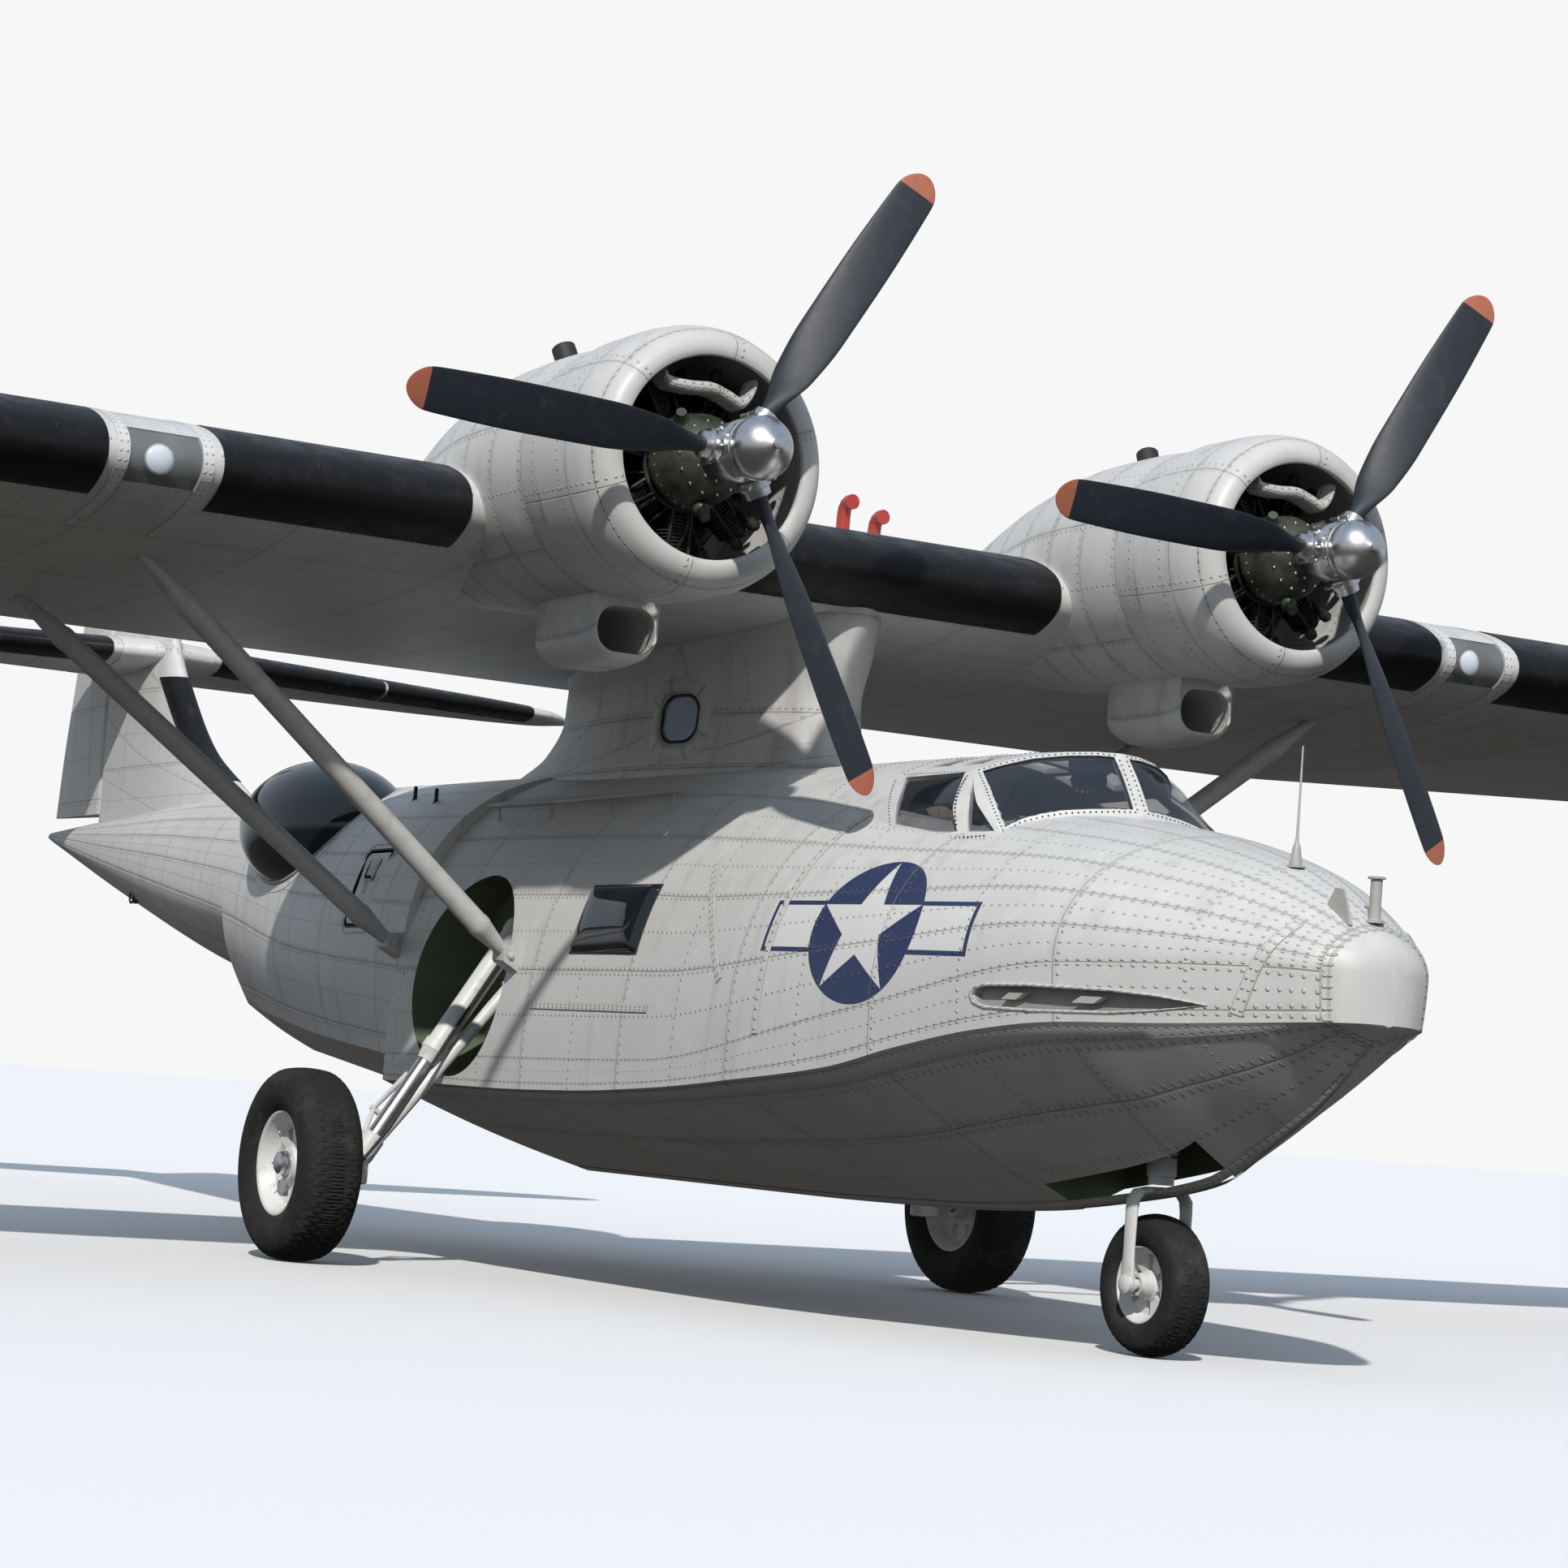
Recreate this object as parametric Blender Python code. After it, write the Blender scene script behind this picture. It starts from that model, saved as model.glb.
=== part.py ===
"""Twin-engined amphibious flying boat, standing on its landing gear.

Metres, +Z up. The nose points to -Y, port is +X and starboard is -X. The origin lies on the
ground, under the middle of the aircraft's length. Shapes are laid out in stations: s runs aft,
with the bow tip at NOSE_S, and h runs up from the keel line.
"""
import bpy
import bmesh
import numpy as np
from math import cos, sin, pi, radians, sqrt, tan
from mathutils import Matrix, Vector

for old in list(bpy.data.objects):
    bpy.data.objects.remove(old, do_unlink=True)

# Driving dimensions, metres
NOSE_S = 0.215
MIDDLE_S = 9.79
KEEL_GROUND = 0.65
GAP = 0.0003
SKIN_GAP = 0.0006
RUN = 0.008

STEP_S = 8.52
STEP2_S = 13.20
TAIL_S = 19.36

WING_LE_S = 5.22
WING_LE_H = 3.84
CHORD = 4.57
TIP_CHORD = 3.05
INCIDENCE = radians(6.0)
THICKNESS = 0.155
CENTRE_HALF = 6.10
DIHEDRAL = radians(1.5)
TIP_X = 15.10
FLAP_LINE = 0.76

HUB_X = 2.055
HUB_H = 4.07
PROP_S = 3.50
PROP_R = 2.03
COWL_R = 0.77
BLADE_PHASE = 58.4

WHEEL_R = 0.60
WHEEL_X = 2.50
WHEEL_S = 7.62
NOSE_WHEEL_R = 0.38
NOSE_WHEEL_S = 2.02

FIN_TOP_H = 5.50
RUDDER_S = 18.10
STAB_H = 4.02
STAB_HALF = 4.65

SIDES = {"port": 1, "starboard": -1}


def at(x, s, h):
    """World point of a place given across, by station and by height above the keel."""
    return Vector((x, s - MIDDLE_S, h + KEEL_GROUND))


# Materials
def paint(name, colour, roughness, metallic=0.0, alpha=1.0):
    material = bpy.data.materials.new(name)
    material.use_nodes = True
    shader = material.node_tree.nodes["Principled BSDF"]
    shader.inputs["Base Color"].default_value = (*colour, 1.0)
    shader.inputs["Roughness"].default_value = roughness
    shader.inputs["Metallic"].default_value = metallic
    shader.inputs["Alpha"].default_value = alpha
    return material


GREY = paint("hull_grey_paint", (0.58, 0.57, 0.55), 0.45)
STRUT_GREY = paint("strut_grey_paint", (0.36, 0.36, 0.36), 0.45)
BLACK = paint("engine_black", (0.02, 0.02, 0.022), 0.4)
SILVER = paint("hub_silver", (0.75, 0.75, 0.76), 0.25, 1.0)
BLADE = paint("blade_black", (0.02, 0.022, 0.028), 0.35)
TYRE = paint("tyre_rubber", (0.02, 0.02, 0.02), 0.85)
GLASS = paint("clear_glass", (0.75, 0.82, 0.85), 0.05, 0.0, 0.25)
DARK_GLASS = paint("dark_glass", (0.01, 0.012, 0.015), 0.06)
RED = paint("vent_red", (0.45, 0.02, 0.02), 0.4)
SEAT = paint("seat_beige", (0.42, 0.38, 0.28), 0.8)


# Mesh helpers
def add_mesh(name, vertices, faces, material, smooth=30.0):
    mesh = bpy.data.meshes.new(name)
    mesh.from_pydata([tuple(v) for v in vertices], [], faces)
    mesh.validate()
    body = bmesh.new()
    body.from_mesh(mesh)
    bmesh.ops.remove_doubles(body, verts=body.verts, dist=1e-6)
    bmesh.ops.recalc_face_normals(body, faces=body.faces)
    body.to_mesh(mesh)
    body.free()
    if smooth:
        mesh.shade_smooth()
        mesh.set_sharp_from_angle(angle=radians(smooth))
    if material:
        mesh.materials.append(material)
    thing = bpy.data.objects.new(name, mesh)
    bpy.context.collection.objects.link(thing)
    return thing


def loft(name, rings, material=None, closed=False):
    """Skin over equal rings of points; the two ends are capped unless the loft closes."""
    count = len(rings[0])
    vertices = [point for ring in rings for point in ring]
    faces = []
    spans = len(rings) if closed else len(rings) - 1
    for i in range(spans):
        low = i * count
        high = ((i + 1) % len(rings)) * count
        for j in range(count):
            k = (j + 1) % count
            faces.append((low + j, low + k, high + k))
            faces.append((low + j, high + k, high + j))
    if not closed:
        faces.append(tuple(range(count)))
        faces.append(tuple(range(len(vertices) - count, len(vertices))))
    return add_mesh(name, vertices, faces, material)


def evaluated(thing):
    """Bake an object's modifiers into its mesh."""
    bpy.context.view_layer.update()
    graph = bpy.context.evaluated_depsgraph_get()
    mesh = bpy.data.meshes.new_from_object(thing.evaluated_get(graph))
    thing.modifiers.clear()
    thing.data = mesh
    return thing


def boolean(thing, tool, operation, solver="EXACT"):
    """Cut or join with a tool, which is used up; shells cut many times take the other solver."""
    step = thing.modifiers.new(operation.lower(), "BOOLEAN")
    step.operation = operation
    step.solver = solver
    step.object = tool
    evaluated(thing)
    bpy.data.objects.remove(tool, do_unlink=True)
    return thing


def cut(thing, *tools, solver="EXACT"):
    for tool in tools:
        boolean(thing, tool, "DIFFERENCE", solver)
    return thing


def join(thing, *tools, solver="EXACT"):
    for tool in tools:
        boolean(thing, tool, "UNION", solver)
    return thing


def box(low, high, name="box", material=None):
    """Box between two corners given across, by station and by height."""
    low, high = at(*low), at(*high)
    xs, ys, zs = zip(low, high)
    corners = [(x, y, z) for z in zs for y in ys for x in xs]
    faces = [(0, 1, 3, 2), (4, 6, 7, 5), (0, 4, 5, 1), (2, 3, 7, 6), (0, 2, 6, 4), (1, 5, 7, 3)]
    return add_mesh(name, corners, faces, material, 0)


def rod(start, end, radius, name="rod", material=None, sides=12, end_radius=None):
    """Round bar from one point to another, tapered when a second radius is given."""
    start, end = Vector(start), Vector(end)
    turn = (end - start).to_track_quat("Z", "Y").to_matrix()
    rings = []
    for centre, r in ((start, radius), (end, radius if end_radius is None else end_radius)):
        rings.append([centre + turn @ Vector((r * cos(2 * pi * i / sides), r * sin(2 * pi * i / sides), 0))
                      for i in range(sides)])
    return loft(name, rings, material)


def turned(centre, axis, profile, name="turned", material=None, sides=32):
    """Solid of revolution: profile holds (distance along the axis, radius) pairs."""
    centre = Vector(centre)
    turn = Vector(axis).to_track_quat("Z", "Y").to_matrix()
    rings = []
    for along, r in profile:
        rings.append([centre + turn @ Vector((r * cos(2 * pi * i / sides), r * sin(2 * pi * i / sides),
                                              along))
                      for i in range(sides)])
    return loft(name, rings, material)


def ring_solid(centre, axis, profile, name="ring", material=None, sides=32):
    """Closed profile of (along, radius) pairs carried once round the axis."""
    centre = Vector(centre)
    turn = Vector(axis).to_track_quat("Z", "Y").to_matrix()
    rings = []
    for i in range(sides):
        a = 2 * pi * i / sides
        rings.append([centre + turn @ Vector((r * cos(a), r * sin(a), along)) for along, r in profile])
    return loft(name, rings, material, closed=True)


def bore(radius, sides):
    """Radius of a many-sided hole that a round pin of this radius turns in."""
    return radius / cos(pi / sides) + GAP


def set_origin(thing, point):
    """Move an object's origin to a point and leave its shape where it is."""
    point = Vector(point)
    thing.data.transform(Matrix.Translation(-point))
    thing.location = point
    return thing


def smooth_curve(table, s):
    """Smooth value at s through (station, value) pairs, with no overshoot between them."""
    xs = np.array([p[0] for p in table])
    ys = np.array([p[1] for p in table])
    slopes = np.diff(ys) / np.diff(xs)
    tangent = np.zeros(len(xs))
    tangent[0], tangent[-1] = slopes[0], slopes[-1]
    for i in range(1, len(xs) - 1):
        a, b = slopes[i - 1], slopes[i]
        tangent[i] = 0 if a * b <= 0 else 2 * a * b / (a + b)
    i = int(np.clip(np.searchsorted(xs, s) - 1, 0, len(xs) - 2))
    width = xs[i + 1] - xs[i]
    t = np.clip((s - xs[i]) / width, 0, 1)
    return float((2 * t**3 - 3 * t**2 + 1) * ys[i] + (t**3 - 2 * t**2 + t) * width * tangent[i]
                 + (3 * t**2 - 2 * t**3) * ys[i + 1] + (t**3 - t**2) * width * tangent[i + 1])


# Hull lines, forebody up to the main step and afterbody from it
FORE_KEEL = [(0.215, 1.14), (0.278, 1.095), (0.425, 0.978), (0.542, 0.865), (0.772, 0.693), (0.96, 0.578),
             (1.119, 0.492), (1.523, 0.278), (2.231, 0.151), (3.065, 0.061), (3.965, 0.02), (5.58,
                                                                                             0.0), (8.52,
                                                                                                    0.0)]
AFT_KEEL = [(8.52, 0.20), (11.0, 0.44), (13.2, 0.69)]
TAIL_KEEL = [(13.2, 1.07), (15.0, 1.36), (17.4, 1.91), (19.36, 2.42)]
FORE_CHINE = [(0.215, 1.15), (0.67, 1.116), (1.11, 1.085), (1.56, 1.065), (2.07, 1.0), (2.63, 0.885),
              (3.15, 0.76),
              (3.96, 0.66), (4.88, 0.58), (5.88, 0.53), (6.97, 0.51), (8.52, 0.51)]
AFT_CHINE = [(8.52, 0.66), (11.0, 0.82), (13.2, 1.01)]
TAIL_CHINE = [(13.2, 1.32), (15.0, 1.56), (17.4, 2.04), (19.36, 2.45)]
FORE_BEAM = [(0.215, 0.03), (0.235, 0.145), (0.275, 0.224), (0.335, 0.312), (0.415, 0.378), (0.565, 0.465),
             (0.815, 0.63), (1.215, 0.875), (1.8, 1.155), (2.5, 1.33), (3.2, 1.46), (4.1, 1.56), (5.0, 1.574),
             (8.52, 1.574)]
AFT_BEAM = [(8.52, 1.44), (10.0, 1.23), (11.5, 0.94), (13.2, 0.58)]
TAIL_BEAM = [(13.2, 0.52), (15.0, 0.36), (17.4, 0.2), (19.36, 0.05)]
FORE_BULGE = [(0.215, 0.021), (0.5, 0.023), (1.5, 0.027), (3.0, 0.01), (5.0, 0.0), (8.52, 0.0)]
FORE_WIDEST_H = [(0.215, 1.40), (0.6, 1.42), (1.5, 1.40), (3.0, 1.1), (5.0, 0.75), (8.52, 0.7)]
WIDEST = [(8.52, 1.50), (10.0, 1.36), (11.5, 1.14), (13.2, 0.86), (15.0, 0.60), (17.4, 0.30), (19.36, 0.07)]
WIDEST_H = [(8.52, 1.30), (11.0, 1.45), (13.2, 1.75), (15.0, 1.95), (17.4, 2.22), (19.36, 2.47)]
DECK = [(0.215, 1.45), (0.235, 1.52), (0.3, 1.61), (0.42, 1.69), (0.7, 1.835), (1.04, 1.972), (1.78, 2.146),
        (3.2, 2.33),
        (4.6, 2.53), (5.5, 2.60), (8.0, 2.66), (12.0, 2.68), (15.0, 2.70), (17.4, 2.62), (19.36, 2.52)]
ARCH_POWER = [(0.215, 1.8), (1.2, 1.95), (3.0, 2.25), (19.36, 2.25)]
SIDE_STEPS = 3
BOTTOM_STEPS = 3
ARCH_STEPS = 11


def hull_section(s, part):
    """Half section from keel to deck as (x, h) pairs."""
    keel_line, chine_line, beam_line = HULL_LINES[part]
    keel = smooth_curve(keel_line, s)
    chine = smooth_curve(chine_line, s)
    beam = smooth_curve(beam_line, s)
    deck = smooth_curve(DECK, s)
    points = []
    for i in range(BOTTOM_STEPS + 1):
        t = i / BOTTOM_STEPS
        points.append((beam * t, keel + (chine - keel) * (t - HOLLOW * sin(pi * t))))
    if part == "fore":
        wide, wide_h = beam + smooth_curve(FORE_BULGE, s), smooth_curve(FORE_WIDEST_H, s)
    else:
        wide, wide_h = smooth_curve(WIDEST, s), smooth_curve(WIDEST_H, s)
    for i in range(1, SIDE_STEPS + 1):
        t = i / SIDE_STEPS
        points.append((beam + (wide - beam) * sin(t * pi / 2), chine + (wide_h - chine) * t))
    steps = ARCH_STEPS - SIDE_STEPS
    power = smooth_curve(ARCH_POWER, s)
    for i in range(1, steps + 1):
        a = (pi / 2) * i / steps
        x = wide * abs(cos(a)) ** (2 / power)
        h = wide_h + (deck - wide_h) * abs(sin(a)) ** (2 / power)
        points.append((0.0 if i == steps else x, h))
    return points


def hull_ring(s, part, grow):
    """Whole section as world points, swelled by a small amount."""
    half = hull_section(s, part)
    loop = [(x, h) for x, h in half] + [(-x, h) for x, h in half[-2:0:-1]]
    centre_h = (half[0][1] + half[-1][1]) / 2
    ring = []
    for x, h in loop:
        reach = max(sqrt(x * x + (h - centre_h) ** 2), 1e-6)
        ring.append(at(x + grow * x / reach, s, h + grow * (h - centre_h) / reach))
    return ring


HULL_LINES = {"fore": (FORE_KEEL, FORE_CHINE, FORE_BEAM), "aft": (AFT_KEEL, AFT_CHINE, AFT_BEAM),
              "tail": (TAIL_KEEL, TAIL_CHINE, TAIL_BEAM)}
HOLLOW = 0.06
STATIONS = {"fore": [NOSE_S, 0.235, 0.28, 0.36, 0.50, 0.75, 1.1, 1.6, 2.2, 2.9, 3.7, 4.7, 6.0, 7.3,
                     STEP_S - 0.02],
            "aft": [STEP_S, 9.6, 10.8, 12.0, STEP2_S - 0.02],
            "tail": [STEP2_S, 14.2, 15.4, 16.8, 18.2, TAIL_S]}


def hull_solid(name, grow=0.0):
    rings = [hull_ring(s, part, grow) for part in STATIONS for s in STATIONS[part]]
    return loft(name, rings, GREY)


def hull_half_width(s, h):
    """Half width of the hull's skin at a station and height, above the chine."""
    part = "fore" if s < STEP_S else "aft" if s < STEP2_S else "tail"
    points = hull_section(s, part)[BOTTOM_STEPS:]
    heights = [p[1] for p in points]
    return float(np.interp(h, heights, [p[0] for p in points]))


def prism(name, outline, axis, low, high, material=None):
    """Flat outline carried along an axis: 'x' takes (s, h) points, 'h' takes (x, s) points."""
    if axis == "x":
        rings = [[at(value, p[0], p[1]) for p in outline] for value in (low, high)]
    elif axis == "h":
        rings = [[at(p[0], p[1], value) for p in outline] for value in (low, high)]
    else:
        rings = [[at(p[0], value, p[1]) for p in outline] for value in (low, high)]
    return loft(name, rings, material)


def rounded(low, high, radius, steps=4):
    """Rectangle outline between two corners, its corners rounded."""
    points = []
    for cx, cy, turn in ((high[0] - radius, high[1] - radius, 0), (low[0] + radius, high[1] - radius, 90),
                         (low[0] + radius, low[1] + radius, 180), (high[0] - radius, low[1] + radius, 270)):
        for i in range(steps + 1):
            a = radians(turn + 90 * i / steps)
            points.append((cx + radius * cos(a), cy + radius * sin(a)))
    return points


def mirrored(outline):
    return [(-p[0], p[1]) for p in reversed(outline)]


# Canopy: windscreen patch on each side of a centre post, then arches back to the pylon
SCREEN_BASE = [(0, 2.40, 2.25), (0.16, 2.42, 2.238), (0.31, 2.455, 2.22), (0.45, 2.50, 2.20),
               (0.57, 2.535, 2.17),
               (0.685, 2.56, 2.13), (0.76, 2.55, 2.09), (0.834, 2.512, 2.054)]
SCREEN_TOP = [(0, 2.65, 2.60), (0.15, 2.68, 2.595), (0.30, 2.75, 2.58), (0.45, 2.87, 2.55),
              (0.57, 2.99, 2.505),
              (0.65, 3.13, 2.46)]
SCREEN_HOOP = [(0.834, 2.512, 2.054), (0.785, 2.72, 2.20), (0.725, 2.92, 2.34), (0.65, 3.13, 2.46)]
SCREEN_BULGE = (0.0, -0.05, 0.02)
SCREEN_ACROSS = 5
SCREEN_UP = 3
ARCH_HALF = [(2.4, 0.92), (2.78, 0.955), (3.0, 0.99), (3.4, 1.0), (4.2, 1.0), (5.45, 0.90)]
ARCH_BASE_H = 1.90
ARCH_TOP_H = 2.62
ARCH_START = radians(8.0)
ARCH_BACKS = [3.45, 4.1, 4.8, 5.45]
ARCH_BLENDS = 2
ARCH_AXIS_S = 3.3
ARCH_AXIS_H = 1.70
CANOPY_FOOT = 1.78
FRAME_THICK = 0.030
GLASS_THICK = 0.010


def along_line(points, share):
    """Point at a share of a broken line's length."""
    places = [Vector(p) for p in points]
    lengths = [(b - a).length for a, b in zip(places, places[1:])]
    target = share * sum(lengths)
    for a, b, length in zip(places, places[1:], lengths):
        if target <= length:
            return a.lerp(b, max(target, 0.0) / length)
        target -= length
    return places[-1]


def screen_point(t, v):
    """Windscreen at a share across from the centre post and a share up, as (x, s, h)."""
    post_low, post_high = Vector(SCREEN_BASE[0]), Vector(SCREEN_TOP[0])
    hoop_low, hoop_high = Vector(SCREEN_BASE[-1]), Vector(SCREEN_TOP[-1])
    place = along_line(SCREEN_BASE, t) * (1 - v) + along_line(SCREEN_TOP, t) * v
    place += post_low.lerp(post_high, v) * (1 - t) + along_line(SCREEN_HOOP, v) * t
    place -= post_low.lerp(hoop_low, t) * (1 - v) + post_high.lerp(hoop_high, t) * v
    return place + Vector(SCREEN_BULGE) * 4 * t * (1 - t) * sin(pi * v)


def arch_point(s, a):
    """Canopy behind the windscreen at a station and an angle up from port, as (x, s, h)."""
    return Vector((smooth_curve(ARCH_HALF, s) * cos(a), s,
                   ARCH_BASE_H + (ARCH_TOP_H - ARCH_BASE_H) * sin(a)))


def canopy_grid():
    """Outer skin: points, faces and the loop of its lower edge."""
    points, faces = [], []
    grid = {}
    for i in range(-SCREEN_ACROSS, SCREEN_ACROSS + 1):
        for j in range(SCREEN_UP + 1):
            place = screen_point(abs(i) / SCREEN_ACROSS, j / SCREEN_UP)
            if i < 0:
                place.x = -place.x
            grid[i, j] = len(points)
            points.append(place)
    for i in range(-SCREEN_ACROSS, SCREEN_ACROSS):
        for j in range(SCREEN_UP):
            a, b, c, d = grid[i, j], grid[i + 1, j], grid[i + 1, j + 1], grid[i, j + 1]
            faces += [(a, b, c), (a, c, d)] if i < 0 else [(a, b, d), (b, c, d)]
    edge = [grid[SCREEN_ACROSS, j] for j in range(SCREEN_UP)]
    edge += [grid[i, SCREEN_UP] for i in range(SCREEN_ACROSS, -SCREEN_ACROSS - 1, -1)]
    edge += [grid[-SCREEN_ACROSS, j] for j in range(SCREEN_UP - 1, -1, -1)]
    front = [points[k].copy() for k in edge]
    count = len(edge)
    angles, gaps = [], []
    for k, place in enumerate(front):
        half = smooth_curve(ARCH_HALF, place.y)
        a = np.arctan2((place.z - ARCH_BASE_H) / (ARCH_TOP_H - ARCH_BASE_H), place.x / half)
        angles.append(float(a))
        gaps.append(place - arch_point(place.y, float(a)))
    arches = [edge]
    for share in [(k + 1) / (ARCH_BLENDS + 1) for k in range(ARCH_BLENDS)] + [1.0] + ARCH_BACKS[1:]:
        row = []
        for k in range(count):
            end = ARCH_START + (pi - 2 * ARCH_START) * k / (count - 1)
            if share <= 1.0:
                s = front[k].y + (ARCH_BACKS[0] - front[k].y) * share
                a = angles[k] + (end - angles[k]) * share
                place = arch_point(s, a) + gaps[k] * (1 - share) ** 2
            else:
                place = arch_point(share, end)
            row.append(len(points))
            points.append(place)
        arches.append(row)
    for low, high in zip(arches, arches[1:]):
        for k in range(count - 1):
            faces += [(low[k], low[k + 1], high[k + 1]), (low[k], high[k + 1], high[k])]
    rim = [grid[i, 0] for i in range(-SCREEN_ACROSS, SCREEN_ACROSS + 1)]
    rim += [row[0] for row in arches[1:]] + [row[-1] for row in arches[:0:-1]]
    return points, faces, rim, arches[-1]


def canopy_solid(name, inset, material, trim=0.0):
    """Canopy block whose skin is drawn in towards a line along the cockpit."""
    points, faces, rim, last = canopy_grid()
    places = np.array([tuple(p) for p in points])
    inside = np.zeros_like(places)
    inside[:, 1] = np.clip(places[:, 1], ARCH_AXIS_S, None)
    inside[:, 2] = ARCH_AXIS_H
    ways = places - inside
    places -= inset * ways / np.linalg.norm(ways, axis=1)[:, None]
    places[last, 1] -= inset
    foot = [(places[k][0], places[k][1], CANOPY_FOOT - trim) for k in rim]
    vertices = [at(*p) for p in places] + [at(*p) for p in foot]
    start = len(places)
    loop = list(range(start, start + len(rim)))
    for k in range(len(rim)):
        n = (k + 1) % len(rim)
        if {rim[k], rim[n]} == {last[0], last[-1]}:
            back = last[1:-1] if rim[n] == last[0] else last[-2:0:-1]
            faces.append((rim[k], loop[k], loop[n], rim[n], *back))
        else:
            faces += [(rim[k], rim[n], loop[n]), (rim[k], loop[n], loop[k])]
    faces.append(tuple(loop))
    return add_mesh(name, vertices, faces, material)


COCKPIT = {"front": 2.50, "back": 5.05, "floor": 1.30, "half": 0.80}
REAR_FLOOR = {"front": 4.25, "h": 1.25}


def cockpit_cutter():
    half_plan = [(0.36, COCKPIT["front"]), (0.60, 2.64), (COCKPIT["half"], 2.80),
                 (COCKPIT["half"], COCKPIT["back"])]
    return prism("cockpit_cut", half_plan + mirrored(half_plan), "h", COCKPIT["floor"], 3.2)


canopy = canopy_solid("canopy_frame", 0.0, GREY)
cut(canopy, canopy_solid("canopy_hollow", FRAME_THICK, None, 0.2), hull_solid("hull_cut", SKIN_GAP),
    solver="MANIFOLD")
glass = canopy_solid("canopy_glass", FRAME_THICK + SKIN_GAP, GLASS)
cut(glass, canopy_solid("glass_hollow", FRAME_THICK + SKIN_GAP + GLASS_THICK, None, 0.2),
    hull_solid("hull_cut", SKIN_GAP),
    solver="MANIFOLD")

# Panes: the windscreen's in shares across and up, the others in stations and degrees up the arch
SCREEN_PANE = ((0.06, 0.94), (0.09, 0.93))
PANE_REACH = 0.12
ARCH_PANES = [[(3.077, 46.3), (2.60, 16.5), (2.787, 15.0)],
              [(3.80, 48.2), (3.188, 49.4), (2.86, 15.5), (2.983, 14.0), (3.441, 19.0)]]
ROOF_PANES = [(0.05, 0.29, 3.20, 3.46), (0.34, 0.54, 3.20, 3.46), (0.05, 0.29, 3.54, 3.80),
              (0.34, 0.54, 3.54, 3.80)]


def screen_cutter(sign):
    """Block through the windscreen inside its pane's outline."""
    (left, right), (low, high) = SCREEN_PANE
    across, up = 5, 3
    layers = []
    for reach in (-PANE_REACH, PANE_REACH):
        layer = []
        for i in range(across + 1):
            for j in range(up + 1):
                t, v = left + (right - left) * i / across, low + (high - low) * j / up
                place = screen_point(t, v)
                across_way, up_way = screen_point(t + 0.01, v) - place, screen_point(t, v + 0.01) - place
                place = place + across_way.cross(up_way).normalized() * reach
                layer.append(at(sign * place.x, place.y, place.z))
        layers.append(layer)
    count = (across + 1) * (up + 1)
    vertices = layers[0] + layers[1]
    faces = []
    for i in range(across):
        for j in range(up):
            a = i * (up + 1) + j
            b = a + up + 1
            faces += [(a, b, b + 1, a + 1), (count + a, count + b, count + b + 1, count + a + 1)]
    edge = [i * (up + 1) for i in range(across + 1)] + [across * (up + 1) + j for j in range(1, up + 1)]
    edge += [i * (up + 1) + up for i in range(across - 1, -1, -1)] + list(range(up - 1, 0, -1))
    for a, b in zip(edge, edge[1:] + edge[:1]):
        faces.append((a, b, count + b, count + a))
    return add_mesh("pane", vertices, faces, None, 0)


def arch_cutter(sign, pane):
    """Block through the arch inside a pane's outline."""
    rings = []
    for swell in (0.86, 1.14):
        ring = []
        for s, degrees in pane:
            place = arch_point(s, radians(degrees))
            ring.append(at(sign * place.x * swell, s, ARCH_BASE_H + (place.z - ARCH_BASE_H) * swell))
        rings.append(ring)
    return loft("pane", rings)


for sign in SIDES.values():
    cut(canopy, screen_cutter(sign), *[arch_cutter(sign, pane) for pane in ARCH_PANES], solver="MANIFOLD")
    for inner, outer, front, back in ROOF_PANES:
        low, high = sorted((sign * inner, sign * outer))
        cut(canopy, box((low, front, 2.3), (high, back, 2.9)), solver="MANIFOLD")

# Hull with its cockpit, wheel wells and waist compartment
hull = hull_solid("hull")
cut(hull, cockpit_cutter(), box((-COCKPIT["half"], REAR_FLOOR["front"], REAR_FLOOR["h"]),
                                (COCKPIT["half"], COCKPIT["back"],
                                 COCKPIT["floor"] + 0.1)), solver="MANIFOLD")
WELL_S = 7.55
WELL_H = 1.21
WELL_R = 0.65
WELL_BACK = 1.06
WELL_DEEP = 0.70
WAIST_FRONT = 9.15
WAIST_FLOOR = 1.10
WAIST_STATIONS = [WAIST_FRONT, 10.4, 11.6, 12.8]
WAIST_WALL = 0.13
TAIL_FLOOR = [(12.8, 1.45), (14.4, 1.62), (16.4, 1.95)]
CABIN_SQUARE = 0.90
HULL_WALL_TOP = 0.14
NOSE_WELL = {"front": 1.38, "back": 2.72, "half": 0.27, "top": 1.05}
for sign in SIDES.values():
    cut(hull, turned(at(sign * WELL_BACK, WELL_S, WELL_H), (sign, 0, 0), [(0, WELL_R), (WELL_DEEP, WELL_R)],
                     sides=28), solver="MANIFOLD")
cut(hull, box((-NOSE_WELL["half"], NOSE_WELL["front"], -0.2),
              (NOSE_WELL["half"], NOSE_WELL["back"], NOSE_WELL["top"])), solver="MANIFOLD")


def cabin_ring(s, floor):
    """Inside of the hull at a station, level below at the floor and arched above."""
    wide = smooth_curve(WIDEST, s) - WAIST_WALL
    deck = smooth_curve(DECK, s) - HULL_WALL_TOP
    spring = max(smooth_curve(WIDEST_H, s), floor + 0.12)
    half = [(wide * CABIN_SQUARE, floor)]
    for i in range(7):
        a = pi / 2 * i / 6
        half.append((wide * cos(a) ** CABIN_SQUARE if i < 6 else 0.0,
                     spring + (deck - spring) * sin(a) ** CABIN_SQUARE))
    return [at(x, s, h) for x, h in half + mirrored(half)[1:]]


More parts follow.
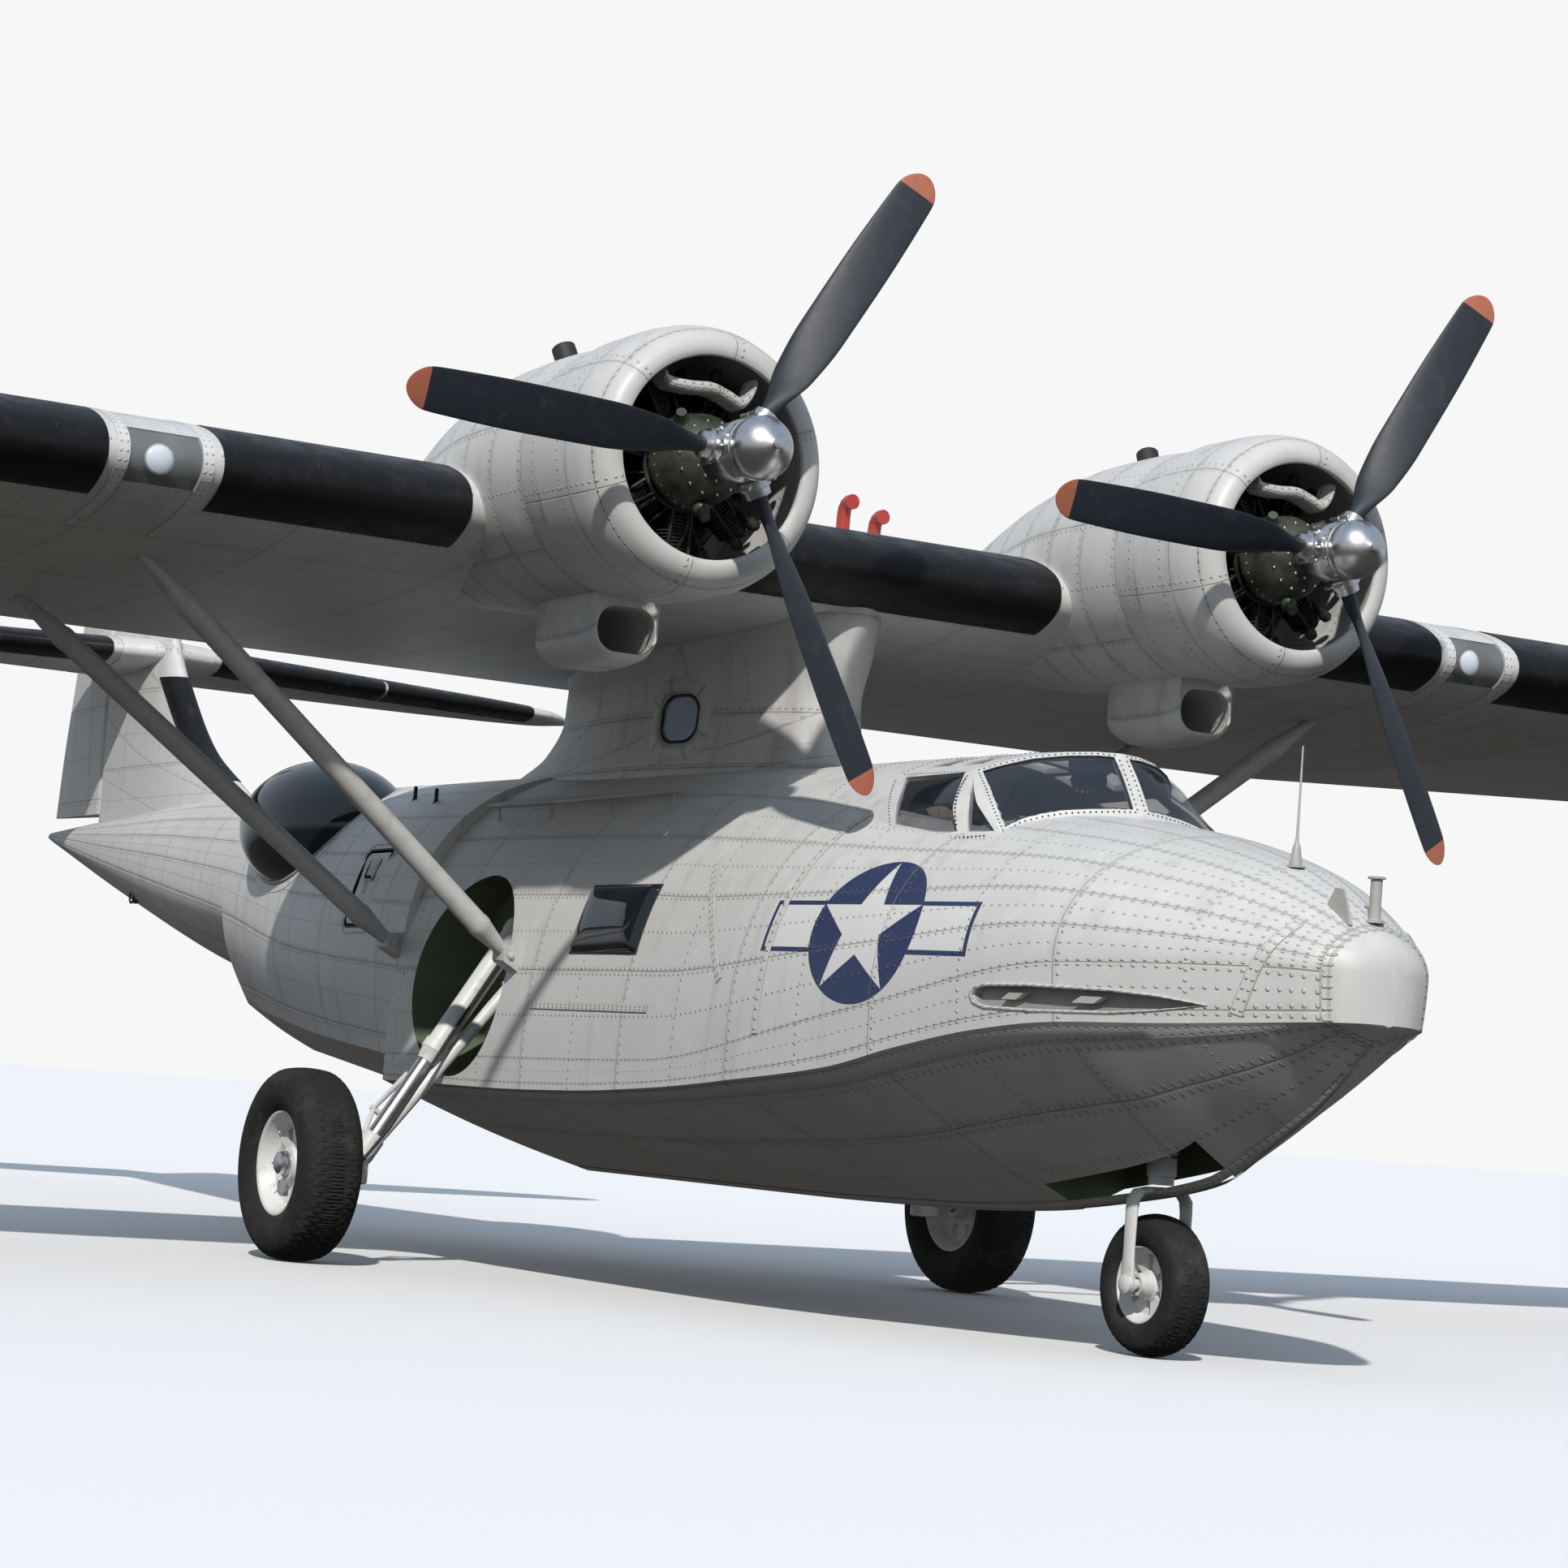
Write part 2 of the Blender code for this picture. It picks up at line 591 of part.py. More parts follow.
cut(hull, loft("waist_cut", [cabin_ring(s, WAIST_FLOOR) for s in WAIST_STATIONS]), solver="MANIFOLD")
cut(hull, loft("tail_cut", [cabin_ring(s, floor) for s, floor in TAIL_FLOOR]), solver="MANIFOLD")

# Blisters: glass shells over openings in the hull's shoulders
BLISTER = {"x": 0.765, "s": 11.59, "h": 2.30, "rx": 0.54, "rs": 0.98, "rh": 0.51}
BLISTER_THICK = 0.012
BLISTER_HOLE = (0.76, 0.30)
HOLE_REACH = (0.55, 1.70)


def ellipsoid(name, centre, radii, material=None, across=18, along=8):
    rings = []
    for i in range(1, along):
        a = pi * i / along
        rings.append([at(centre[0] + radii[0] * sin(a) * cos(2 * pi * j / across),
                         centre[1] - radii[1] * cos(a),
                         centre[2] + radii[2] * sin(a) * sin(2 * pi * j / across)) for j in range(across)])
    return loft(name, rings, material)


for side, sign in SIDES.items():
    centre = (sign * BLISTER["x"], BLISTER["s"], BLISTER["h"])
    radii = (BLISTER["rx"], BLISTER["rs"], BLISTER["rh"])
    blister = ellipsoid("blister_" + side, centre, radii, DARK_GLASS)
    inner = tuple(r - BLISTER_THICK for r in radii)
    cut(blister, ellipsoid("blister_hollow", centre, inner), hull_solid("hull_cut", SKIN_GAP))
    low, high = sorted(sign * reach for reach in HOLE_REACH)
    hole = [(BLISTER["s"] + BLISTER_HOLE[0] * cos(2 * pi * i / 20),
             BLISTER["h"] + BLISTER_HOLE[1] * sin(2 * pi * i / 20))
            for i in range(20)]
    cut(hull, prism("blister_hole", hole, "x", low, high), solver="MANIFOLD")

# The hull is built in two lengths that meet at the cabin bulkhead
BULKHEAD_S = 6.20
HULL_ROOM = 4.0
hull_aft = hull.copy()
hull_aft.data = hull.data.copy()
hull_aft.name = "hull_aft"
bpy.context.collection.objects.link(hull_aft)
hull.name = "hull_fore"
cut(hull, box((-HULL_ROOM, BULKHEAD_S, -1.0), (HULL_ROOM, TAIL_S + 1.0, HULL_ROOM)), solver="MANIFOLD")
cut(hull_aft, box((-HULL_ROOM, NOSE_S - 1.0, -1.0), (HULL_ROOM, BULKHEAD_S + GAP, HULL_ROOM)),
    solver="MANIFOLD")

# Side windows: bulged dark glass over the hull's skin, forward of the wheels
WINDOW = {"s": 5.75, "h": 1.58, "rs": 0.42, "rh": 0.24, "proud": 0.07, "sunk": 0.12, "corner": 0.10}
for side, sign in SIDES.items():
    skin = hull_half_width(WINDOW["s"], WINDOW["h"])
    outline = rounded((WINDOW["s"] - WINDOW["rs"], WINDOW["h"] - WINDOW["rh"]),
                      (WINDOW["s"] + WINDOW["rs"], WINDOW["h"] + WINDOW["rh"]), WINDOW["corner"])
    low, high = sorted((sign * (skin - WINDOW["sunk"]), sign * (skin + WINDOW["proud"])))
    pane = prism("side_window_" + side, outline, "x", low, high, DARK_GLASS)
    cut(pane, hull_solid("hull_cut", SKIN_GAP))

# Hatches behind the wheels, hinged along their top edges
HATCH = {"front": 9.30, "back": 9.72, "low": 1.55, "high": 2.05, "thick": 0.045, "gap": 0.016}
HATCH_REACH = (0.70, 1.80)
HATCH_AXIS_DROP = 0.035
HATCH_PIN_R = 0.008
HATCH_AXIS_IN = 0.024
HATCH_PIN_IN = 0.05
HATCH_PIN_OUT = 0.06
for side, sign in SIDES.items():
    low, high = sorted(sign * reach for reach in HATCH_REACH)
    door = box((low, HATCH["front"], HATCH["low"]), (high, HATCH["back"], HATCH["high"]), "hatch_" + side,
               GREY)
    shell = hull_solid("hull_piece")
    boolean(door, shell, "INTERSECT")
    cut(door, hull_solid("hull_inner", -HATCH["thick"]))
    gap = HATCH["gap"]
    cut(hull_aft, box((low, HATCH["front"] - gap, HATCH["low"] - gap),
                      (high, HATCH["back"] + gap, HATCH["high"] + gap)), solver="MANIFOLD")
    axis_h = HATCH["high"] - HATCH_AXIS_DROP
    hinge = [at(sign * (hull_half_width(s, axis_h) - HATCH_AXIS_IN), s, axis_h)
             for s in (HATCH["front"], HATCH["back"])]
    line = (hinge[1] - hinge[0]).normalized()
    for foot, way in ((hinge[0], line), (hinge[1], -line)):
        join(hull_aft, rod(foot - way * HATCH_PIN_OUT, foot + way * HATCH_PIN_IN, HATCH_PIN_R, sides=10),
             solver="MANIFOLD")
        cut(door, rod(foot - way * HATCH_PIN_OUT, foot + way * (HATCH_PIN_IN + 0.01), bore(HATCH_PIN_R, 10),
                      sides=10))
    set_origin(door, hinge[0])


# Wing: one aerofoil, carried along straight spans
def aerofoil(thickness, start=0.0, end=1.0, steps=12):
    """Closed outline of (chord fraction, height fraction) between two chord fractions."""
    def half_thick(x):
        bulge = 0.2969 * sqrt(x) - 0.1260 * x - 0.3516 * x**2 + 0.2843 * x**3 - 0.1015 * x**4
        return 5 * thickness * bulge + 0.0006

    def camber(x):
        return 0.02 * (1 - ((x - 0.35) / 0.65) ** 2) if x > 0.35 else 0.02 * (1 - ((0.35 - x) / 0.35) ** 2)

    places = [start + (end - start) * (1 - cos(pi * i / steps)) / 2 for i in range(steps + 1)]
    upper = [(x, camber(x) + half_thick(x)) for x in places]
    lower = [(x, camber(x) - half_thick(x)) for x in places]
    if start == 0.0:
        return upper[::-1] + lower[1:]
    return upper[::-1] + lower


def wing_place(x):
    """Leading edge station and height, chord and thickness ratio of the wing at a place across it."""
    reach = max(0.0, abs(x) - CENTRE_HALF)
    t = reach / (TIP_X - CENTRE_HALF)
    shorter = (CHORD - TIP_CHORD) * t
    height = WING_LE_H + reach * tan(DIHEDRAL) - 0.25 * shorter * sin(INCIDENCE)
    return WING_LE_S + 0.40 * shorter, height, CHORD - shorter, THICKNESS - 0.035 * t


def on_wing(x, fraction, rise=0.0):
    """World point at a chord fraction of the wing, a given height above its chord line."""
    lead, height, chord, _ = wing_place(x)
    along = fraction * chord
    return at(x, lead + along * cos(INCIDENCE) + rise * sin(INCIDENCE),
              height - along * sin(INCIDENCE) + rise * cos(INCIDENCE))


def wing_ring(x, start=0.0, end=1.0, grow=0.0):
    _, _, chord, thickness = wing_place(x)
    outline = aerofoil(thickness, start, end)
    middle = sum(p[1] for p in outline) / len(outline)
    ring = []
    for along, up in outline:
        side = 1 if up > middle else -1
        ring.append(on_wing(x, along - (grow / chord if along < 0.02 else 0), up * chord + side * grow))
    return ring


def wing_solid(name, inner, outer, grow=0.0, end=1.0):
    return loft(name, [wing_ring(inner, 0.0, end, grow), wing_ring(outer, 0.0, end, grow)], GREY)


wing_centre = wing_solid("wing_centre", -CENTRE_HALF, CENTRE_HALF)

# Landing lamps in pockets of the leading edge
LAMP_X = 4.70
LAMP_HALF = 0.25
LAMP_R = 0.085
LAMP_POCKET = {"deep": 0.26, "below": 0.16, "above": 0.14}
for side, sign in SIDES.items():
    lead, height, _, _ = wing_place(LAMP_X)
    low, high = sorted((sign * (LAMP_X - LAMP_HALF), sign * (LAMP_X + LAMP_HALF)))
    cut(wing_centre, box((low, lead - LAMP_POCKET["deep"], height - LAMP_POCKET["below"]),
                         (high, lead + LAMP_POCKET["deep"], height + LAMP_POCKET["above"])))
    start = at(sign * LAMP_X, lead + LAMP_POCKET["deep"] - GAP, height - 0.01)
    turned(start, (0, -1, 0), [(0, 0.05), (0.08, 0.06), (0.14, LAMP_R), (0.16, LAMP_R),
                               (0.175, LAMP_R * 0.7)],
           "landing_lamp_" + side, SILVER, 16)

# Outer panels, with ailerons on pins and bays for the float struts
AILERON = {"inner": 9.10, "outer": 14.40}
PIN_R = 0.014
PIN_LONG = 0.05
PIN_ROOT = 0.08


def hinge_point(x, fraction):
    _, _, chord, thickness = wing_place(x)
    outline = aerofoil(thickness, fraction, 1.0)
    count = len(outline) // 2
    middle = (outline[count - 1][1] + outline[count][1]) / 2
    return on_wing(x, fraction, middle * chord), (outline[count - 1][1] - outline[count][1]) / 2 * chord


def with_nose(outline, centre, radius, up, back, steps=6):
    """Close the front of an open section with a round nose about its hinge."""
    half = len(outline) // 2
    nose = [centre + radius * (cos(pi * i / steps) * up - sin(pi * i / steps) * back)
            for i in range(1, steps)]
    return outline[:half] + nose + outline[half:]


def aileron_section(x):
    """Aft part of the wing's aerofoil, closed by a round nose about the hinge."""
    centre, half = hinge_point(x, FLAP_LINE)
    _, _, chord, thickness = wing_place(x)
    skin = [on_wing(x, along, up * chord) for along, up in aerofoil(thickness, FLAP_LINE, 1.0, 5)]
    up = Vector((0, sin(INCIDENCE), cos(INCIDENCE)))
    back = Vector((0, cos(INCIDENCE), -sin(INCIDENCE)))
    return with_nose(skin, centre, half, up, back)


FLOAT = {"hinge_x": 12.90, "fore": 0.24, "aft": 0.56, "rod": 0.055, "length": 2.75, "middle": 0.48,
         "drop": 0.10}
outer_panels = {}
for side, sign in SIDES.items():
    root = sign * (CENTRE_HALF + GAP)
    tip = sign * TIP_X
    panel = wing_solid("wing_outer_" + side, root, tip)
    cut_x = (sign * (AILERON["inner"] - RUN), sign * (AILERON["outer"] + RUN))
    rings = []
    for x in cut_x:
        centre, half = hinge_point(x, FLAP_LINE)
        front = on_wing(x, FLAP_LINE, -1.0) - Vector((0, half + RUN, 0))
        back = on_wing(x, 1.2, -1.0)
        rise = Vector((0, 0, 2.0))
        rings.append([front, back, back + rise, front + rise])
    cut(panel, loft("aileron_bay", rings))
    aileron = loft("aileron_" + side, [aileron_section(sign * AILERON[end]) for end in ("inner", "outer")],
                   GREY)
    start = hinge_point(sign * AILERON["inner"], FLAP_LINE)[0]
    end = hinge_point(sign * AILERON["outer"], FLAP_LINE)[0]
    line = (end - start).normalized()
    for foot, way in ((start, line), (end, -line)):
        join(panel, rod(foot - way * PIN_ROOT, foot + way * PIN_LONG, PIN_R))
        cut(aileron, rod(foot - way * PIN_ROOT, foot + way * (PIN_LONG + RUN), bore(PIN_R, 12)))
    set_origin(aileron, start)
    outer_panels[side] = panel

# Floats, folded up to form the wing tips, each on two struts that lie in bays under the wing.
# Lines run (share of half the length, depth inboard to outboard, half height).
FLOAT_LINES = [(-1.0, 0.16, 0.06), (-0.9, 0.42, 0.17), (-0.7, 0.60, 0.26), (-0.35, 0.72, 0.33),
               (0.1, 0.74, 0.34),
               (0.5, 0.62, 0.30), (0.85, 0.42, 0.20), (1.0, 0.26, 0.10)]
FLOAT_SECTION = [(0, -0.55), (0.10, -0.95), (0.45, -1.0), (1.0, 0.0), (0.45, 1.0), (0.10, 0.95), (0, 0.55)]
DECK_X = TIP_X + 0.012
KNUCKLE_R = 0.060
KNUCKLE_RISE = 0.105
BAY_HALF = 0.075
FLOAT_PIN_R = 0.020
for side, sign in SIDES.items():
    panel = outer_panels[side]
    places = []
    for fraction in (FLOAT["fore"], FLOAT["aft"]):
        lead, _, chord, thickness = wing_place(FLOAT["hinge_x"])
        lower = aerofoil(thickness, fraction, 1.0, 2)[-3]
        places.append((fraction, lead + fraction * chord, lower[1] * chord))
    hinge_h = min(on_wing(FLOAT["hinge_x"], f, low).z for f, s, low in places) - KEEL_GROUND + KNUCKLE_RISE
    tip_lead, tip_h, tip_chord, _ = wing_place(TIP_X)
    middle_s = tip_lead + FLOAT["middle"] * tip_chord
    half_long = FLOAT["length"] / 2
    rings = []
    for t, deep, tall in FLOAT_LINES:
        s = middle_s + t * half_long
        middle_h = tip_h - (s - tip_lead) * sin(INCIDENCE) * 0.8 - FLOAT["drop"]
        rings.append([at(sign * (DECK_X + x * deep), s, middle_h + h * tall) for x, h in FLOAT_SECTION])
    body = loft("float_" + side, rings, GREY)
    for _, s, _ in places:
        inner = at(sign * FLOAT["hinge_x"], s, hinge_h)
        join(body, rod(inner, at(sign * (DECK_X + 0.10), s, hinge_h), FLOAT["rod"], sides=10))
        across = Vector((0, KNUCKLE_R, 0))
        join(body, rod(inner - across, inner + across, KNUCKLE_R, sides=16))
        low_x, high_x = sorted((sign * (FLOAT["hinge_x"] - 0.10), sign * (TIP_X + 0.3)))
        cut(panel, box((low_x, s - BAY_HALF, hinge_h - 1.0), (high_x, s + BAY_HALF, hinge_h + BAY_HALF)))
        across = Vector((0, BAY_HALF + 0.05, 0))
        join(panel, rod(inner - across, inner + across, FLOAT_PIN_R))
        across = Vector((0, BAY_HALF - 0.005, 0))
        cut(body, rod(inner - across, inner + across, bore(FLOAT_PIN_R, 12)))
    set_origin(body, at(sign * FLOAT["hinge_x"], middle_s, hinge_h))

# Pylon that carries the wing, with a window on each side
PYLON_WINDOW = {"s": 6.80, "h": 2.93, "half_s": 0.19, "half_h": 0.145, "corner": 0.12}
PYLON_WINDOW_REACH = (0.46, 1.0)
PYLON_LEVELS = [(2.1, 5.35, 10.9, 0.62), (2.62, 5.50, 9.95, 0.58), (2.80, 5.58, 9.45, 0.55),
                (3.05, 5.62, 9.20, 0.53),
                (3.35, 5.52, 9.18, 0.53)]
PYLON_TOP = (5.40, 9.25, 0.60)
PYLON_SIDES = 20
PYLON_TAPER = 0.25


def pylon_ring(front, back, half, height):
    """Rounded section between two stations, narrower towards the back; height takes a station."""
    ring = []
    for i in range(PYLON_SIDES):
        a = 2 * pi * i / PYLON_SIDES
        along = (1 - cos(a)) / 2
        s = front + (back - front) * along
        ring.append(at(half * sin(a) * (1 - PYLON_TAPER * max(2 * along - 1, 0.0)), s, height(s)))
    return ring


def chord_line(s):
    """Height of the wing's chord line, just inside the wing."""
    return WING_LE_H - 0.02 - (s - WING_LE_S) * tan(INCIDENCE)


pylon_rings = [pylon_ring(front, back, half, lambda s, h=h: h) for h, front, back, half in PYLON_LEVELS]
pylon = loft("pylon", pylon_rings + [pylon_ring(*PYLON_TOP, chord_line)], GREY)
cut(pylon, hull_solid("hull_cut", SKIN_GAP), canopy_solid("canopy_cut", -GAP, None),
    wing_solid("wing_cut", -2, 2, GAP))
window = rounded((PYLON_WINDOW["s"] - PYLON_WINDOW["half_s"], PYLON_WINDOW["h"] - PYLON_WINDOW["half_h"]),
                 (PYLON_WINDOW["s"] + PYLON_WINDOW["half_s"],
                  PYLON_WINDOW["h"] + PYLON_WINDOW["half_h"]), PYLON_WINDOW["corner"])
for sign in SIDES.values():
    low, high = sorted(sign * reach for reach in PYLON_WINDOW_REACH)
    cut(pylon, prism("pylon_window", window, "x", low, high))

# Wing struts, two on each side, from the lower skin of the wing to brackets on the hull
STRUTS = {"front": {"wing": (4.30, 6.53), "hull": (6.82, 1.30)},
          "rear": {"wing": (4.30, 8.60), "hull": (8.60, 1.38)}}
STRUT_R = 0.070
STRUT_FOOT_R = 0.045
STRUT_TOP_R = 0.030
for side, sign in SIDES.items():
    for place, ends in STRUTS.items():
        wing_x, wing_s = ends["wing"]
        hull_s, hull_h = ends["hull"]
        lead, _, chord, thickness = wing_place(wing_x)
        fraction = (wing_s - lead) / chord
        low = aerofoil(thickness, fraction, 1.0, 2)[-3][1]
        top = on_wing(sign * wing_x, fraction, low * chord)
        foot = at(sign * (hull_half_width(hull_s, hull_h) + 0.02), hull_s, hull_h)
        way = (top - foot).normalized()
        strut = rod(foot + way * 0.28, top - way * 0.34, STRUT_R, "strut_%s_%s" % (place, side), STRUT_GREY,
                    14)
        join(strut, rod(foot + way * 0.10, foot + way * 0.30, STRUT_FOOT_R, end_radius=STRUT_R * 0.98,
                        sides=12))
        join(strut, rod(top - way * 0.36, top + way * 0.10, STRUT_R * 0.98, end_radius=STRUT_TOP_R,
                        sides=12))
        low_x, high_x = sorted((sign * (abs(foot.x) - 0.3), sign * (abs(foot.x) + 0.10)))
        bracket = prism("bracket", [(low_x, hull_h - 0.20), (high_x, hull_h), (high_x, hull_h + 0.09),
                                    (low_x, hull_h + 0.12)],
                        "s", hull_s - 0.075, hull_s + 0.075)
        join(strut, bracket)
        cut(strut, hull_solid("hull_cut", SKIN_GAP), wing_solid("wing_cut", sign * 3.5, sign * 5.0, GAP))

# Nacelles, cowls, engines, scoops, exhaust stubs and propellers
FIREWALL_S = 4.72
NACELLE = [(FIREWALL_S, 0.735, 4.07), (5.0, 0.745, 4.07), (5.5, 0.735, 4.06), (6.1, 0.66, 4.02),
           (6.8, 0.50, 3.96),
           (7.5, 0.31, 3.86), (8.2, 0.10, 3.74)]
COWL_PROFILE = [(0.0, 0.565), (-0.025, 0.61), (0.02, 0.695), (0.12, 0.748), (0.32, COWL_R), (0.62, 0.765),
                (0.90, 0.735),
                (0.90, 0.70), (0.30, 0.70), (0.08, 0.58)]
COWL_S = FIREWALL_S - 0.90 - GAP
SCOOP = [(4.68, 0.205, 3.015), (4.74, 0.215, 2.985), (5.10, 0.222, 2.96), (5.34, 0.205, 2.975),
         (5.50, 0.165, 3.03),
         (5.58, 0.095, 3.11)]
SCOOP_TOP = 3.46
SCOOP_CORNER = 0.72
SCOOP_DUCT = [(4.60, 0.185, 3.035), (4.74, 0.193, 3.007), (5.10, 0.200, 2.982), (5.34, 0.183, 2.997)]
SCOOP_DUCT_TOP = 3.30
SCOOP_SEAT = [(4.0, 0.7703, 4.07), (COWL_S + 0.62, 0.765, 4.07), (COWL_S + 0.90, 0.735, 4.07), *NACELLE[:5]]
NACELLE_SIDES = 28


def scoop_loft(name, table, centre_x, top):
    rings = []
    for s, half, bottom in table:
        radius = min(half * SCOOP_CORNER, (top - bottom) * 0.45)
        outline = rounded((centre_x - half, bottom), (centre_x + half, top), radius, 4)
        rings.append([at(p[0], s, p[1]) for p in outline])
    return loft(name, rings, GREY)


def round_loft(name, table, centre_x, grow=0.0, material=None):
    """Body of round sections given as (station, radius, centre height)."""
    rings = []
    for s, r, h in table:
        rings.append([at(centre_x + (r + grow) * cos(2 * pi * i / NACELLE_SIDES), s,
                         h + (r + grow) * sin(2 * pi * i / NACELLE_SIDES)) for i in range(NACELLE_SIDES)])
    return loft(name, rings, material)


ROOT_R = 0.045
DISC_R = 0.115
DISC_BORE = 0.085
BLADE_SIDES = 8
BLADE_LINES = [(0.09, 0.09, 0.09, 60), (0.24, 0.09, 0.09, 60), (0.55, 0.235, 0.045, 42),
               (0.85, 0.275, 0.034, 32),
               (1.25, 0.275, 0.025, 25), (1.85, 0.245, 0.015, 18), (1.98, 0.19, 0.011, 17), (PROP_R, 0.09,
                                                                                             0.008, 17)]
HUB_PROFILE = [(-0.15, 0.11), (-0.10, 0.17), (0.06, 0.185), (0.11, 0.15), (0.15, 0.172), (0.22, 0.180),
               (0.30, 0.155),
               (0.37, 0.07), (0.403, 0.03)]
ENGINE_PROFILE = [(0, 0.58), (0.05, 0.58), (0.05, 0.24), (0.62, 0.24), (0.66, 0.27), (0.80, 0.27),
                  (0.90, 0.20),
                  (0.98, 0.12), (1.0, 0.12)]
SHAFT_R = 0.055
SHAFT_SIDES = 24
CYLINDERS = 7
CYLINDER_R = 0.085
CYLINDER_ROWS = 2
STUB_R = 0.072
STUB_WALL = 0.014
for side, sign in SIDES.items():
    x = sign * HUB_X
    nacelle = round_loft("nacelle_" + side, NACELLE, x, 0.0, GREY)
    inner, outer = sorted((sign * 0.6, sign * 3.6))
    cut(nacelle, wing_solid("wing_cut", inner, outer, GAP))
    cowl = ring_solid(at(x, COWL_S, HUB_H), (0, 1, 0), COWL_PROFILE, "cowl_" + side, GREY, NACELLE_SIDES)
    cut(cowl, box((x - 0.20, 4.42, 3.0), (x + 0.20, 4.80, 3.44)))

    engine = turned(at(x, FIREWALL_S - GAP, HUB_H), (0, -1, 0), ENGINE_PROFILE, "engine_" + side, BLACK, 14)
    join(engine, rod(at(x, FIREWALL_S - 0.9, HUB_H), at(x, FIREWALL_S - 1.16, HUB_H), SHAFT_R,
                     sides=SHAFT_SIDES))
    for row in range(CYLINDER_ROWS):
        for i in range(CYLINDERS):
            a = 2 * pi * (i + 0.5 * row) / CYLINDERS + pi / 2
            way = Vector((cos(a), 0, sin(a)))
            centre = at(x, FIREWALL_S - 0.22 - 0.26 * row, HUB_H)
            join(engine, rod(centre + way * 0.18, centre + way * 0.60, CYLINDER_R, sides=6))

    scoop = scoop_loft("scoop_" + side, SCOOP, x, SCOOP_TOP)
    cut(scoop, scoop_loft("scoop_duct", SCOOP_DUCT, x, SCOOP_DUCT_TOP))
    outlet = [(5.40 + 0.045 * cos(2 * pi * i / 10), 3.14 + 0.10 * sin(2 * pi * i / 10)) for i in range(10)]
    low, high = sorted((x + sign * 0.1, x + sign * 0.4))
    cut(scoop, prism("scoop_outlet", outlet, "x", low, high))
    cut(scoop, round_loft("scoop_seat", SCOOP_SEAT, x, SKIN_GAP))

    stub_foot = at(x + sign * 0.04, 5.44, 4.62)
    stub_end = at(x + sign * 0.08, 5.60, 4.90)
    stub = rod(stub_foot, stub_end, STUB_R, "exhaust_" + side, BLACK, 14)
    cut(stub, rod(stub_foot.lerp(stub_end, 0.55), stub_foot.lerp(stub_end, 1.1), STUB_R - STUB_WALL,
                  sides=14),
        round_loft("nacelle_cut", NACELLE, x, SKIN_GAP))

    hub_centre = at(x, PROP_S, HUB_H)
    blades = turned(hub_centre, (0, -1, 0), [(-ROOT_R, DISC_R), (ROOT_R, DISC_R)], "blades_" + side, BLADE,
                    12)
    root_cuts = [turned(hub_centre, (0, -1, 0), [(-ROOT_R - GAP, DISC_R + GAP),
                                                 (ROOT_R + GAP, DISC_R + GAP)], sides=12)]
    for k in range(3):
        a = radians(BLADE_PHASE + 120 * k)
        out = Vector((cos(a), 0, sin(a)))
        across = Vector((-sin(a), 0, cos(a)))
        rings = []
        for r, chord, thick, pitch in BLADE_LINES:
            wide = across * cos(radians(pitch)) + Vector((0, 1, 0)) * sin(radians(pitch))
            deep = out.cross(wide)
            turns = [2 * pi * i / BLADE_SIDES for i in range(BLADE_SIDES)]
            rings.append([hub_centre + out * r + wide * chord / 2 * cos(t) + deep * thick / 2 * sin(t)
                          for t in turns])
        join(blades, loft("blade", rings))
        root_cuts.append(rod(hub_centre, hub_centre + out * 0.34, ROOT_R + 0.004, sides=8))
    along = Vector((0, 0.2, 0))
    cut(blades, rod(hub_centre - along, hub_centre + along, DISC_BORE, sides=12))
    set_origin(blades, hub_centre)
    hub = turned(hub_centre, (0, -1, 0), HUB_PROFILE, "hub_" + side, SILVER, 14)
    cut(hub, *root_cuts)
    cut(hub, rod(hub_centre + Vector((0, 0.3, 0)), hub_centre - Vector((0, 0.065, 0)),
                 bore(SHAFT_R, SHAFT_SIDES), sides=SHAFT_SIDES))
    set_origin(hub, hub_centre)

# Tail: fin, rudder, tailplane halves and elevators
FIN_LEAD = [(2.4, 14.2), (2.79, 15.04), (3.13, 15.77), (3.60, 16.34), (4.02, 16.72), (4.7, 17.05),
            (5.2, 17.28), (FIN_TOP_H, 17.60)]
RUDDER_TAIL = [(2.55, 19.38), (3.2, 19.30), (3.92, 19.16), (4.7, 19.02), (5.2, 18.86), (FIN_TOP_H, 18.55)]
FIN_HALF = [(2.4, 0.20), (3.0, 0.165), (4.0, 0.14), (5.0, 0.11), (FIN_TOP_H, 0.045)]
RUDDER_FOOT = 2.64
FIN_FOOT = 2.42
FIN_LEVELS = [FIN_FOOT, 2.6, 3.0, 3.5, 4.0, 4.6, 5.1, 5.35, FIN_TOP_H]


def tail_half(fraction):
    """Half thickness of a symmetric section, as a share of its largest, at a chord fraction."""
    x = min(max(fraction, 0.0), 1.0)
    return (0.2969 * sqrt(x) - 0.1260 * x - 0.3516 * x**2 + 0.2843 * x**3 - 0.1015 * x**4) / 0.1


def fin_ring(h, front, back, grow=0.0, steps=8):
    """Fin or rudder section at a height, between two stations."""
    lead = smooth_curve([(p[0], p[1]) for p in FIN_LEAD], h)
    trail = smooth_curve(RUDDER_TAIL, max(h, 2.55))
    half = smooth_curve(FIN_HALF, max(h, 2.4))
    start, end = max(front, lead), min(back, trail)
    places = [start + (end - start) * (1 - cos(pi * i / steps)) / 2 for i in range(steps + 1)]
    sides = [(half * tail_half((s - lead) / (trail - lead)) + 0.003 + grow, s) for s in places]
    return [at(w, s, h) for w, s in sides[::-1]] + [at(-w, s, h) for w, s in sides]


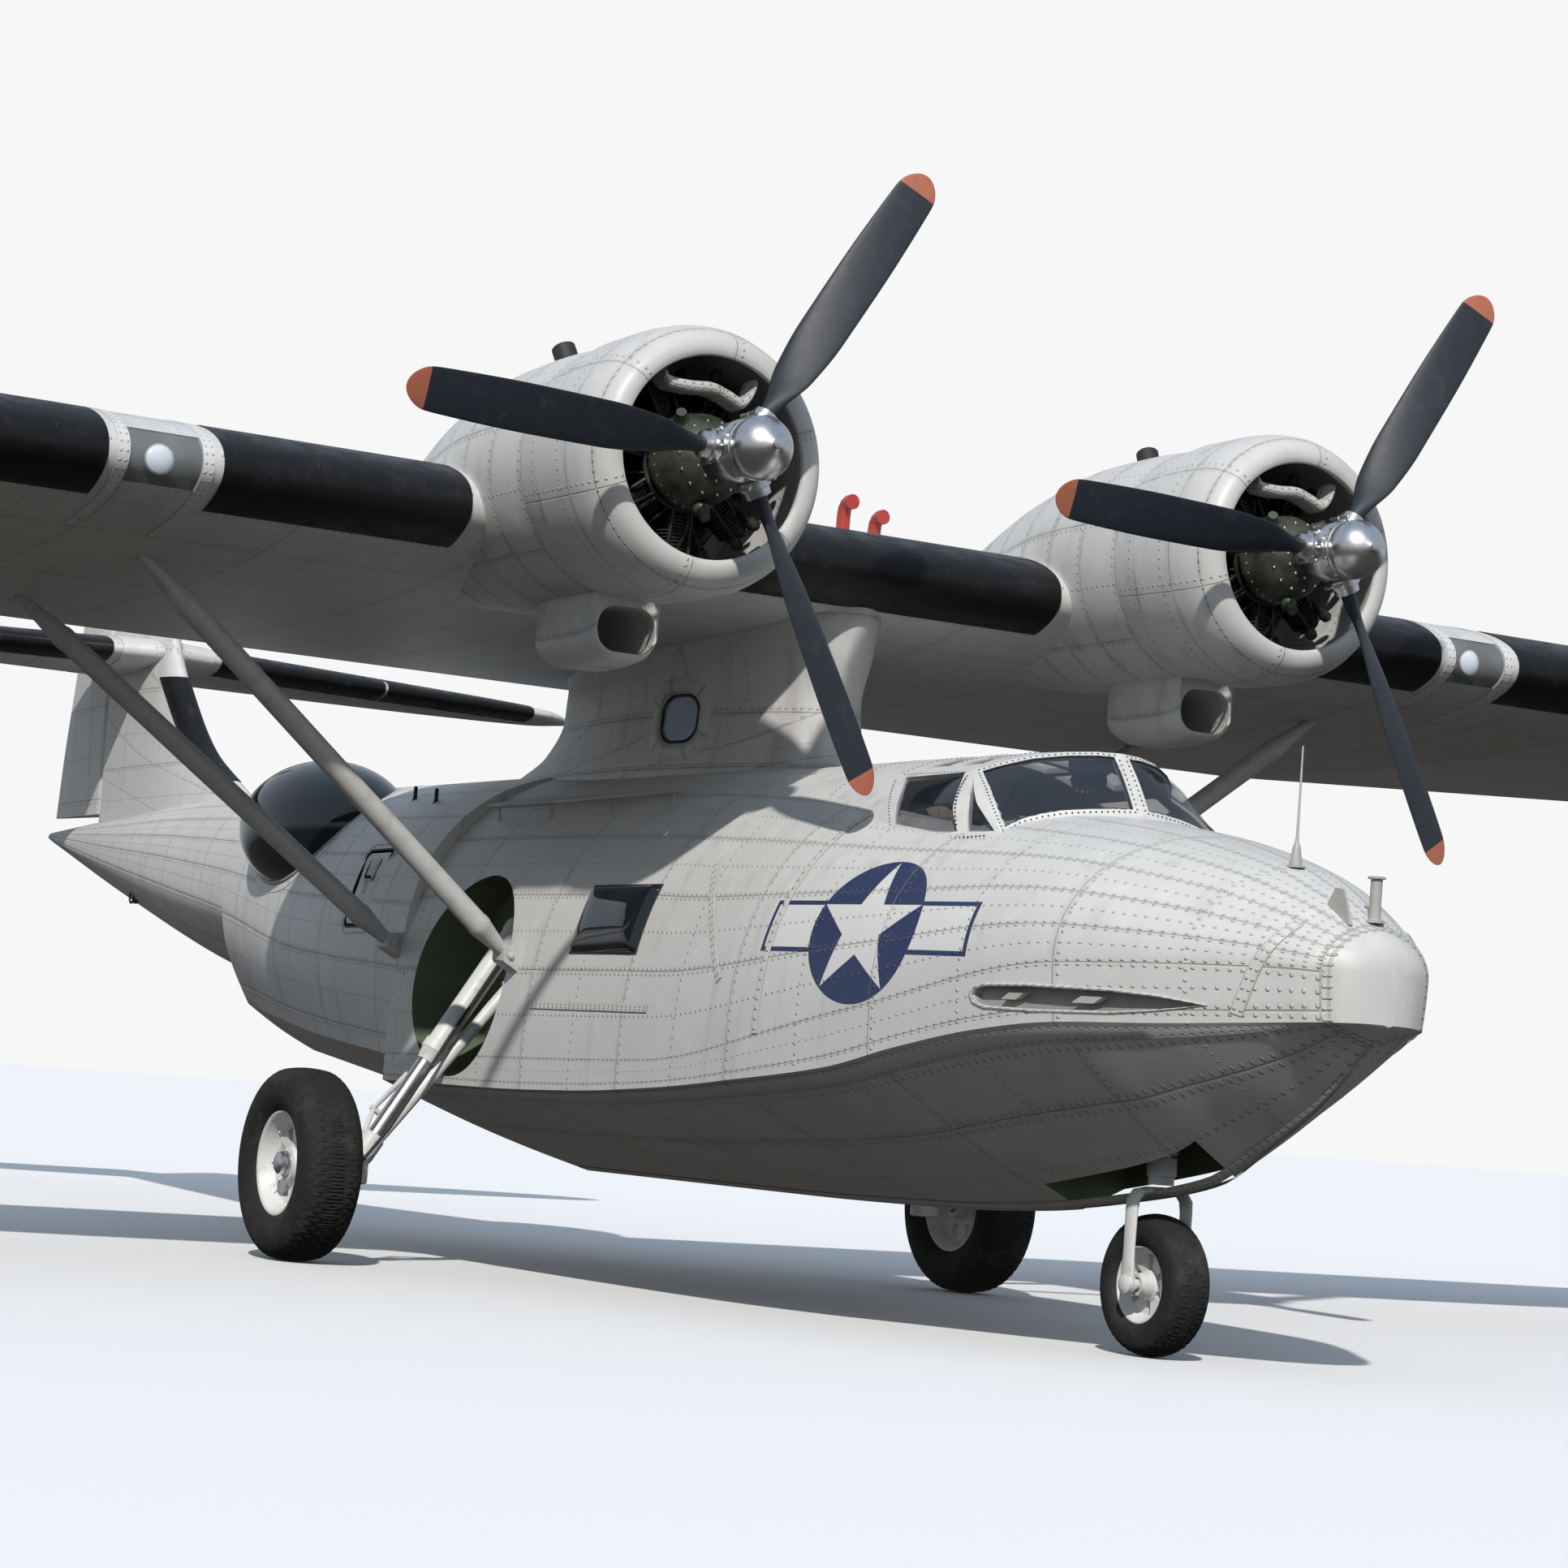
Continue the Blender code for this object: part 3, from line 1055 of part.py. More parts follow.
AFT_END = 30.0
fin_rings = []
fin_skin_rings = []
rudder_rings = []
for h in [FIN_FOOT, RUDDER_FOOT + RUN] + FIN_LEVELS[2:]:
    ring = fin_ring(h, RUDDER_S, AFT_END, 0.0, 5)
    half = (ring[5] - ring[6]).length / 2
    fin_rings.append(fin_ring(h, 0, RUDDER_S - half - RUN))
    fin_skin_rings.append(fin_ring(h, 0, RUDDER_S - half - RUN, SKIN_GAP))
    if h > RUDDER_FOOT:
        rudder_rings.append(with_nose(ring, at(0, RUDDER_S, h), half, Vector((1, 0, 0)), Vector((0, 1, 0)),
                                      6))
fin = loft("fin", fin_rings, GREY)
rudder = loft("rudder", rudder_rings, GREY)
join(fin, box((-0.05, RUDDER_S - 0.3, FIN_FOOT + 0.02), (0.05, RUDDER_S + 0.12, RUDDER_FOOT)))
cut(fin, hull_solid("hull_cut", SKIN_GAP), solver="MANIFOLD")
RUDDER_PIN_R = 0.018
join(fin, rod(at(0, RUDDER_S, RUDDER_FOOT - 0.05), at(0, RUDDER_S, RUDDER_FOOT + 0.06), RUDDER_PIN_R))
cut(rudder, rod(at(0, RUDDER_S, RUDDER_FOOT - 0.1), at(0, RUDDER_S, RUDDER_FOOT + 0.08),
                bore(RUDDER_PIN_R, 12)))
set_origin(rudder, at(0, RUDDER_S, RUDDER_FOOT))

STAB_LEAD = [(0.0, 16.80), (1.0, 17.12), (2.5, 17.50), (3.8, 17.83), (4.3, 18.02), (STAB_HALF, 18.35)]
STAB_TRAIL = [(0.0, 19.36), (2.5, 19.32), (3.8, 19.20), (4.3, 19.05), (STAB_HALF, 18.75)]
STAB_THICK = [(0.0, 0.15), (2.5, 0.11), (4.3, 0.07), (STAB_HALF, 0.03)]
ELEVATOR_S = 18.45
ELEVATOR = (0.20, 4.10)
STAB_PLACES = [0.05, 1.0, 2.2, 3.4, 4.1, 4.45, STAB_HALF]


def stab_ring(x, front, back, steps=8):
    reach = abs(x)
    lead, trail = smooth_curve(STAB_LEAD, reach), smooth_curve(STAB_TRAIL, reach)
    half = smooth_curve(STAB_THICK, reach)
    start, end = max(front, lead), min(back, trail)
    places = [start + (end - start) * (1 - cos(pi * i / steps)) / 2 for i in range(steps + 1)]
    sides = [(half * tail_half((s - lead) / (trail - lead)) + 0.003, s) for s in places]
    return [at(x, s, STAB_H + w) for w, s in sides[::-1]] + [at(x, s, STAB_H - w) for w, s in sides]


ELEVATOR_PIN_R = 0.014
ELEVATOR_NOSE = 0.112
SWING = [(0.0, 17.93), (0.14, 17.93), (0.16, RUDDER_S), (0.28, ELEVATOR_S), (0.50, 19.50), (0.0, 19.60)]


def swing_room():
    """Space that the rudder sweeps between the two halves of the tailplane."""
    return prism("swing_room", SWING[1:-1] + mirrored(SWING[1:-1]), "h", STAB_H - 0.5, STAB_H + 0.5)


for side, sign in SIDES.items():
    stab = loft("stabilizer_" + side, [stab_ring(sign * x, 0, AFT_END) for x in STAB_PLACES], GREY)
    bay_low, bay_high = sorted((0.0, sign * (ELEVATOR[1] + RUN)))
    cut(stab, box((bay_low, ELEVATOR_S - ELEVATOR_NOSE - RUN, STAB_H - 0.5),
                  (bay_high, AFT_END, STAB_H + 0.5)))
    elevator_rings = []
    for x in (ELEVATOR[0], 1.5, 2.8, ELEVATOR[1]):
        ring = stab_ring(sign * x, ELEVATOR_S, AFT_END, 5)
        half = (ring[5] - ring[6]).length / 2
        elevator_rings.append(with_nose(ring, at(sign * x, ELEVATOR_S, STAB_H), half, Vector((0, 0, 1)),
                                        Vector((0, 1, 0)), 6))
    elevator = loft("elevator_" + side, elevator_rings, GREY)
    foot = at(sign * ELEVATOR[1], ELEVATOR_S, STAB_H)
    way = Vector((-sign, 0, 0))
    join(stab, rod(foot - way * PIN_ROOT, foot + way * PIN_LONG, ELEVATOR_PIN_R))
    cut(elevator, rod(foot - way * PIN_ROOT, foot + way * (PIN_LONG + RUN), bore(ELEVATOR_PIN_R, 12)))
    cut(stab, loft("fin_cut", fin_skin_rings), swing_room())
    cut(elevator, swing_room())
    set_origin(elevator, at(sign * ELEVATOR[0], ELEVATOR_S, STAB_H))

# Landing gear: main legs with wheels, nose leg with a fork that steers
AXLE_H = WHEEL_R - KEEL_GROUND
AXLE_R = 0.045
AXLE_SIDES = 20
TYRE_SIDES = 24
NOSE_TYRE_SIDES = 20
HUB_HALF = 0.14
WHEEL_HOLES = 8
WHEEL_HOLES_AT = 0.19
WHEEL_HOLE_R = 0.045
LEG_TOP_H = 1.58
LINK_H = 1.24
LEG_R = 0.075
LINK_R = 0.045
KNUCKLE_X = WHEEL_X - 0.36
AXLE_END_X = WHEEL_X + 0.12
PLATE_HALF = 0.14
WHEEL_PROFILE = [(-HUB_HALF, 0.09), (-0.05, 0.12), (-0.05, 0.26), (-0.15, 0.325), (0.15, 0.325),
                 (0.06, 0.26), (0.05, 0.12),
                 (HUB_HALF + 0.02, 0.08)]
TYRE_PROFILE = [(-0.15, 0.3253), (-0.205, 0.43), (-0.18, 0.54), (-0.10, 0.592), (0.0, WHEEL_R),
                (0.10, 0.592), (0.18, 0.54),
                (0.205, 0.43), (0.15, 0.3253)]
for side, sign in SIDES.items():
    axle_out = at(sign * AXLE_END_X, WHEEL_S, AXLE_H)
    knuckle = at(sign * KNUCKLE_X, WHEEL_S, AXLE_H)
    oleo_foot = at(sign * (WELL_BACK + GAP), WELL_S, LEG_TOP_H)
    link_foot = at(sign * (WELL_BACK + GAP), WELL_S, LINK_H)
    outward = Vector((sign, 0, 0))
    leg = rod(oleo_foot + outward * 0.07, knuckle, LEG_R, "main_leg_" + side, STRUT_GREY, 14)
    join(leg, rod(link_foot + outward * 0.05, knuckle, LINK_R, sides=12))
    plate = rounded((WELL_S - PLATE_HALF, LINK_H - PLATE_HALF), (WELL_S + PLATE_HALF, LEG_TOP_H + 0.12),
                    0.06, 3)
    low, high = sorted((sign * (WELL_BACK + GAP), sign * (WELL_BACK + 0.09)))
    join(leg, prism("leg_plate", plate, "x", low, high))
    join(leg, rod(knuckle - Vector((0, 0, 0.10)), knuckle + Vector((0, 0, 0.10)), 0.10, sides=14))
    join(leg, rod(knuckle - outward * 0.01, axle_out, AXLE_R, sides=AXLE_SIDES))
    centre = at(sign * WHEEL_X, WHEEL_S, AXLE_H)
    wheel = turned(centre, (sign, 0, 0), WHEEL_PROFILE, "wheel_" + side, GREY, TYRE_SIDES)
    through = Vector((sign * 0.3, 0, 0))
    cut(wheel, rod(centre - through, centre + Vector((sign * (0.12 + RUN), 0, 0)), bore(AXLE_R, AXLE_SIDES),
                   sides=AXLE_SIDES))
    for k in range(WHEEL_HOLES):
        a = 2 * pi * (k + 0.5) / WHEEL_HOLES
        spot = centre + WHEEL_HOLES_AT * Vector((0, cos(a), sin(a)))
        cut(wheel, rod(spot - through, spot + through, WHEEL_HOLE_R, sides=8))
    tyre = ring_solid(centre, (sign, 0, 0), TYRE_PROFILE, "tyre_" + side, TYRE, TYRE_SIDES)
    for thing in (wheel, tyre):
        set_origin(thing, centre)

nose_h = NOSE_WHEEL_R - KEEL_GROUND
nose_centre = at(0, NOSE_WHEEL_S, nose_h)
PIVOT_H = 0.42
NOSE_LEG_R = 0.085
PIVOT_R = 0.045
NOSE_WHEEL_PROFILE = [(-0.12, 0.06), (-0.04, 0.07), (-0.03, 0.17), (-0.10, 0.205), (0.10, 0.205),
                      (0.03, 0.17), (0.04, 0.07),
                      (0.12, 0.06)]
NOSE_TYRE_PROFILE = [(-0.10, 0.2053), (-0.13, 0.28), (-0.10, 0.35), (0.0, NOSE_WHEEL_R), (0.10, 0.35),
                     (0.13, 0.28),
                     (0.10, 0.2053)]
nose_leg = rod(at(0, NOSE_WHEEL_S, PIVOT_H), at(0, NOSE_WHEEL_S, NOSE_WELL["top"] - GAP), NOSE_LEG_R,
               "nose_leg", STRUT_GREY, 16)
join(nose_leg, box((-0.24, NOSE_WHEEL_S - 0.16, NOSE_WELL["top"] - 0.06),
                   (0.24, NOSE_WHEEL_S + 0.16, NOSE_WELL["top"] - GAP)))
join(nose_leg, rod(at(0, NOSE_WHEEL_S, PIVOT_H + 0.02), at(0, NOSE_WHEEL_S, PIVOT_H - 0.12), PIVOT_R,
                   sides=AXLE_SIDES))
NOSE_AXLE_R = 0.03
fork = rod(at(0, NOSE_WHEEL_S, PIVOT_H - RUN), at(0, NOSE_WHEEL_S, PIVOT_H - 0.16), 0.08, "nose_fork",
           STRUT_GREY, 16)
join(fork, box((-0.20, NOSE_WHEEL_S - 0.06, PIVOT_H - 0.23), (0.20, NOSE_WHEEL_S + 0.06, PIVOT_H - 0.14)))
for sign in SIDES.values():
    low, high = sorted((sign * 0.155, sign * 0.20))
    join(fork, box((low, NOSE_WHEEL_S - 0.05, nose_h - 0.06), (high, NOSE_WHEEL_S + 0.05, PIVOT_H - 0.16)))
join(fork, rod(nose_centre - Vector((0.18, 0, 0)), nose_centre + Vector((0.18, 0, 0)), NOSE_AXLE_R,
               sides=16))
cut(fork, rod(at(0, NOSE_WHEEL_S, PIVOT_H + 0.05), at(0, NOSE_WHEEL_S, PIVOT_H - 0.128),
              bore(PIVOT_R, AXLE_SIDES), sides=AXLE_SIDES))
set_origin(fork, at(0, NOSE_WHEEL_S, PIVOT_H))
nose_wheel = turned(nose_centre, (1, 0, 0), NOSE_WHEEL_PROFILE, "nose_wheel", GREY, NOSE_TYRE_SIDES)
cut(nose_wheel, rod(nose_centre - Vector((0.3, 0, 0)), nose_centre + Vector((0.3, 0, 0)),
                    bore(NOSE_AXLE_R, 16), sides=16))
nose_tyre = ring_solid(nose_centre, (1, 0, 0), NOSE_TYRE_PROFILE, "nose_tyre", TYRE, NOSE_TYRE_SIDES)
for thing in (nose_wheel, nose_tyre):
    set_origin(thing, nose_centre)

# Cockpit: seats, instrument panel and control column
floor = COCKPIT["floor"] + GAP
PANEL_HALF = 0.62
COLUMN_S = 3.18
YOKE_HALF = 0.42
SEAT_BLOCKS = (((0.14, 3.58, 0.02), (0.58, 4.06, 0.42)), ((0.14, 3.98, 0.30), (0.58, 4.12, 1.02)))
seats = box((-PANEL_HALF, 3.55, floor), (PANEL_HALF, 4.15, floor + 0.03), "seats", SEAT)
for sign in SIDES.values():
    for low, high in SEAT_BLOCKS:
        xs = sorted((sign * low[0], sign * high[0]))
        join(seats, box((xs[0], low[1], floor + low[2]), (xs[1], high[1], floor + high[2])))
panel = box((-PANEL_HALF, 2.78, floor), (PANEL_HALF, 2.86, floor + 0.66), "instrument_panel", BLACK)
column = rod(at(0, COLUMN_S, floor), at(0, COLUMN_S, floor + 0.62), 0.03, "control_column", BLACK, 12)
join(column, rod(at(-YOKE_HALF, COLUMN_S, floor + 0.60), at(YOKE_HALF, COLUMN_S, floor + 0.60), 0.025,
                 sides=12))

# Small things that stand out: whip aerial, mast stub and vent pipes
WHIP = (-0.06, 0.96)
MAST = (0.0, 0.375)
whip_foot = smooth_curve(DECK, WHIP[1]) - 0.03
whip = turned(at(*WHIP, whip_foot), (0, 0, 1), [(0, 0.035), (0.13, 0.014), (0.66, 0.006)], "whip_aerial",
              GREY, 10)
cut(whip, hull_solid("hull_cut", SKIN_GAP))
mast_foot = smooth_curve(DECK, MAST[1]) - 0.06
mast = turned(at(*MAST, mast_foot), (0, 0, 1), [(0, 0.03), (0.27, 0.03), (0.27, 0.045), (0.29, 0.045)],
              "mast_stub", GREY, 14)
cut(mast, hull_solid("hull_cut", SKIN_GAP))
VENTS = ((0.35, 6.36, 4.41), (0.85, 6.79, 4.42))
VENT_R = 0.044
BASE_THICK = 0.014
vents = box((VENTS[0][0] - 0.08, VENTS[0][1] - 0.10, 4.0), (VENTS[1][0] + 0.08, VENTS[1][1] + 0.10, 4.4),
            "vent_pipes", RED)
boolean(vents, wing_solid("wing_skin", -1.2, 1.2, BASE_THICK), "INTERSECT")
for x, s, top in VENTS:
    join(vents, rod(at(x, s, 3.95), at(x, s, top), VENT_R, sides=10))
    join(vents, rod(at(x, s + 0.035, top - 0.012), at(x, s - 0.085, top - 0.012), VENT_R + 0.005, sides=10))
cut(vents, wing_solid("wing_cut", -1.5, 1.5, GAP))
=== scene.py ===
"""Looks of a twin-engined amphibious flying boat that stands on its landing gear.

Metres, +Z up, nose to -Y, port to +X. Places are given as the boat's lines are: x across, the
station s aft, and the height h above the keel.
"""
from functools import reduce
from math import pi, radians, tan

import bmesh
import bpy
import numpy as np
from mathutils import Matrix, Vector


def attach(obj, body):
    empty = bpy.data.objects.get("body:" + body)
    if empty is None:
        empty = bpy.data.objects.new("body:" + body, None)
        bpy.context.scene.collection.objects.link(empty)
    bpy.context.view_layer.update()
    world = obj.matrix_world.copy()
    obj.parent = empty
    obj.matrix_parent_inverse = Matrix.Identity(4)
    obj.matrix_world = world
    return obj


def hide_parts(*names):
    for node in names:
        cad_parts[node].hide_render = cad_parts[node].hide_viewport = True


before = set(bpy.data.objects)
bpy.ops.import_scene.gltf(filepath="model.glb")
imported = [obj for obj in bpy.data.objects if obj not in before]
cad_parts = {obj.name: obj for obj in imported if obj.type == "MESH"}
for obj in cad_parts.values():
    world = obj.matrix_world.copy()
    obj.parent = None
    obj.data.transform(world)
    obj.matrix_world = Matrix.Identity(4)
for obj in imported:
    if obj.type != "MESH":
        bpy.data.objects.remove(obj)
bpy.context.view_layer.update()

# View: the photograph looks up at the starboard bow from a man's height, with a long lens.
# The turn is given as the directions of the picture's right, down and forward.
VIEW_PLACE = (-12.515535, -24.833078, 1.201213)
VIEW_RIGHT = (0.857133, -0.509832, 0.073446)
VIEW_DOWN = (0.104181, 0.031947, -0.994045)
VIEW_FORWARD = (0.50445, 0.859681, 0.080498)
PHOTO_SIZE = 1932
LENS_IN_PIXELS = 4848.74
SENSOR_MM = 36.0

lens = bpy.data.cameras.new("view")
lens.sensor_width = SENSOR_MM
lens.lens = LENS_IN_PIXELS / PHOTO_SIZE * SENSOR_MM
lens.clip_end = 500.0
camera = bpy.data.objects.new("view", lens)
turn = Matrix([VIEW_RIGHT, [-v for v in VIEW_DOWN], [-v for v in VIEW_FORWARD]]).transposed()
camera.matrix_world = Matrix.Translation(VIEW_PLACE) @ turn.to_4x4()
bpy.context.collection.objects.link(camera)
bpy.context.scene.camera = camera
bpy.context.scene.view_settings.view_transform = "Standard"

# Ground and light: a pale plain floor, a broad pale sky that is dim below the horizon, and one
# sun ahead of the starboard bow, high enough to leave the undersides in shade.
FLOOR_REACH = 220.0
FLOOR_COLOUR = (0.93, 0.93, 0.93)
GROUND_COLOUR = (0.80, 0.80, 0.80)
SKY_TOP = (0.62, 0.78, 1.0)
SKY_RIM = (0.88, 0.94, 1.0)
SKY_LOW = (0.125, 0.118, 0.110)
SUN_FROM = (-0.439, -0.627, 0.643)
SUN_POWER = 3.55
SUN_COLOUR = (1.0, 0.965, 0.92)
SUN_WIDTH = radians(1.2)
SKY_POWER = 0.56

world = bpy.data.worlds.new("studio sky")
bpy.context.scene.world = world
world.use_nodes = True
sky = world.node_tree


def node_in(tree, kind, settings, links):
    """Any node: its type, its settings, which are set first, and what feeds its sockets."""
    node = tree.nodes.new(kind)
    for label, value in settings.items():
        setattr(node, label, value)
    for label, value in links.items():
        if isinstance(value, bpy.types.NodeSocket):
            tree.links.new(value, node.inputs[label])
        else:
            node.inputs[label].default_value = value
    return node


def sky_node(kind, settings, links):
    return node_in(sky, kind, settings, links)


sky.nodes.clear()
place = sky_node("ShaderNodeTexCoord", {}, {})
height = sky_node("ShaderNodeSeparateXYZ", {}, {0: place.outputs["Generated"]})
above = sky_node("ShaderNodeMapRange", {"clamp": True},
                 {"Value": height.outputs["Z"], "From Min": 0.0, "From Max": 0.8})
below = sky_node("ShaderNodeMapRange", {"clamp": True},
                 {"Value": height.outputs["Z"], "From Min": -0.15, "From Max": 0.02})
dome = sky_node("ShaderNodeMix", {"data_type": "RGBA"},
                {0: above.outputs[0], 6: (*SKY_RIM, 1.0), 7: (*SKY_TOP, 1.0)})
whole = sky_node("ShaderNodeMix", {"data_type": "RGBA"},
                 {0: below.outputs[0], 6: (*SKY_LOW, 1.0), 7: dome.outputs[2]})
lighting = sky_node("ShaderNodeBackground", {}, {"Color": whole.outputs[2], "Strength": SKY_POWER})
backdrop = sky_node("ShaderNodeBackground", {}, {"Color": (*FLOOR_COLOUR, 1.0), "Strength": 1.0})
ray = sky_node("ShaderNodeLightPath", {}, {})
chosen = sky_node("ShaderNodeMixShader", {},
                  {0: ray.outputs["Is Camera Ray"], 1: lighting.outputs[0], 2: backdrop.outputs[0]})
sky_node("ShaderNodeOutputWorld", {}, {"Surface": chosen.outputs[0]})

sun_lamp = bpy.data.lights.new("sun", "SUN")
sun_lamp.energy = SUN_POWER
sun_lamp.angle = SUN_WIDTH
sun_lamp.color = SUN_COLOUR
sun = bpy.data.objects.new("sun", sun_lamp)
sun.matrix_world = Vector(SUN_FROM).to_track_quat("Z", "Y").to_matrix().to_4x4()
bpy.context.collection.objects.link(sun)

floor_mesh = bpy.data.meshes.new("floor")
floor_mesh.from_pydata([(x, y, 0.0) for x, y in ((-1, -1), (1, -1), (1, 1), (-1, 1))], [],
                       [(0, 1, 2, 3)])
floor_mesh.transform(Matrix.Scale(FLOOR_REACH, 4))
floor = bpy.data.objects.new("floor", floor_mesh)
floor_finish = bpy.data.materials.new("pale floor")
floor_finish.use_nodes = True
floor_shader = floor_finish.node_tree.nodes["Principled BSDF"]
floor_shader.inputs["Base Color"].default_value = (*GROUND_COLOUR, 1.0)
floor_shader.inputs["Roughness"].default_value = 0.9
floor_mesh.materials.append(floor_finish)
floor.visible_diffuse = False
floor.visible_glossy = False
bpy.context.collection.objects.link(floor)

# Hull
# A stressed skin of light alloy plates, lapped and riveted to frames and stringers, in one coat of
# pale grey paint. Its lines are faired curves through the frames; the plating is one closed skin
# worked out from them, and the openings are cut through it.
MIDDLE_S = 9.79
KEEL_GROUND = 0.65
NOSE_S = 0.215
STEP_S = 8.52
STEP2_S = 13.20
TAIL_S = 19.36
SIDES = {"port": 1, "starboard": -1}
FORE_KEEL = [(0.215, 1.14), (0.278, 1.095), (0.425, 0.978), (0.542, 0.865), (0.772, 0.693),
             (0.96, 0.578), (1.119, 0.492), (1.523, 0.278), (2.231, 0.151), (3.065, 0.061),
             (3.965, 0.02), (5.58, 0.0), (8.52, 0.0)]
AFT_KEEL = [(8.52, 0.20), (11.0, 0.44), (13.2, 0.69)]
TAIL_KEEL = [(13.2, 1.07), (15.0, 1.36), (17.4, 1.91), (19.36, 2.42)]
FORE_CHINE = [(0.215, 1.15), (0.67, 1.116), (1.11, 1.085), (1.56, 1.065), (2.07, 1.0), (2.63, 0.885),
              (3.15, 0.76), (3.96, 0.66), (4.88, 0.58), (5.88, 0.53), (6.97, 0.51), (8.52, 0.51)]
AFT_CHINE = [(8.52, 0.66), (11.0, 0.82), (13.2, 1.01)]
TAIL_CHINE = [(13.2, 1.32), (15.0, 1.56), (17.4, 2.04), (19.36, 2.45)]
FORE_BEAM = [(0.215, 0.03), (0.235, 0.145), (0.275, 0.224), (0.335, 0.312), (0.415, 0.378),
             (0.565, 0.465), (0.815, 0.63), (1.215, 0.875), (1.8, 1.155), (2.5, 1.33), (3.2, 1.46),
             (4.1, 1.56), (5.0, 1.574), (8.52, 1.574)]
AFT_BEAM = [(8.52, 1.44), (10.0, 1.23), (11.5, 0.94), (13.2, 0.58)]
TAIL_BEAM = [(13.2, 0.52), (15.0, 0.36), (17.4, 0.2), (19.36, 0.05)]
FORE_BULGE = [(0.215, 0.021), (0.5, 0.023), (1.5, 0.027), (3.0, 0.01), (5.0, 0.0), (8.52, 0.0)]
FORE_WIDEST_H = [(0.215, 1.40), (0.6, 1.42), (1.5, 1.40), (3.0, 1.1), (5.0, 0.75), (8.52, 0.7)]
WIDEST = [(8.52, 1.50), (10.0, 1.36), (11.5, 1.14), (13.2, 0.86), (15.0, 0.60), (17.4, 0.30),
          (19.36, 0.07)]
WIDEST_H = [(8.52, 1.30), (11.0, 1.45), (13.2, 1.75), (15.0, 1.95), (17.4, 2.22), (19.36, 2.47)]
DECK = [(0.215, 1.45), (0.235, 1.52), (0.3, 1.61), (0.42, 1.69), (0.7, 1.835), (1.04, 1.972),
        (1.78, 2.146), (3.2, 2.33), (4.6, 2.53), (5.5, 2.60), (8.0, 2.66), (12.0, 2.68), (15.0, 2.70),
        (17.4, 2.62), (19.36, 2.52)]
ARCH_POWER = [(0.215, 1.8), (1.2, 1.95), (3.0, 2.25), (19.36, 2.25)]
HULL_LINES = {"fore": (FORE_KEEL, FORE_CHINE, FORE_BEAM), "aft": (AFT_KEEL, AFT_CHINE, AFT_BEAM),
              "tail": (TAIL_KEEL, TAIL_CHINE, TAIL_BEAM)}
HOLLOW = 0.06
BOTTOM_STEPS = 10
SIDE_STEPS = 8
ARCH_STEPS = 34
LEVEL_H = 1.50


def at(x, s, h):
    """Place in the frame of points given across, by station and by height above the keel."""
    return np.stack(np.broadcast_arrays(np.asarray(x, float), np.asarray(s, float) - MIDDLE_S,
                                        np.asarray(h, float) + KEEL_GROUND), axis=-1)


def fair(table, s):
    """Faired curve: cubic spans whose end slopes are the harmonic means of the chords' slopes."""
    xs, ys = np.array(table).T
    chords = np.diff(ys) / np.diff(xs)
    product = chords[:-1] * chords[1:]
    total = chords[:-1] + chords[1:]
    bends = np.where(product > 0, 2 * product / np.where(product > 0, total, 1), 0)
    slopes = np.concatenate([chords[:1], bends, chords[-1:]])
    i = np.clip(np.searchsorted(xs, s) - 1, 0, len(xs) - 2)
    span = xs[i + 1] - xs[i]
    t = np.clip((s - xs[i]) / span, 0, 1)
    return ((2 * t**3 - 3 * t**2 + 1) * ys[i] + (t**3 - 2 * t**2 + t) * span * slopes[i]
            + (3 * t**2 - 2 * t**3) * ys[i + 1] + (t**3 - t**2) * span * slopes[i + 1])


def hull_half(s, part):
    """Half sections, keel to deck, as x and h arrays with a row for each station.

    The bottom is a straight vee with a slight sine hollow, the side eases out along a quarter
    sine, and the deck is a quarter of a superellipse.
    """
    s = np.atleast_1d(np.asarray(s, float))[:, None]
    keel, chine, beam = (fair(line, s) for line in HULL_LINES[part])
    deck = fair(DECK, s)
    if part == "fore":
        wide, wide_h = beam + fair(FORE_BULGE, s), fair(FORE_WIDEST_H, s)
    else:
        wide, wide_h = fair(WIDEST, s), fair(WIDEST_H, s)
    t = np.linspace(0, 1, BOTTOM_STEPS + 1)
    x = [beam * t]
    h = [keel + (chine - keel) * (t - HOLLOW * np.sin(pi * t))]
    t = np.linspace(0, 1, SIDE_STEPS + 1)[1:]
    x.append(beam + (wide - beam) * np.sin(t * pi / 2))
    h.append(chine + (wide_h - chine) * t)
    a = np.linspace(0, pi / 2, ARCH_STEPS + 1)[1:]
    power = 2 / fair(ARCH_POWER, s)
    x.append(wide * np.maximum(np.cos(a), 0) ** power)
    h.append(wide_h + (deck - wide_h) * np.sin(a) ** power)
    x, h = np.concatenate(x, axis=1), np.concatenate(h, axis=1)
    x[:, -1] = 0
    return x, h


def hull_width(s, h):
    """Half width of the skin above the chine at stations and heights, read off the sections."""
    s, h = np.broadcast_arrays(np.asarray(s, float), np.asarray(h, float))
    found = np.zeros(s.shape)
    for station in np.unique(s):
        part = "fore" if station < STEP_S else "aft" if station < STEP2_S else "tail"
        xs, hs = hull_half(station, part)
        here = s == station
        found[here] = np.interp(h[here], hs[0, BOTTOM_STEPS:], xs[0, BOTTOM_STEPS:])
    return found


def turns(count):
    """Equal turns round a circle, from 0."""
    return np.linspace(0, 2 * pi, count + 1)[:-1]


def steps_of(start, *stretches):
    """Places from a start through (end, count) stretches, evenly spaced in each."""
    places = [np.array([start])]
    for end, count in stretches:
        places.append(np.linspace(places[-1][-1], end, count + 1)[1:])
    return np.concatenate(places)


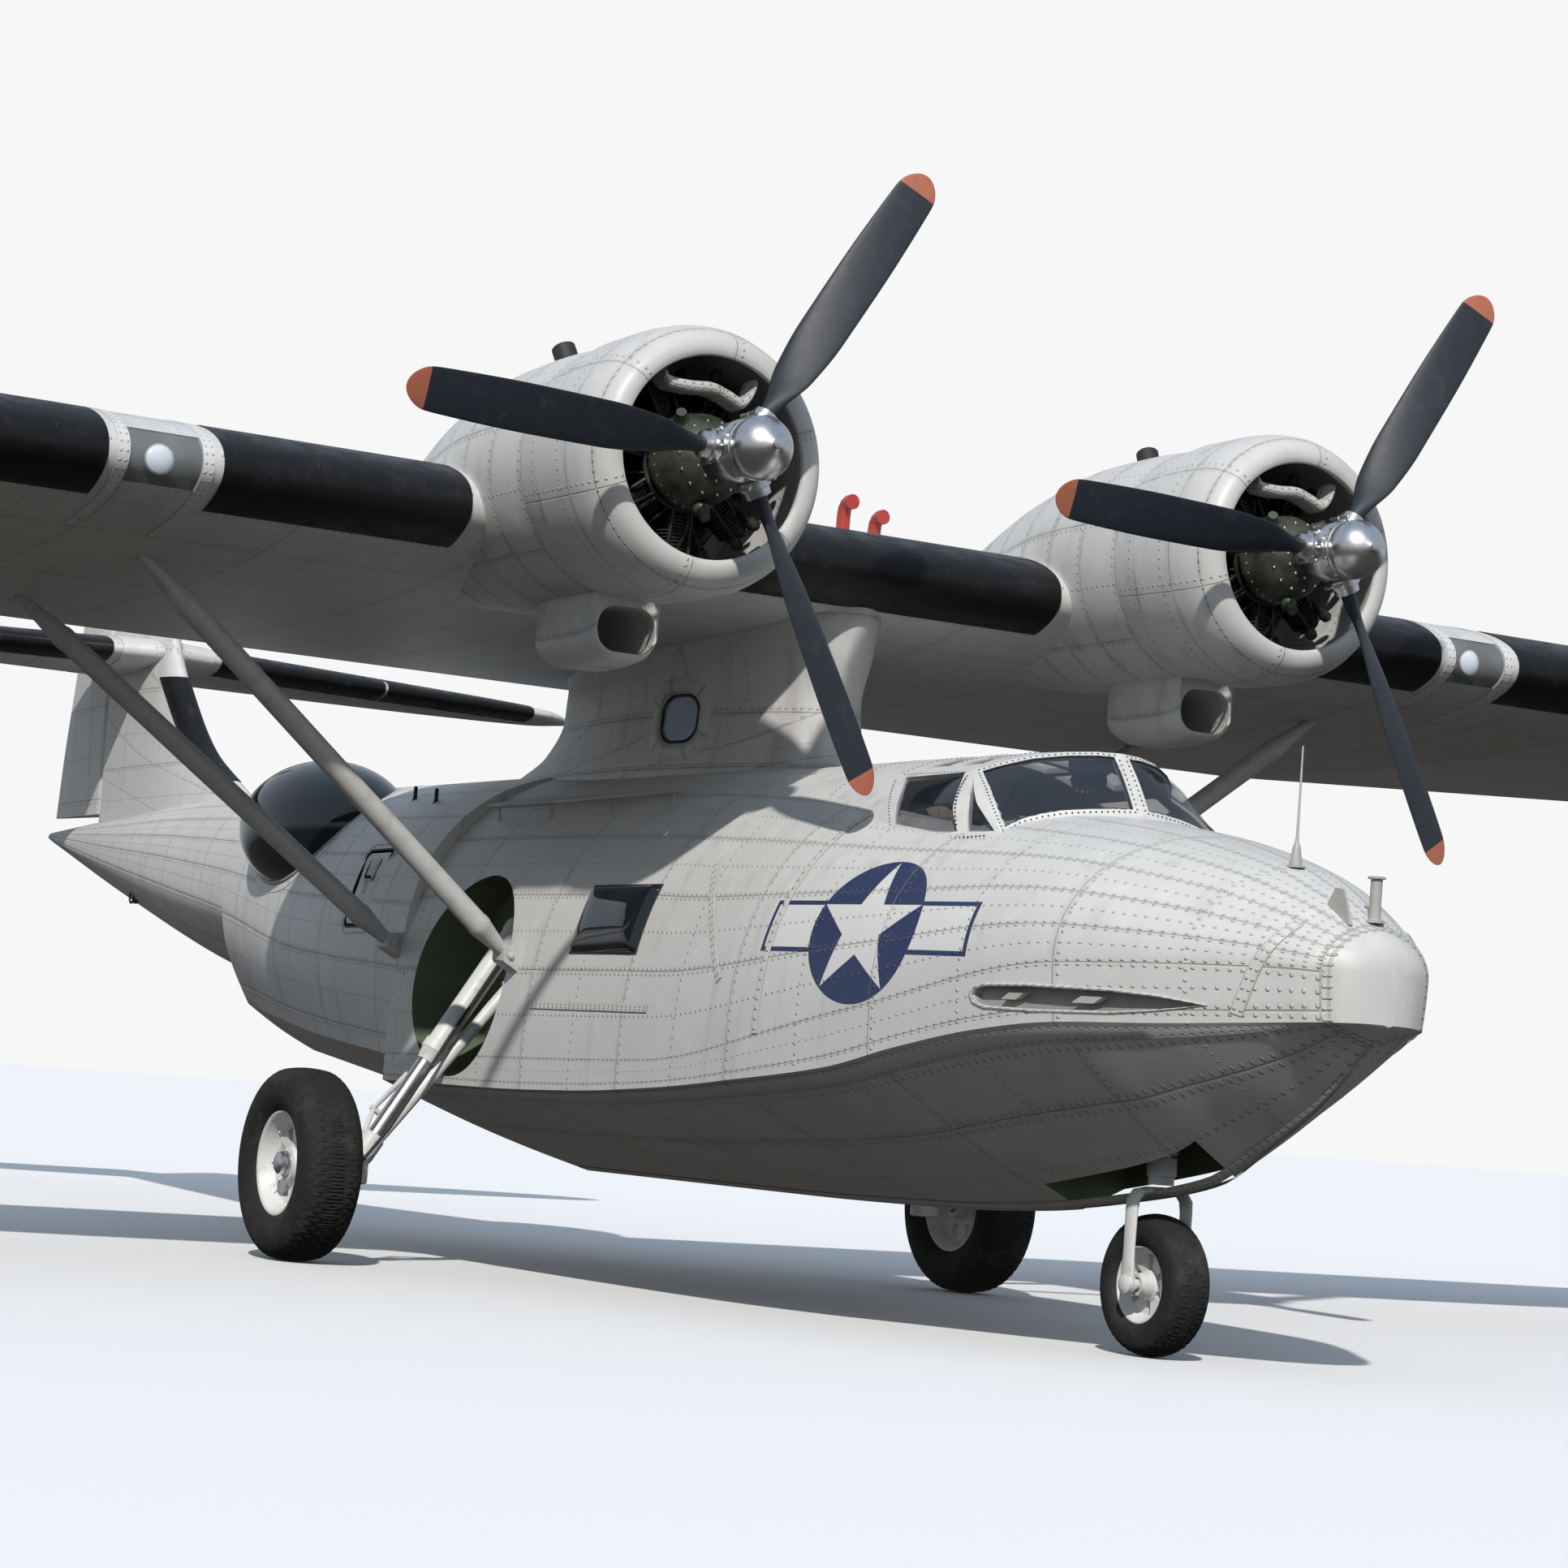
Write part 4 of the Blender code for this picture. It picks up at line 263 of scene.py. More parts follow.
def put(name, points, faces, run=None, strake=None, sharp=30.0):
    """Mesh object of points and faces, shaded smooth below an angle, with its maps by corner."""
    mesh = bpy.data.meshes.new(name)
    mesh.from_pydata(np.asarray(points, float).reshape(-1, 3).tolist(), [], faces)
    for label, marks in (("run", run), ("strake", strake)):
        if marks is not None:
            mesh.uv_layers.new(name=label).data.foreach_set("uv", np.asarray(marks, float).ravel())
    mesh.shade_smooth()
    mesh.set_sharp_from_angle(angle=radians(sharp))
    thing = bpy.data.objects.new(name, mesh)
    bpy.context.collection.objects.link(thing)
    return thing


def skin(name, places, finish, around=False, along=False, ends=(False, False), sharp=30.0, flip=False):
    """Surface over a grid of places, rows along it and columns across each row.

    around closes each row and along closes the rows; ends caps the first and last row. The map
    "run" holds metres along and metres across, and "strake" holds the share of the row and the
    row's length.
    """
    places = np.asarray(places, float)
    rows, columns = places.shape[:2]
    full = np.concatenate([places, places[:, :1]], axis=1) if around else places
    full = np.concatenate([full, full[:1]], axis=0) if along else full
    far = np.linalg.norm(np.diff(full, axis=0), axis=2).mean(axis=1)
    far = np.concatenate([[0], np.cumsum(far)])[:, None] + np.zeros(full.shape[:2])
    wide = np.linalg.norm(np.diff(full, axis=1), axis=2)
    wide = np.concatenate([np.zeros((len(full), 1)), np.cumsum(wide, axis=1)], axis=1)
    share = np.linspace(0, 1, full.shape[1])[None, :] + np.zeros(full.shape[:2])
    run = np.stack([far, wide], axis=-1)
    strake = np.stack([share, wide[:, -1:] + np.zeros(full.shape[:2])], axis=-1)
    i, j = np.meshgrid(np.arange(full.shape[0] - 1), np.arange(full.shape[1] - 1), indexing="ij")
    corners = [(i, j), (i, j + 1), (i + 1, j + 1), (i + 1, j)]
    if flip:
        corners = corners[::-1]
    quads = np.stack([(a % rows) * columns + b % columns for a, b in corners], axis=-1).reshape(-1, 4)
    run = np.stack([run[a, b] for a, b in corners], axis=2).reshape(-1, 2)
    strake = np.stack([strake[a, b] for a, b in corners], axis=2).reshape(-1, 2)
    faces = quads.tolist()
    for end, row, wanted in ((0, 0, ends[0]), (1, rows - 1, ends[1])):
        if wanted:
            cap = (row * columns + np.arange(columns)).tolist()
            faces.append(cap[::-1] if (end == 0) != flip else cap)
            run = np.concatenate([run, np.zeros((columns, 2))])
            strake = np.concatenate([strake, np.zeros((columns, 2))])
    thing = put(name, places, faces, run, strake, sharp)
    thing.data.materials.append(finish)
    return thing


class Amount:
    """A number worked out over a surface. Each sign adds the Math node that it stands for."""

    def __init__(self, coat, socket):
        self.coat = coat
        self.socket = socket

    def __add__(self, other):
        return self.coat.maths("ADD", self, other)

    def __sub__(self, other):
        return self.coat.maths("SUBTRACT", self, other)

    def __rsub__(self, other):
        return self.coat.maths("SUBTRACT", other, self)

    def __mul__(self, other):
        return self.coat.maths("MULTIPLY", self, other)

    def __lt__(self, other):
        return self.coat.maths("LESS_THAN", self, other)

    def __gt__(self, other):
        return self.coat.maths("GREATER_THAN", self, other)

    def __abs__(self):
        return self.coat.maths("ABSOLUTE", self)

    __radd__ = __add__
    __rmul__ = __mul__


class Coat:
    """A finish: one Principled shader with its fixed values, and what varies over the surface."""

    def __init__(self, name, colour, roughness, **fixed):
        self.material = bpy.data.materials.new(name)
        self.material.use_nodes = True
        self.tree = self.material.node_tree
        self.shader = self.tree.nodes["Principled BSDF"]
        self.shader.inputs["Base Color"].default_value = (*colour, 1.0)
        self.shader.inputs["Roughness"].default_value = roughness
        for label, value in fixed.items():
            socket = label.replace("_", " ").title().replace("Ior", "IOR")
            self.shader.inputs[socket].default_value = value

    def node(self, kind, settings, links):
        fed = {k: v.socket if isinstance(v, Amount) else v for k, v in links.items()}
        return node_in(self.tree, kind, settings, fed)

    def maths(self, operation, *values):
        return Amount(self, self.node("ShaderNodeMath", {"operation": operation},
                                      dict(enumerate(values))).outputs[0])

    def least(self, *values):
        return reduce(lambda a, b: self.maths("MINIMUM", a, b), values)

    def most(self, *values):
        return reduce(lambda a, b: self.maths("MAXIMUM", a, b), values)

    def hypot(self, a, b):
        return self.maths("SQRT", a * a + b * b)

    def nearest(self, value, pitch, start=0.0):
        """Distance to the nearest of equally spaced lines."""
        return self.maths("PINGPONG", value - start, pitch / 2)

    def between(self, value, low, high):
        """0 below low, 1 above high and a smooth ease from one to the other."""
        return Amount(self, self.node("ShaderNodeMapRange", {"interpolation_type": "SMOOTHSTEP"},
                                      {"Value": value, "From Min": low, "From Max": high}).outputs[0])

    def coordinates(self):
        """The three object coordinates."""
        place = self.node("ShaderNodeTexCoord", {}, {}).outputs["Object"]
        parts = self.node("ShaderNodeSeparateXYZ", {}, {0: place})
        return [Amount(self, parts.outputs[k]) for k in range(3)]

    def chart(self, label):
        """The two numbers of one of the piece's own maps."""
        chart = self.node("ShaderNodeUVMap", {"uv_map": label}, {}).outputs[0]
        parts = self.node("ShaderNodeSeparateXYZ", {}, {0: chart})
        return Amount(self, parts.outputs[0]), Amount(self, parts.outputs[1])

    def noise(self, scale, detail=2.0, stretch=(1, 1, 1), rough=0.5):
        """Cloudy noise on Object coordinates, from 0 to 1."""
        place = self.node("ShaderNodeTexCoord", {}, {}).outputs["Object"]
        if stretch != (1, 1, 1):
            place = self.node("ShaderNodeMapping", {}, {"Vector": place, "Scale": stretch}).outputs[0]
        return Amount(self, self.node("ShaderNodeTexNoise", {},
                                      {"Vector": place, "Scale": scale, "Detail": detail,
                                       "Roughness": rough}).outputs[0])

    def blend(self, share, first, second):
        """Colour between two colours."""
        first, second = ((*c, 1.0) if isinstance(c, tuple) else c for c in (first, second))
        return self.node("ShaderNodeMix", {"data_type": "RGBA"},
                         {0: share, 6: first, 7: second}).outputs[2]

    def feed(self, **sockets):
        """Link what varies to the shader's own sockets."""
        for label, value in sockets.items():
            value = value.socket if isinstance(value, Amount) else value
            self.tree.links.new(value, self.shader.inputs[label.replace("_", " ").title()])
        return self

    def raised(self, height, metres):
        """Bump from a height of 0 to 1 that stands for so many metres."""
        self.feed(normal=self.node("ShaderNodeBump", {}, {"Strength": 1.0, "Distance": metres,
                                                          "Height": height}).outputs[0])
        return self


PAINT_GREY = (0.56, 0.555, 0.54)
# Colour of grime, also used for the painted shade round rivet heads.
GRIME_AND_SHADE = (0.20, 0.185, 0.16)
PAINT_WORN = (0.66, 0.66, 0.65)
RIVET_R = 0.011
RIVET_SPACING = 0.055
LAP_WIDE = 0.006
PLATE_RELIEF = 0.006


def rivets(coat, off_row, along):
    """Round heads on a row: 1 at the middle of a head and 0 past its edge."""
    reach = coat.hypot(off_row, coat.nearest(along, RIVET_SPACING, RIVET_SPACING / 2))
    return coat.between(reach, RIVET_R, RIVET_R * 0.35)


def mottled(name, colour, light, dark, noise, roughness, window=None, bump=0.0, **fixed):
    """Finish that goes from a light to a dark tone over a noise, given as (scale, detail, rough).

    window is (low, high, share) of the noise, where it isn't taken whole; roughness is its least
    value and its gain over the noise, and bump is the noise's height in metres.
    """
    coat = Coat(name, colour, roughness[0], **fixed)
    grain = coat.noise(noise[0], noise[1], rough=noise[2])
    part = coat.between(grain, *window[:2]) * window[2] if window else grain
    coat.feed(base_color=coat.blend(part, light, dark), roughness=roughness[0] + grain * roughness[1])
    if bump:
        coat.raised(grain, bump)
    return coat


def lines_on(coat, maps, kind, pitch, start=0.0, off=0.0, bare=0.0):
    """Distance from lines on the plating.

    kind names the map that they cross: metres of run or girth, far for the girth from the other
    edge, or the share of the row. Pitch spaces them from a start, and 0 stands for a single line.
    off is the distance to each side of a line, and bare the run that has none.
    """
    away = coat.nearest(maps[kind], pitch, start) if pitch else abs(maps[kind] - start)
    if kind == "share":
        away = away * maps["width"]
    if off:
        away = abs(away - off)
    return away + (maps["run"] < bare) * 1.0 if bare else away


def plated(name, rows, laps, colour=PAINT_GREY, dirt=1.0, marks=None):
    """Painted plating with its rivet rows and the laps of its plates, each row and lap as
    lines_on takes them; marks is a function that lays the markings over the paint. A dark ring
    round each rivet head is painted shade."""
    coat = Coat(name, colour, 0.42)
    run, girth = coat.chart("run")
    share, width = coat.chart("strake")
    maps = {"run": run, "girth": girth, "far": width - girth, "share": share, "width": width}
    heads = coat.most(*(rivets(coat, lines_on(coat, maps, *row), girth if row[0] == "run" else run)
                        for row in rows))
    seam = coat.least(*(lines_on(coat, maps, *lap) for lap in laps))
    lap = coat.between(seam, LAP_WIDE, LAP_WIDE * 0.3)
    soot = coat.between(seam, 0.05, 0.0)
    clouds = coat.noise(0.9, 4.0)
    specks = coat.noise(7.0, 6.0, rough=0.65)
    streaks = coat.noise(2.2, 4.0, (2.6, 2.6, 0.35))
    tone = coat.blend(coat.between(clouds, 0.35, 0.7) * 0.55, colour, tuple(c * 0.90 for c in colour))
    tone = coat.blend(coat.between(specks, 0.52, 0.72) * 0.35, tone, PAINT_WORN)
    tone = coat.blend(coat.between(streaks, 0.52, 0.78) * 0.22 * dirt, tone, GRIME_AND_SHADE)
    tone = coat.blend(soot * coat.between(specks, 0.35, 0.65) * 0.22 * dirt, tone, GRIME_AND_SHADE)
    if marks:
        tone = marks(coat, tone, specks)
    tone = coat.blend(lap * 0.34, tone, GRIME_AND_SHADE)
    # A dark ring round each rivet head, in the grime colour: painted shade round the heads.
    tone = coat.blend(heads * (1 - heads) * 1.7, tone, GRIME_AND_SHADE)
    raised = heads - lap * 0.55 + coat.noise(2.5, 1.0) * 0.8
    coat.feed(base_color=tone, roughness=0.36 + specks * 0.16)
    coat.raised(raised, PLATE_RELIEF)
    return coat.material

FRAME_PITCH = 0.62
STRAKES = 9
CAP_RUN = 0.115
MARK_S = 2.995
MARK_H = 0.03
MARK_R = 0.435
STAR_R = 0.425
BAR_HALF = 0.155
BAR_REACH = 0.86
BORDER = 0.028
NAVY = (0.026, 0.040, 0.100)
MARK_PALE = (0.63, 0.63, 0.62)


def hull_marks(coat, tone, specks):
    """National marking on both sides: a pale star on a disc, with bordered bars.

    The star is the plane folded five ways about its middle and cut by one straight edge.
    """
    run, girth = coat.chart("run")
    across = run - (MARK_S - NOSE_S)
    up = girth - MARK_H
    reach = coat.hypot(across, up)
    angle = coat.maths("ARCTAN2", across, up)
    fold = coat.maths("PINGPONG", angle + 2 * pi, pi / 5)
    edge = radians(18)
    x = reach * coat.maths("SINE", fold)
    y = reach * coat.maths("COSINE", fold)
    inside = x * np.cos(edge).item() + (y - STAR_R) * np.sin(edge).item()
    star = coat.between(inside, 0.002, -0.002)
    disc = coat.between(reach, MARK_R + 0.002, MARK_R - 0.002)
    bar = coat.most(abs(across) - BAR_REACH, abs(up) - BAR_HALF)
    field = coat.between(bar, 0.002, -0.002)
    inner = coat.between(bar + BORDER, 0.002, -0.002) * (abs(across) > MARK_R * 0.9)
    worn = 1 - coat.between(specks, 0.60, 0.80) * 0.18
    navy = coat.most(field - inner * (1 - disc), disc) * (1 - star)
    tone = coat.blend(coat.most(star, inner * (1 - disc)) * coat.most(disc, field) * 0.8, tone,
                      MARK_PALE)
    return coat.blend(coat.most(navy, 0) * worn, tone, NAVY)


hull_grey = plated("hull grey paint",
                   rows=[("run", FRAME_PITCH, 0.10), ("run", 0, CAP_RUN),
                         ("share", 1 / STRAKES, 0, 0.018, CAP_RUN),
                         ("share", 1 / STRAKES, 0.5 / STRAKES, 0, CAP_RUN)],
                   laps=[("share", 1 / STRAKES, 0, 0, CAP_RUN),
                         ("run", FRAME_PITCH * 2, 0.13, 0, CAP_RUN), ("run", 0, CAP_RUN - 0.012)],
                   marks=hull_marks)
inside_green = Coat("interior green paint", (0.10, 0.125, 0.07), 0.6)
frames_in = inside_green.nearest(inside_green.coordinates()[1], 0.5)
dulled = inside_green.between(inside_green.noise(5.0, 4.0), 0.4, 0.7) * 0.5
inside_green.feed(base_color=inside_green.blend(dulled, (0.115, 0.14, 0.08), (0.075, 0.09, 0.055)))
inside_green.raised(inside_green.between(frames_in, 0.030, 0.020), 0.02)

fore = steps_of(NOSE_S, (0.30, 5), (0.60, 10), (1.2, 12), (3.0, 26), (8.50, 50))
aft = steps_of(STEP_S, (STEP2_S - 0.02, 36))
tail = steps_of(STEP2_S, (TAIL_S, 44))
hull_parts = (("fore", fore), ("aft", aft), ("tail", tail))
halves = [hull_half(stations, part) for part, stations in hull_parts]
half_x = np.concatenate([h[0] for h in halves])
half_h = np.concatenate([h[1] for h in halves])
stations = np.concatenate([fore, aft, tail])
loop_x = np.concatenate([half_x, -half_x[:, -2:0:-1]], axis=1)
loop_h = np.concatenate([half_h, half_h[:, -2:0:-1]], axis=1)


def hull_charts(mesh):
    """Maps of the plating: metres aft of the bow and metres of girth up from a level, and the
    share of the half girth with its length, the same on both sides."""
    lengths = np.sqrt(np.diff(half_x, axis=1) ** 2 + np.diff(half_h, axis=1) ** 2)
    lengths = np.concatenate([np.zeros((len(half_x), 1)), np.cumsum(lengths, axis=1)], axis=1)
    level = np.array([np.interp(LEVEL_H, h[BOTTOM_STEPS:], g[BOTTOM_STEPS:])
                      for h, g in zip(half_h, lengths)])
    girth = lengths - level[:, None]
    share = np.linspace(0, 1, half_x.shape[1])[None, :] + np.zeros(half_x.shape)
    width = lengths[:, -1:] + np.zeros(half_x.shape)
    run = (stations - NOSE_S)[:, None] + np.zeros(half_x.shape)
    charts = [np.stack([a, b], axis=-1) for a, b in ((run, girth), (share, width))]
    corner = np.zeros(len(mesh.loops), dtype=np.int32)
    mesh.loops.foreach_get("vertex_index", corner)
    columns = loop_x.shape[1]
    half = half_x.shape[1]
    row, column = corner // columns, corner % columns
    column = np.where(column < half, column, columns - column)
    for label, chart in zip(("run", "strake"), charts):
        mesh.uv_layers[label].data.foreach_set("uv", chart[row, column].ravel())


hull = skin("hull_skin", at(loop_x, stations[:, None], loop_h), hull_grey, around=True,
            ends=(True, True), flip=True)
hull_charts(hull.data)
hull.data.materials.append(inside_green.material)


def block(low, high, finish=None):
    """Box between two corners given across, by station and by height."""
    x, s, h = (np.array([low[k], high[k]]) for k in range(3))
    ring = at([x[0], x[1], x[1], x[0]], s[:, None], [h[0], h[0], h[1], h[1]])
    return skin("block", ring, finish, around=True, ends=(True, True))


def rings_of(outlines, finish=None):
    """Closed solid through equal outlines, given as (count, points, 3) places."""
    return skin("rings", np.asarray(outlines), finish, around=True, ends=(True, True))


def turned_outward(thing):
    """Faces of a closed solid made to point outwards, after its doubles are merged."""
    body = bmesh.new()
    body.from_mesh(thing.data)
    bmesh.ops.remove_doubles(body, verts=body.verts, dist=1e-6)
    bmesh.ops.recalc_face_normals(body, faces=body.faces)
    body.to_mesh(thing.data)
    body.free()
    return thing


def closed(name, places, finish):
    """Closed solid of rings with both ends capped, its faces outwards."""
    return turned_outward(skin(name, places, finish, around=True, ends=(True, True)))


def hoop(name, places, finish, sharp=30.0):
    """Closed ring: each row closes on itself, and so do the rows. Its faces are outwards."""
    return turned_outward(skin(name, places, finish, around=True, along=True, sharp=sharp))


def fitted(body, *pieces):
    """Pieces that ride on a body, each given as (piece, slot, and any nodes that it replaces); the slot
    is not used.
    """
    for piece, slot, *nodes in pieces:
        if nodes:
            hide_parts(*nodes)
        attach(piece, body)


def carve(thing, tool):
    """Cut with a closed tool, which is used up; the cut faces take the tool's finish."""
    turned_outward(tool)
    step = thing.modifiers.new("cut", "BOOLEAN")
    step.operation = "DIFFERENCE"
    step.solver = "MANIFOLD"
    step.object = tool
    step.material_mode = "TRANSFER"
    mesh = bpy.data.meshes.new_from_object(thing.evaluated_get(bpy.context.evaluated_depsgraph_get()))
    thing.modifiers.clear()
    thing.data = mesh
    mesh.shade_smooth()
    mesh.set_sharp_from_angle(angle=radians(30))
    bpy.data.objects.remove(tool, do_unlink=True)
    return thing


COCKPIT = {"front": 2.50, "back": 5.05, "floor": 1.30, "half": 0.80}
REAR_FLOOR = {"front": 4.25, "h": 1.25}
WELL = {"s": 7.55, "h": 1.21, "r": 0.65, "back": 1.06}
NOSE_WELL = {"front": 1.38, "back": 2.72, "half": 0.27, "top": 1.05}
turned_outward(hull)
plan = np.array([(0.36, COCKPIT["front"]), (0.60, 2.64), (COCKPIT["half"], 2.80),
                 (COCKPIT["half"], 3.95), (0.62, 4.40), (0.50, COCKPIT["back"])])
plan = np.concatenate([plan, plan[::-1] * (-1, 1)])
carve(hull, rings_of(at(plan[:, 0], plan[:, 1], np.array([[COCKPIT["floor"]], [3.2]])),
                     inside_green.material))
carve(hull, block((-COCKPIT["half"], REAR_FLOOR["front"], REAR_FLOOR["h"]),
                  (COCKPIT["half"], COCKPIT["back"], COCKPIT["floor"] + 0.1), inside_green.material))
around = turns(72)
for sign in SIDES.values():
    carve(hull, rings_of(at(sign * np.array([[WELL["back"]], [1.9]]),
                            WELL["s"] + WELL["r"] * np.cos(around),
                            WELL["h"] + WELL["r"] * np.sin(around)), inside_green.material))
carve(hull, block((-NOSE_WELL["half"], NOSE_WELL["front"], -0.2),
                  (NOSE_WELL["half"], NOSE_WELL["back"], NOSE_WELL["top"]), inside_green.material))
fitted("airframe", (hull, "hull_grey", "hull_fore", "hull_aft"))

# Wing
# A thick parasol wing in three lengths, plated like the hull over closely spaced ribs, its centre
# length straight and its outer lengths tapered. Each skin runs round the aerofoil from the upper
# trailing edge to the lower one.
WING_LE_S = 5.22
WING_LE_H = 3.84
CHORD = 4.57
TIP_CHORD = 3.05
INCIDENCE = radians(6.0)
THICKNESS = 0.155
TAIL_EDGE = 0.0006
CENTRE_HALF = 6.10
DIHEDRAL = radians(1.5)
TIP_X = 15.10
FLAP_LINE = 0.76
CAMBER = 0.02
CREST = 0.35
RIB_PITCH = 0.38
SEAM_GAP = 0.0003


def wing_lines(x):
    """Leading edge station and height, chord and thickness ratio at places across the wing."""
    reach = np.maximum(np.abs(x) - CENTRE_HALF, 0)
    t = reach / (TIP_X - CENTRE_HALF)
    chord = CHORD + (TIP_CHORD - CHORD) * t
    lead = WING_LE_S + 0.40 * (CHORD - chord)
    height = WING_LE_H + reach * tan(DIHEDRAL) - 0.25 * (CHORD - chord) * np.sin(INCIDENCE)
    return lead, height, chord, THICKNESS - 0.035 * t


def on_wing(x, fraction, rise):
    """Place at a chord fraction, some height above the chord line."""
    lead, height, chord, _ = wing_lines(x)
    along = fraction * chord
    return at(x, lead + along * np.cos(INCIDENCE) + rise * np.sin(INCIDENCE),
              height - along * np.sin(INCIDENCE) + rise * np.cos(INCIDENCE))


def half_thick(fraction, thickness):
    """Half thickness of the aerofoil in chords: the usual root and power polynomial."""
    f = np.clip(fraction, 0, 1)
    return 5 * thickness * (0.2969 * np.sqrt(f) - 0.1260 * f - 0.3516 * f**2 + 0.2843 * f**3
                            - 0.1015 * f**4) + TAIL_EDGE


def wing_skin(x, q, grow=0.0):
    """Skin at places across and at q from -1, the upper trailing edge, past 0, the nose, to 1.

    The chord fraction is half of 1 - cos(pi q), and the camber is two parabolas that meet at its
    crest.
    """
    x, q = np.broadcast_arrays(np.asarray(x, float)[:, None], np.asarray(q, float)[None, :])
    _, _, chord, thickness = wing_lines(x)
    f = (1 - np.cos(pi * q)) / 2
    camber = CAMBER * (1 - np.where(f > CREST, (f - CREST) / (1 - CREST), (CREST - f) / CREST) ** 2)
    rise = camber - np.sign(q) * half_thick(f, thickness)
    return on_wing(x, f - grow / chord * np.maximum(1 - f * 12, 0), rise * chord - np.sign(q) * grow)


wing_grey = plated("wing grey paint", rows=[("run", RIB_PITCH), ("girth", 0.46, 0.10)],
                   laps=[("run", RIB_PITCH * 3, 0.05), ("girth", 1.38, 0.16)])
lamp_box_black = Coat("lamp box black", (0.012, 0.012, 0.013), 0.5)
lamp_box_black.feed(roughness=0.45 + lamp_box_black.noise(20.0) * 0.2)
round_wing = np.linspace(-1, 1, 97)
LAMP_X = 4.70
LAMP_HALF = 0.25
LAMP_DEEP = 0.26
LAMP_BELOW = 0.16
LAMP_ABOVE = 0.14

wing_centre = skin("wing_centre_skin",
                   wing_skin(np.linspace(-CENTRE_HALF, CENTRE_HALF, 25), round_wing), wing_grey,
                   around=True, ends=(True, True))
turned_outward(wing_centre)
lamp_lead, lamp_height, _, _ = wing_lines(LAMP_X)
for sign in SIDES.values():
    low, high = sorted((sign * (LAMP_X - LAMP_HALF), sign * (LAMP_X + LAMP_HALF)))
    carve(wing_centre, block((low, lamp_lead - 0.2, lamp_height - LAMP_BELOW),
                             (high, lamp_lead + LAMP_DEEP, lamp_height + LAMP_ABOVE),
                             lamp_box_black.material))
fitted("airframe", (wing_centre, "hull_grey", "wing_centre"))

# Outer lengths, each with a bay for its aileron and two for the float's struts.
AILERON = {"inner": 9.10, "outer": 14.40}
RUN = 0.008
FLOAT = {"hinge_x": 12.90, "fore": 0.24, "aft": 0.56, "rod": 0.055, "length": 2.75, "deck": 0.012}
BAY_HALF = 0.075


def aileron_nose(x):
    """Hinge place and half depth of the aileron at places across."""
    x = np.atleast_1d(np.asarray(x, float))
    q = np.arccos(1 - 2 * FLAP_LINE) / pi
    ends = wing_skin(x, [-q, q])
    return ends.mean(axis=1), np.linalg.norm(ends[:, 0] - ends[:, 1], axis=1) / 2


def float_hinge():
    """Hinge height of the float's struts, under both of the bays."""
    q = np.arccos(1 - 2 * np.array([FLOAT["fore"], FLOAT["aft"]])) / pi
    low = wing_skin([FLOAT["hinge_x"]], q)[0]
    return low[:, 1] + MIDDLE_S, low[:, 2].min() - KEEL_GROUND + 0.105


strut_s, hinge_h = float_hinge()
outer_wings = {}
for side, sign in SIDES.items():
    across = sign * np.linspace(CENTRE_HALF + SEAM_GAP, TIP_X, 29)
    wing = closed("wing_outer_skin_" + side, wing_skin(across, round_wing), wing_grey)
    bay_x = sign * np.array([AILERON["inner"] - RUN, AILERON["outer"] + RUN])
    hinge, half = aileron_nose(bay_x)
    front = hinge - np.stack([0 * half, half + RUN, 0 * half], axis=1)
    back = on_wing(bay_x, 1.2, 0 * bay_x)
    drop = np.array([0, 0, 1.0])
    carve(wing, rings_of(np.stack([front - drop, back - drop, back + drop, front + drop], axis=1),
                         wing_grey))
    for s in strut_s:
        low, high = sorted((sign * (FLOAT["hinge_x"] - 0.10), sign * (TIP_X + 0.3)))
        carve(wing, block((low, s - BAY_HALF, hinge_h - 1.0), (high, s + BAY_HALF, hinge_h + BAY_HALF),
                          lamp_box_black.material))
    outer_wings[side] = wing
    fitted("airframe", (wing, "hull_grey", "wing_outer_" + side))

# Ailerons: plated, with a round nose about the hinge and rivets at each rib.
for side, sign in SIDES.items():
    across = sign * np.linspace(AILERON["inner"], AILERON["outer"], 25)
    q = np.arccos(1 - 2 * np.linspace(FLAP_LINE, 1, 13)) / pi
    skins = wing_skin(across, np.concatenate([-q[::-1], q]))
    hinge, half = aileron_nose(across)
    up = np.array([0, np.sin(INCIDENCE), np.cos(INCIDENCE)])
    back = np.array([0, np.cos(INCIDENCE), -np.sin(INCIDENCE)])
    a = np.linspace(0, pi, 12)[1:-1][None, :, None]
    nose = hinge[:, None] + half[:, None, None] * (np.cos(a) * up - np.sin(a) * back)
    aileron = skin("aileron_skin_" + side, np.concatenate([skins[:, :13], nose, skins[:, 13:]], axis=1),
                   wing_grey, around=True, ends=(True, True))
    turned_outward(aileron)
    fitted("aileron_body_" + side, (aileron, "hull_grey", "aileron_" + side))

# Leading edge boots
# Black rubber sheets laid over the nose of the wing, a few millimetres proud, their edges held by
# spaced dome bolts. They stop short of the nacelles and of the landing lamps.
BOOT_UPPER = 0.20
BOOT_LOWER = 0.165
BOOT_THICK = 0.006
BOOT_EDGE = 0.008
BOOT_SPANS = ((0.0, 1.28), (2.83, 4.36), (5.04, 6.08), (6.12, 10.4), (10.44, 14.7))

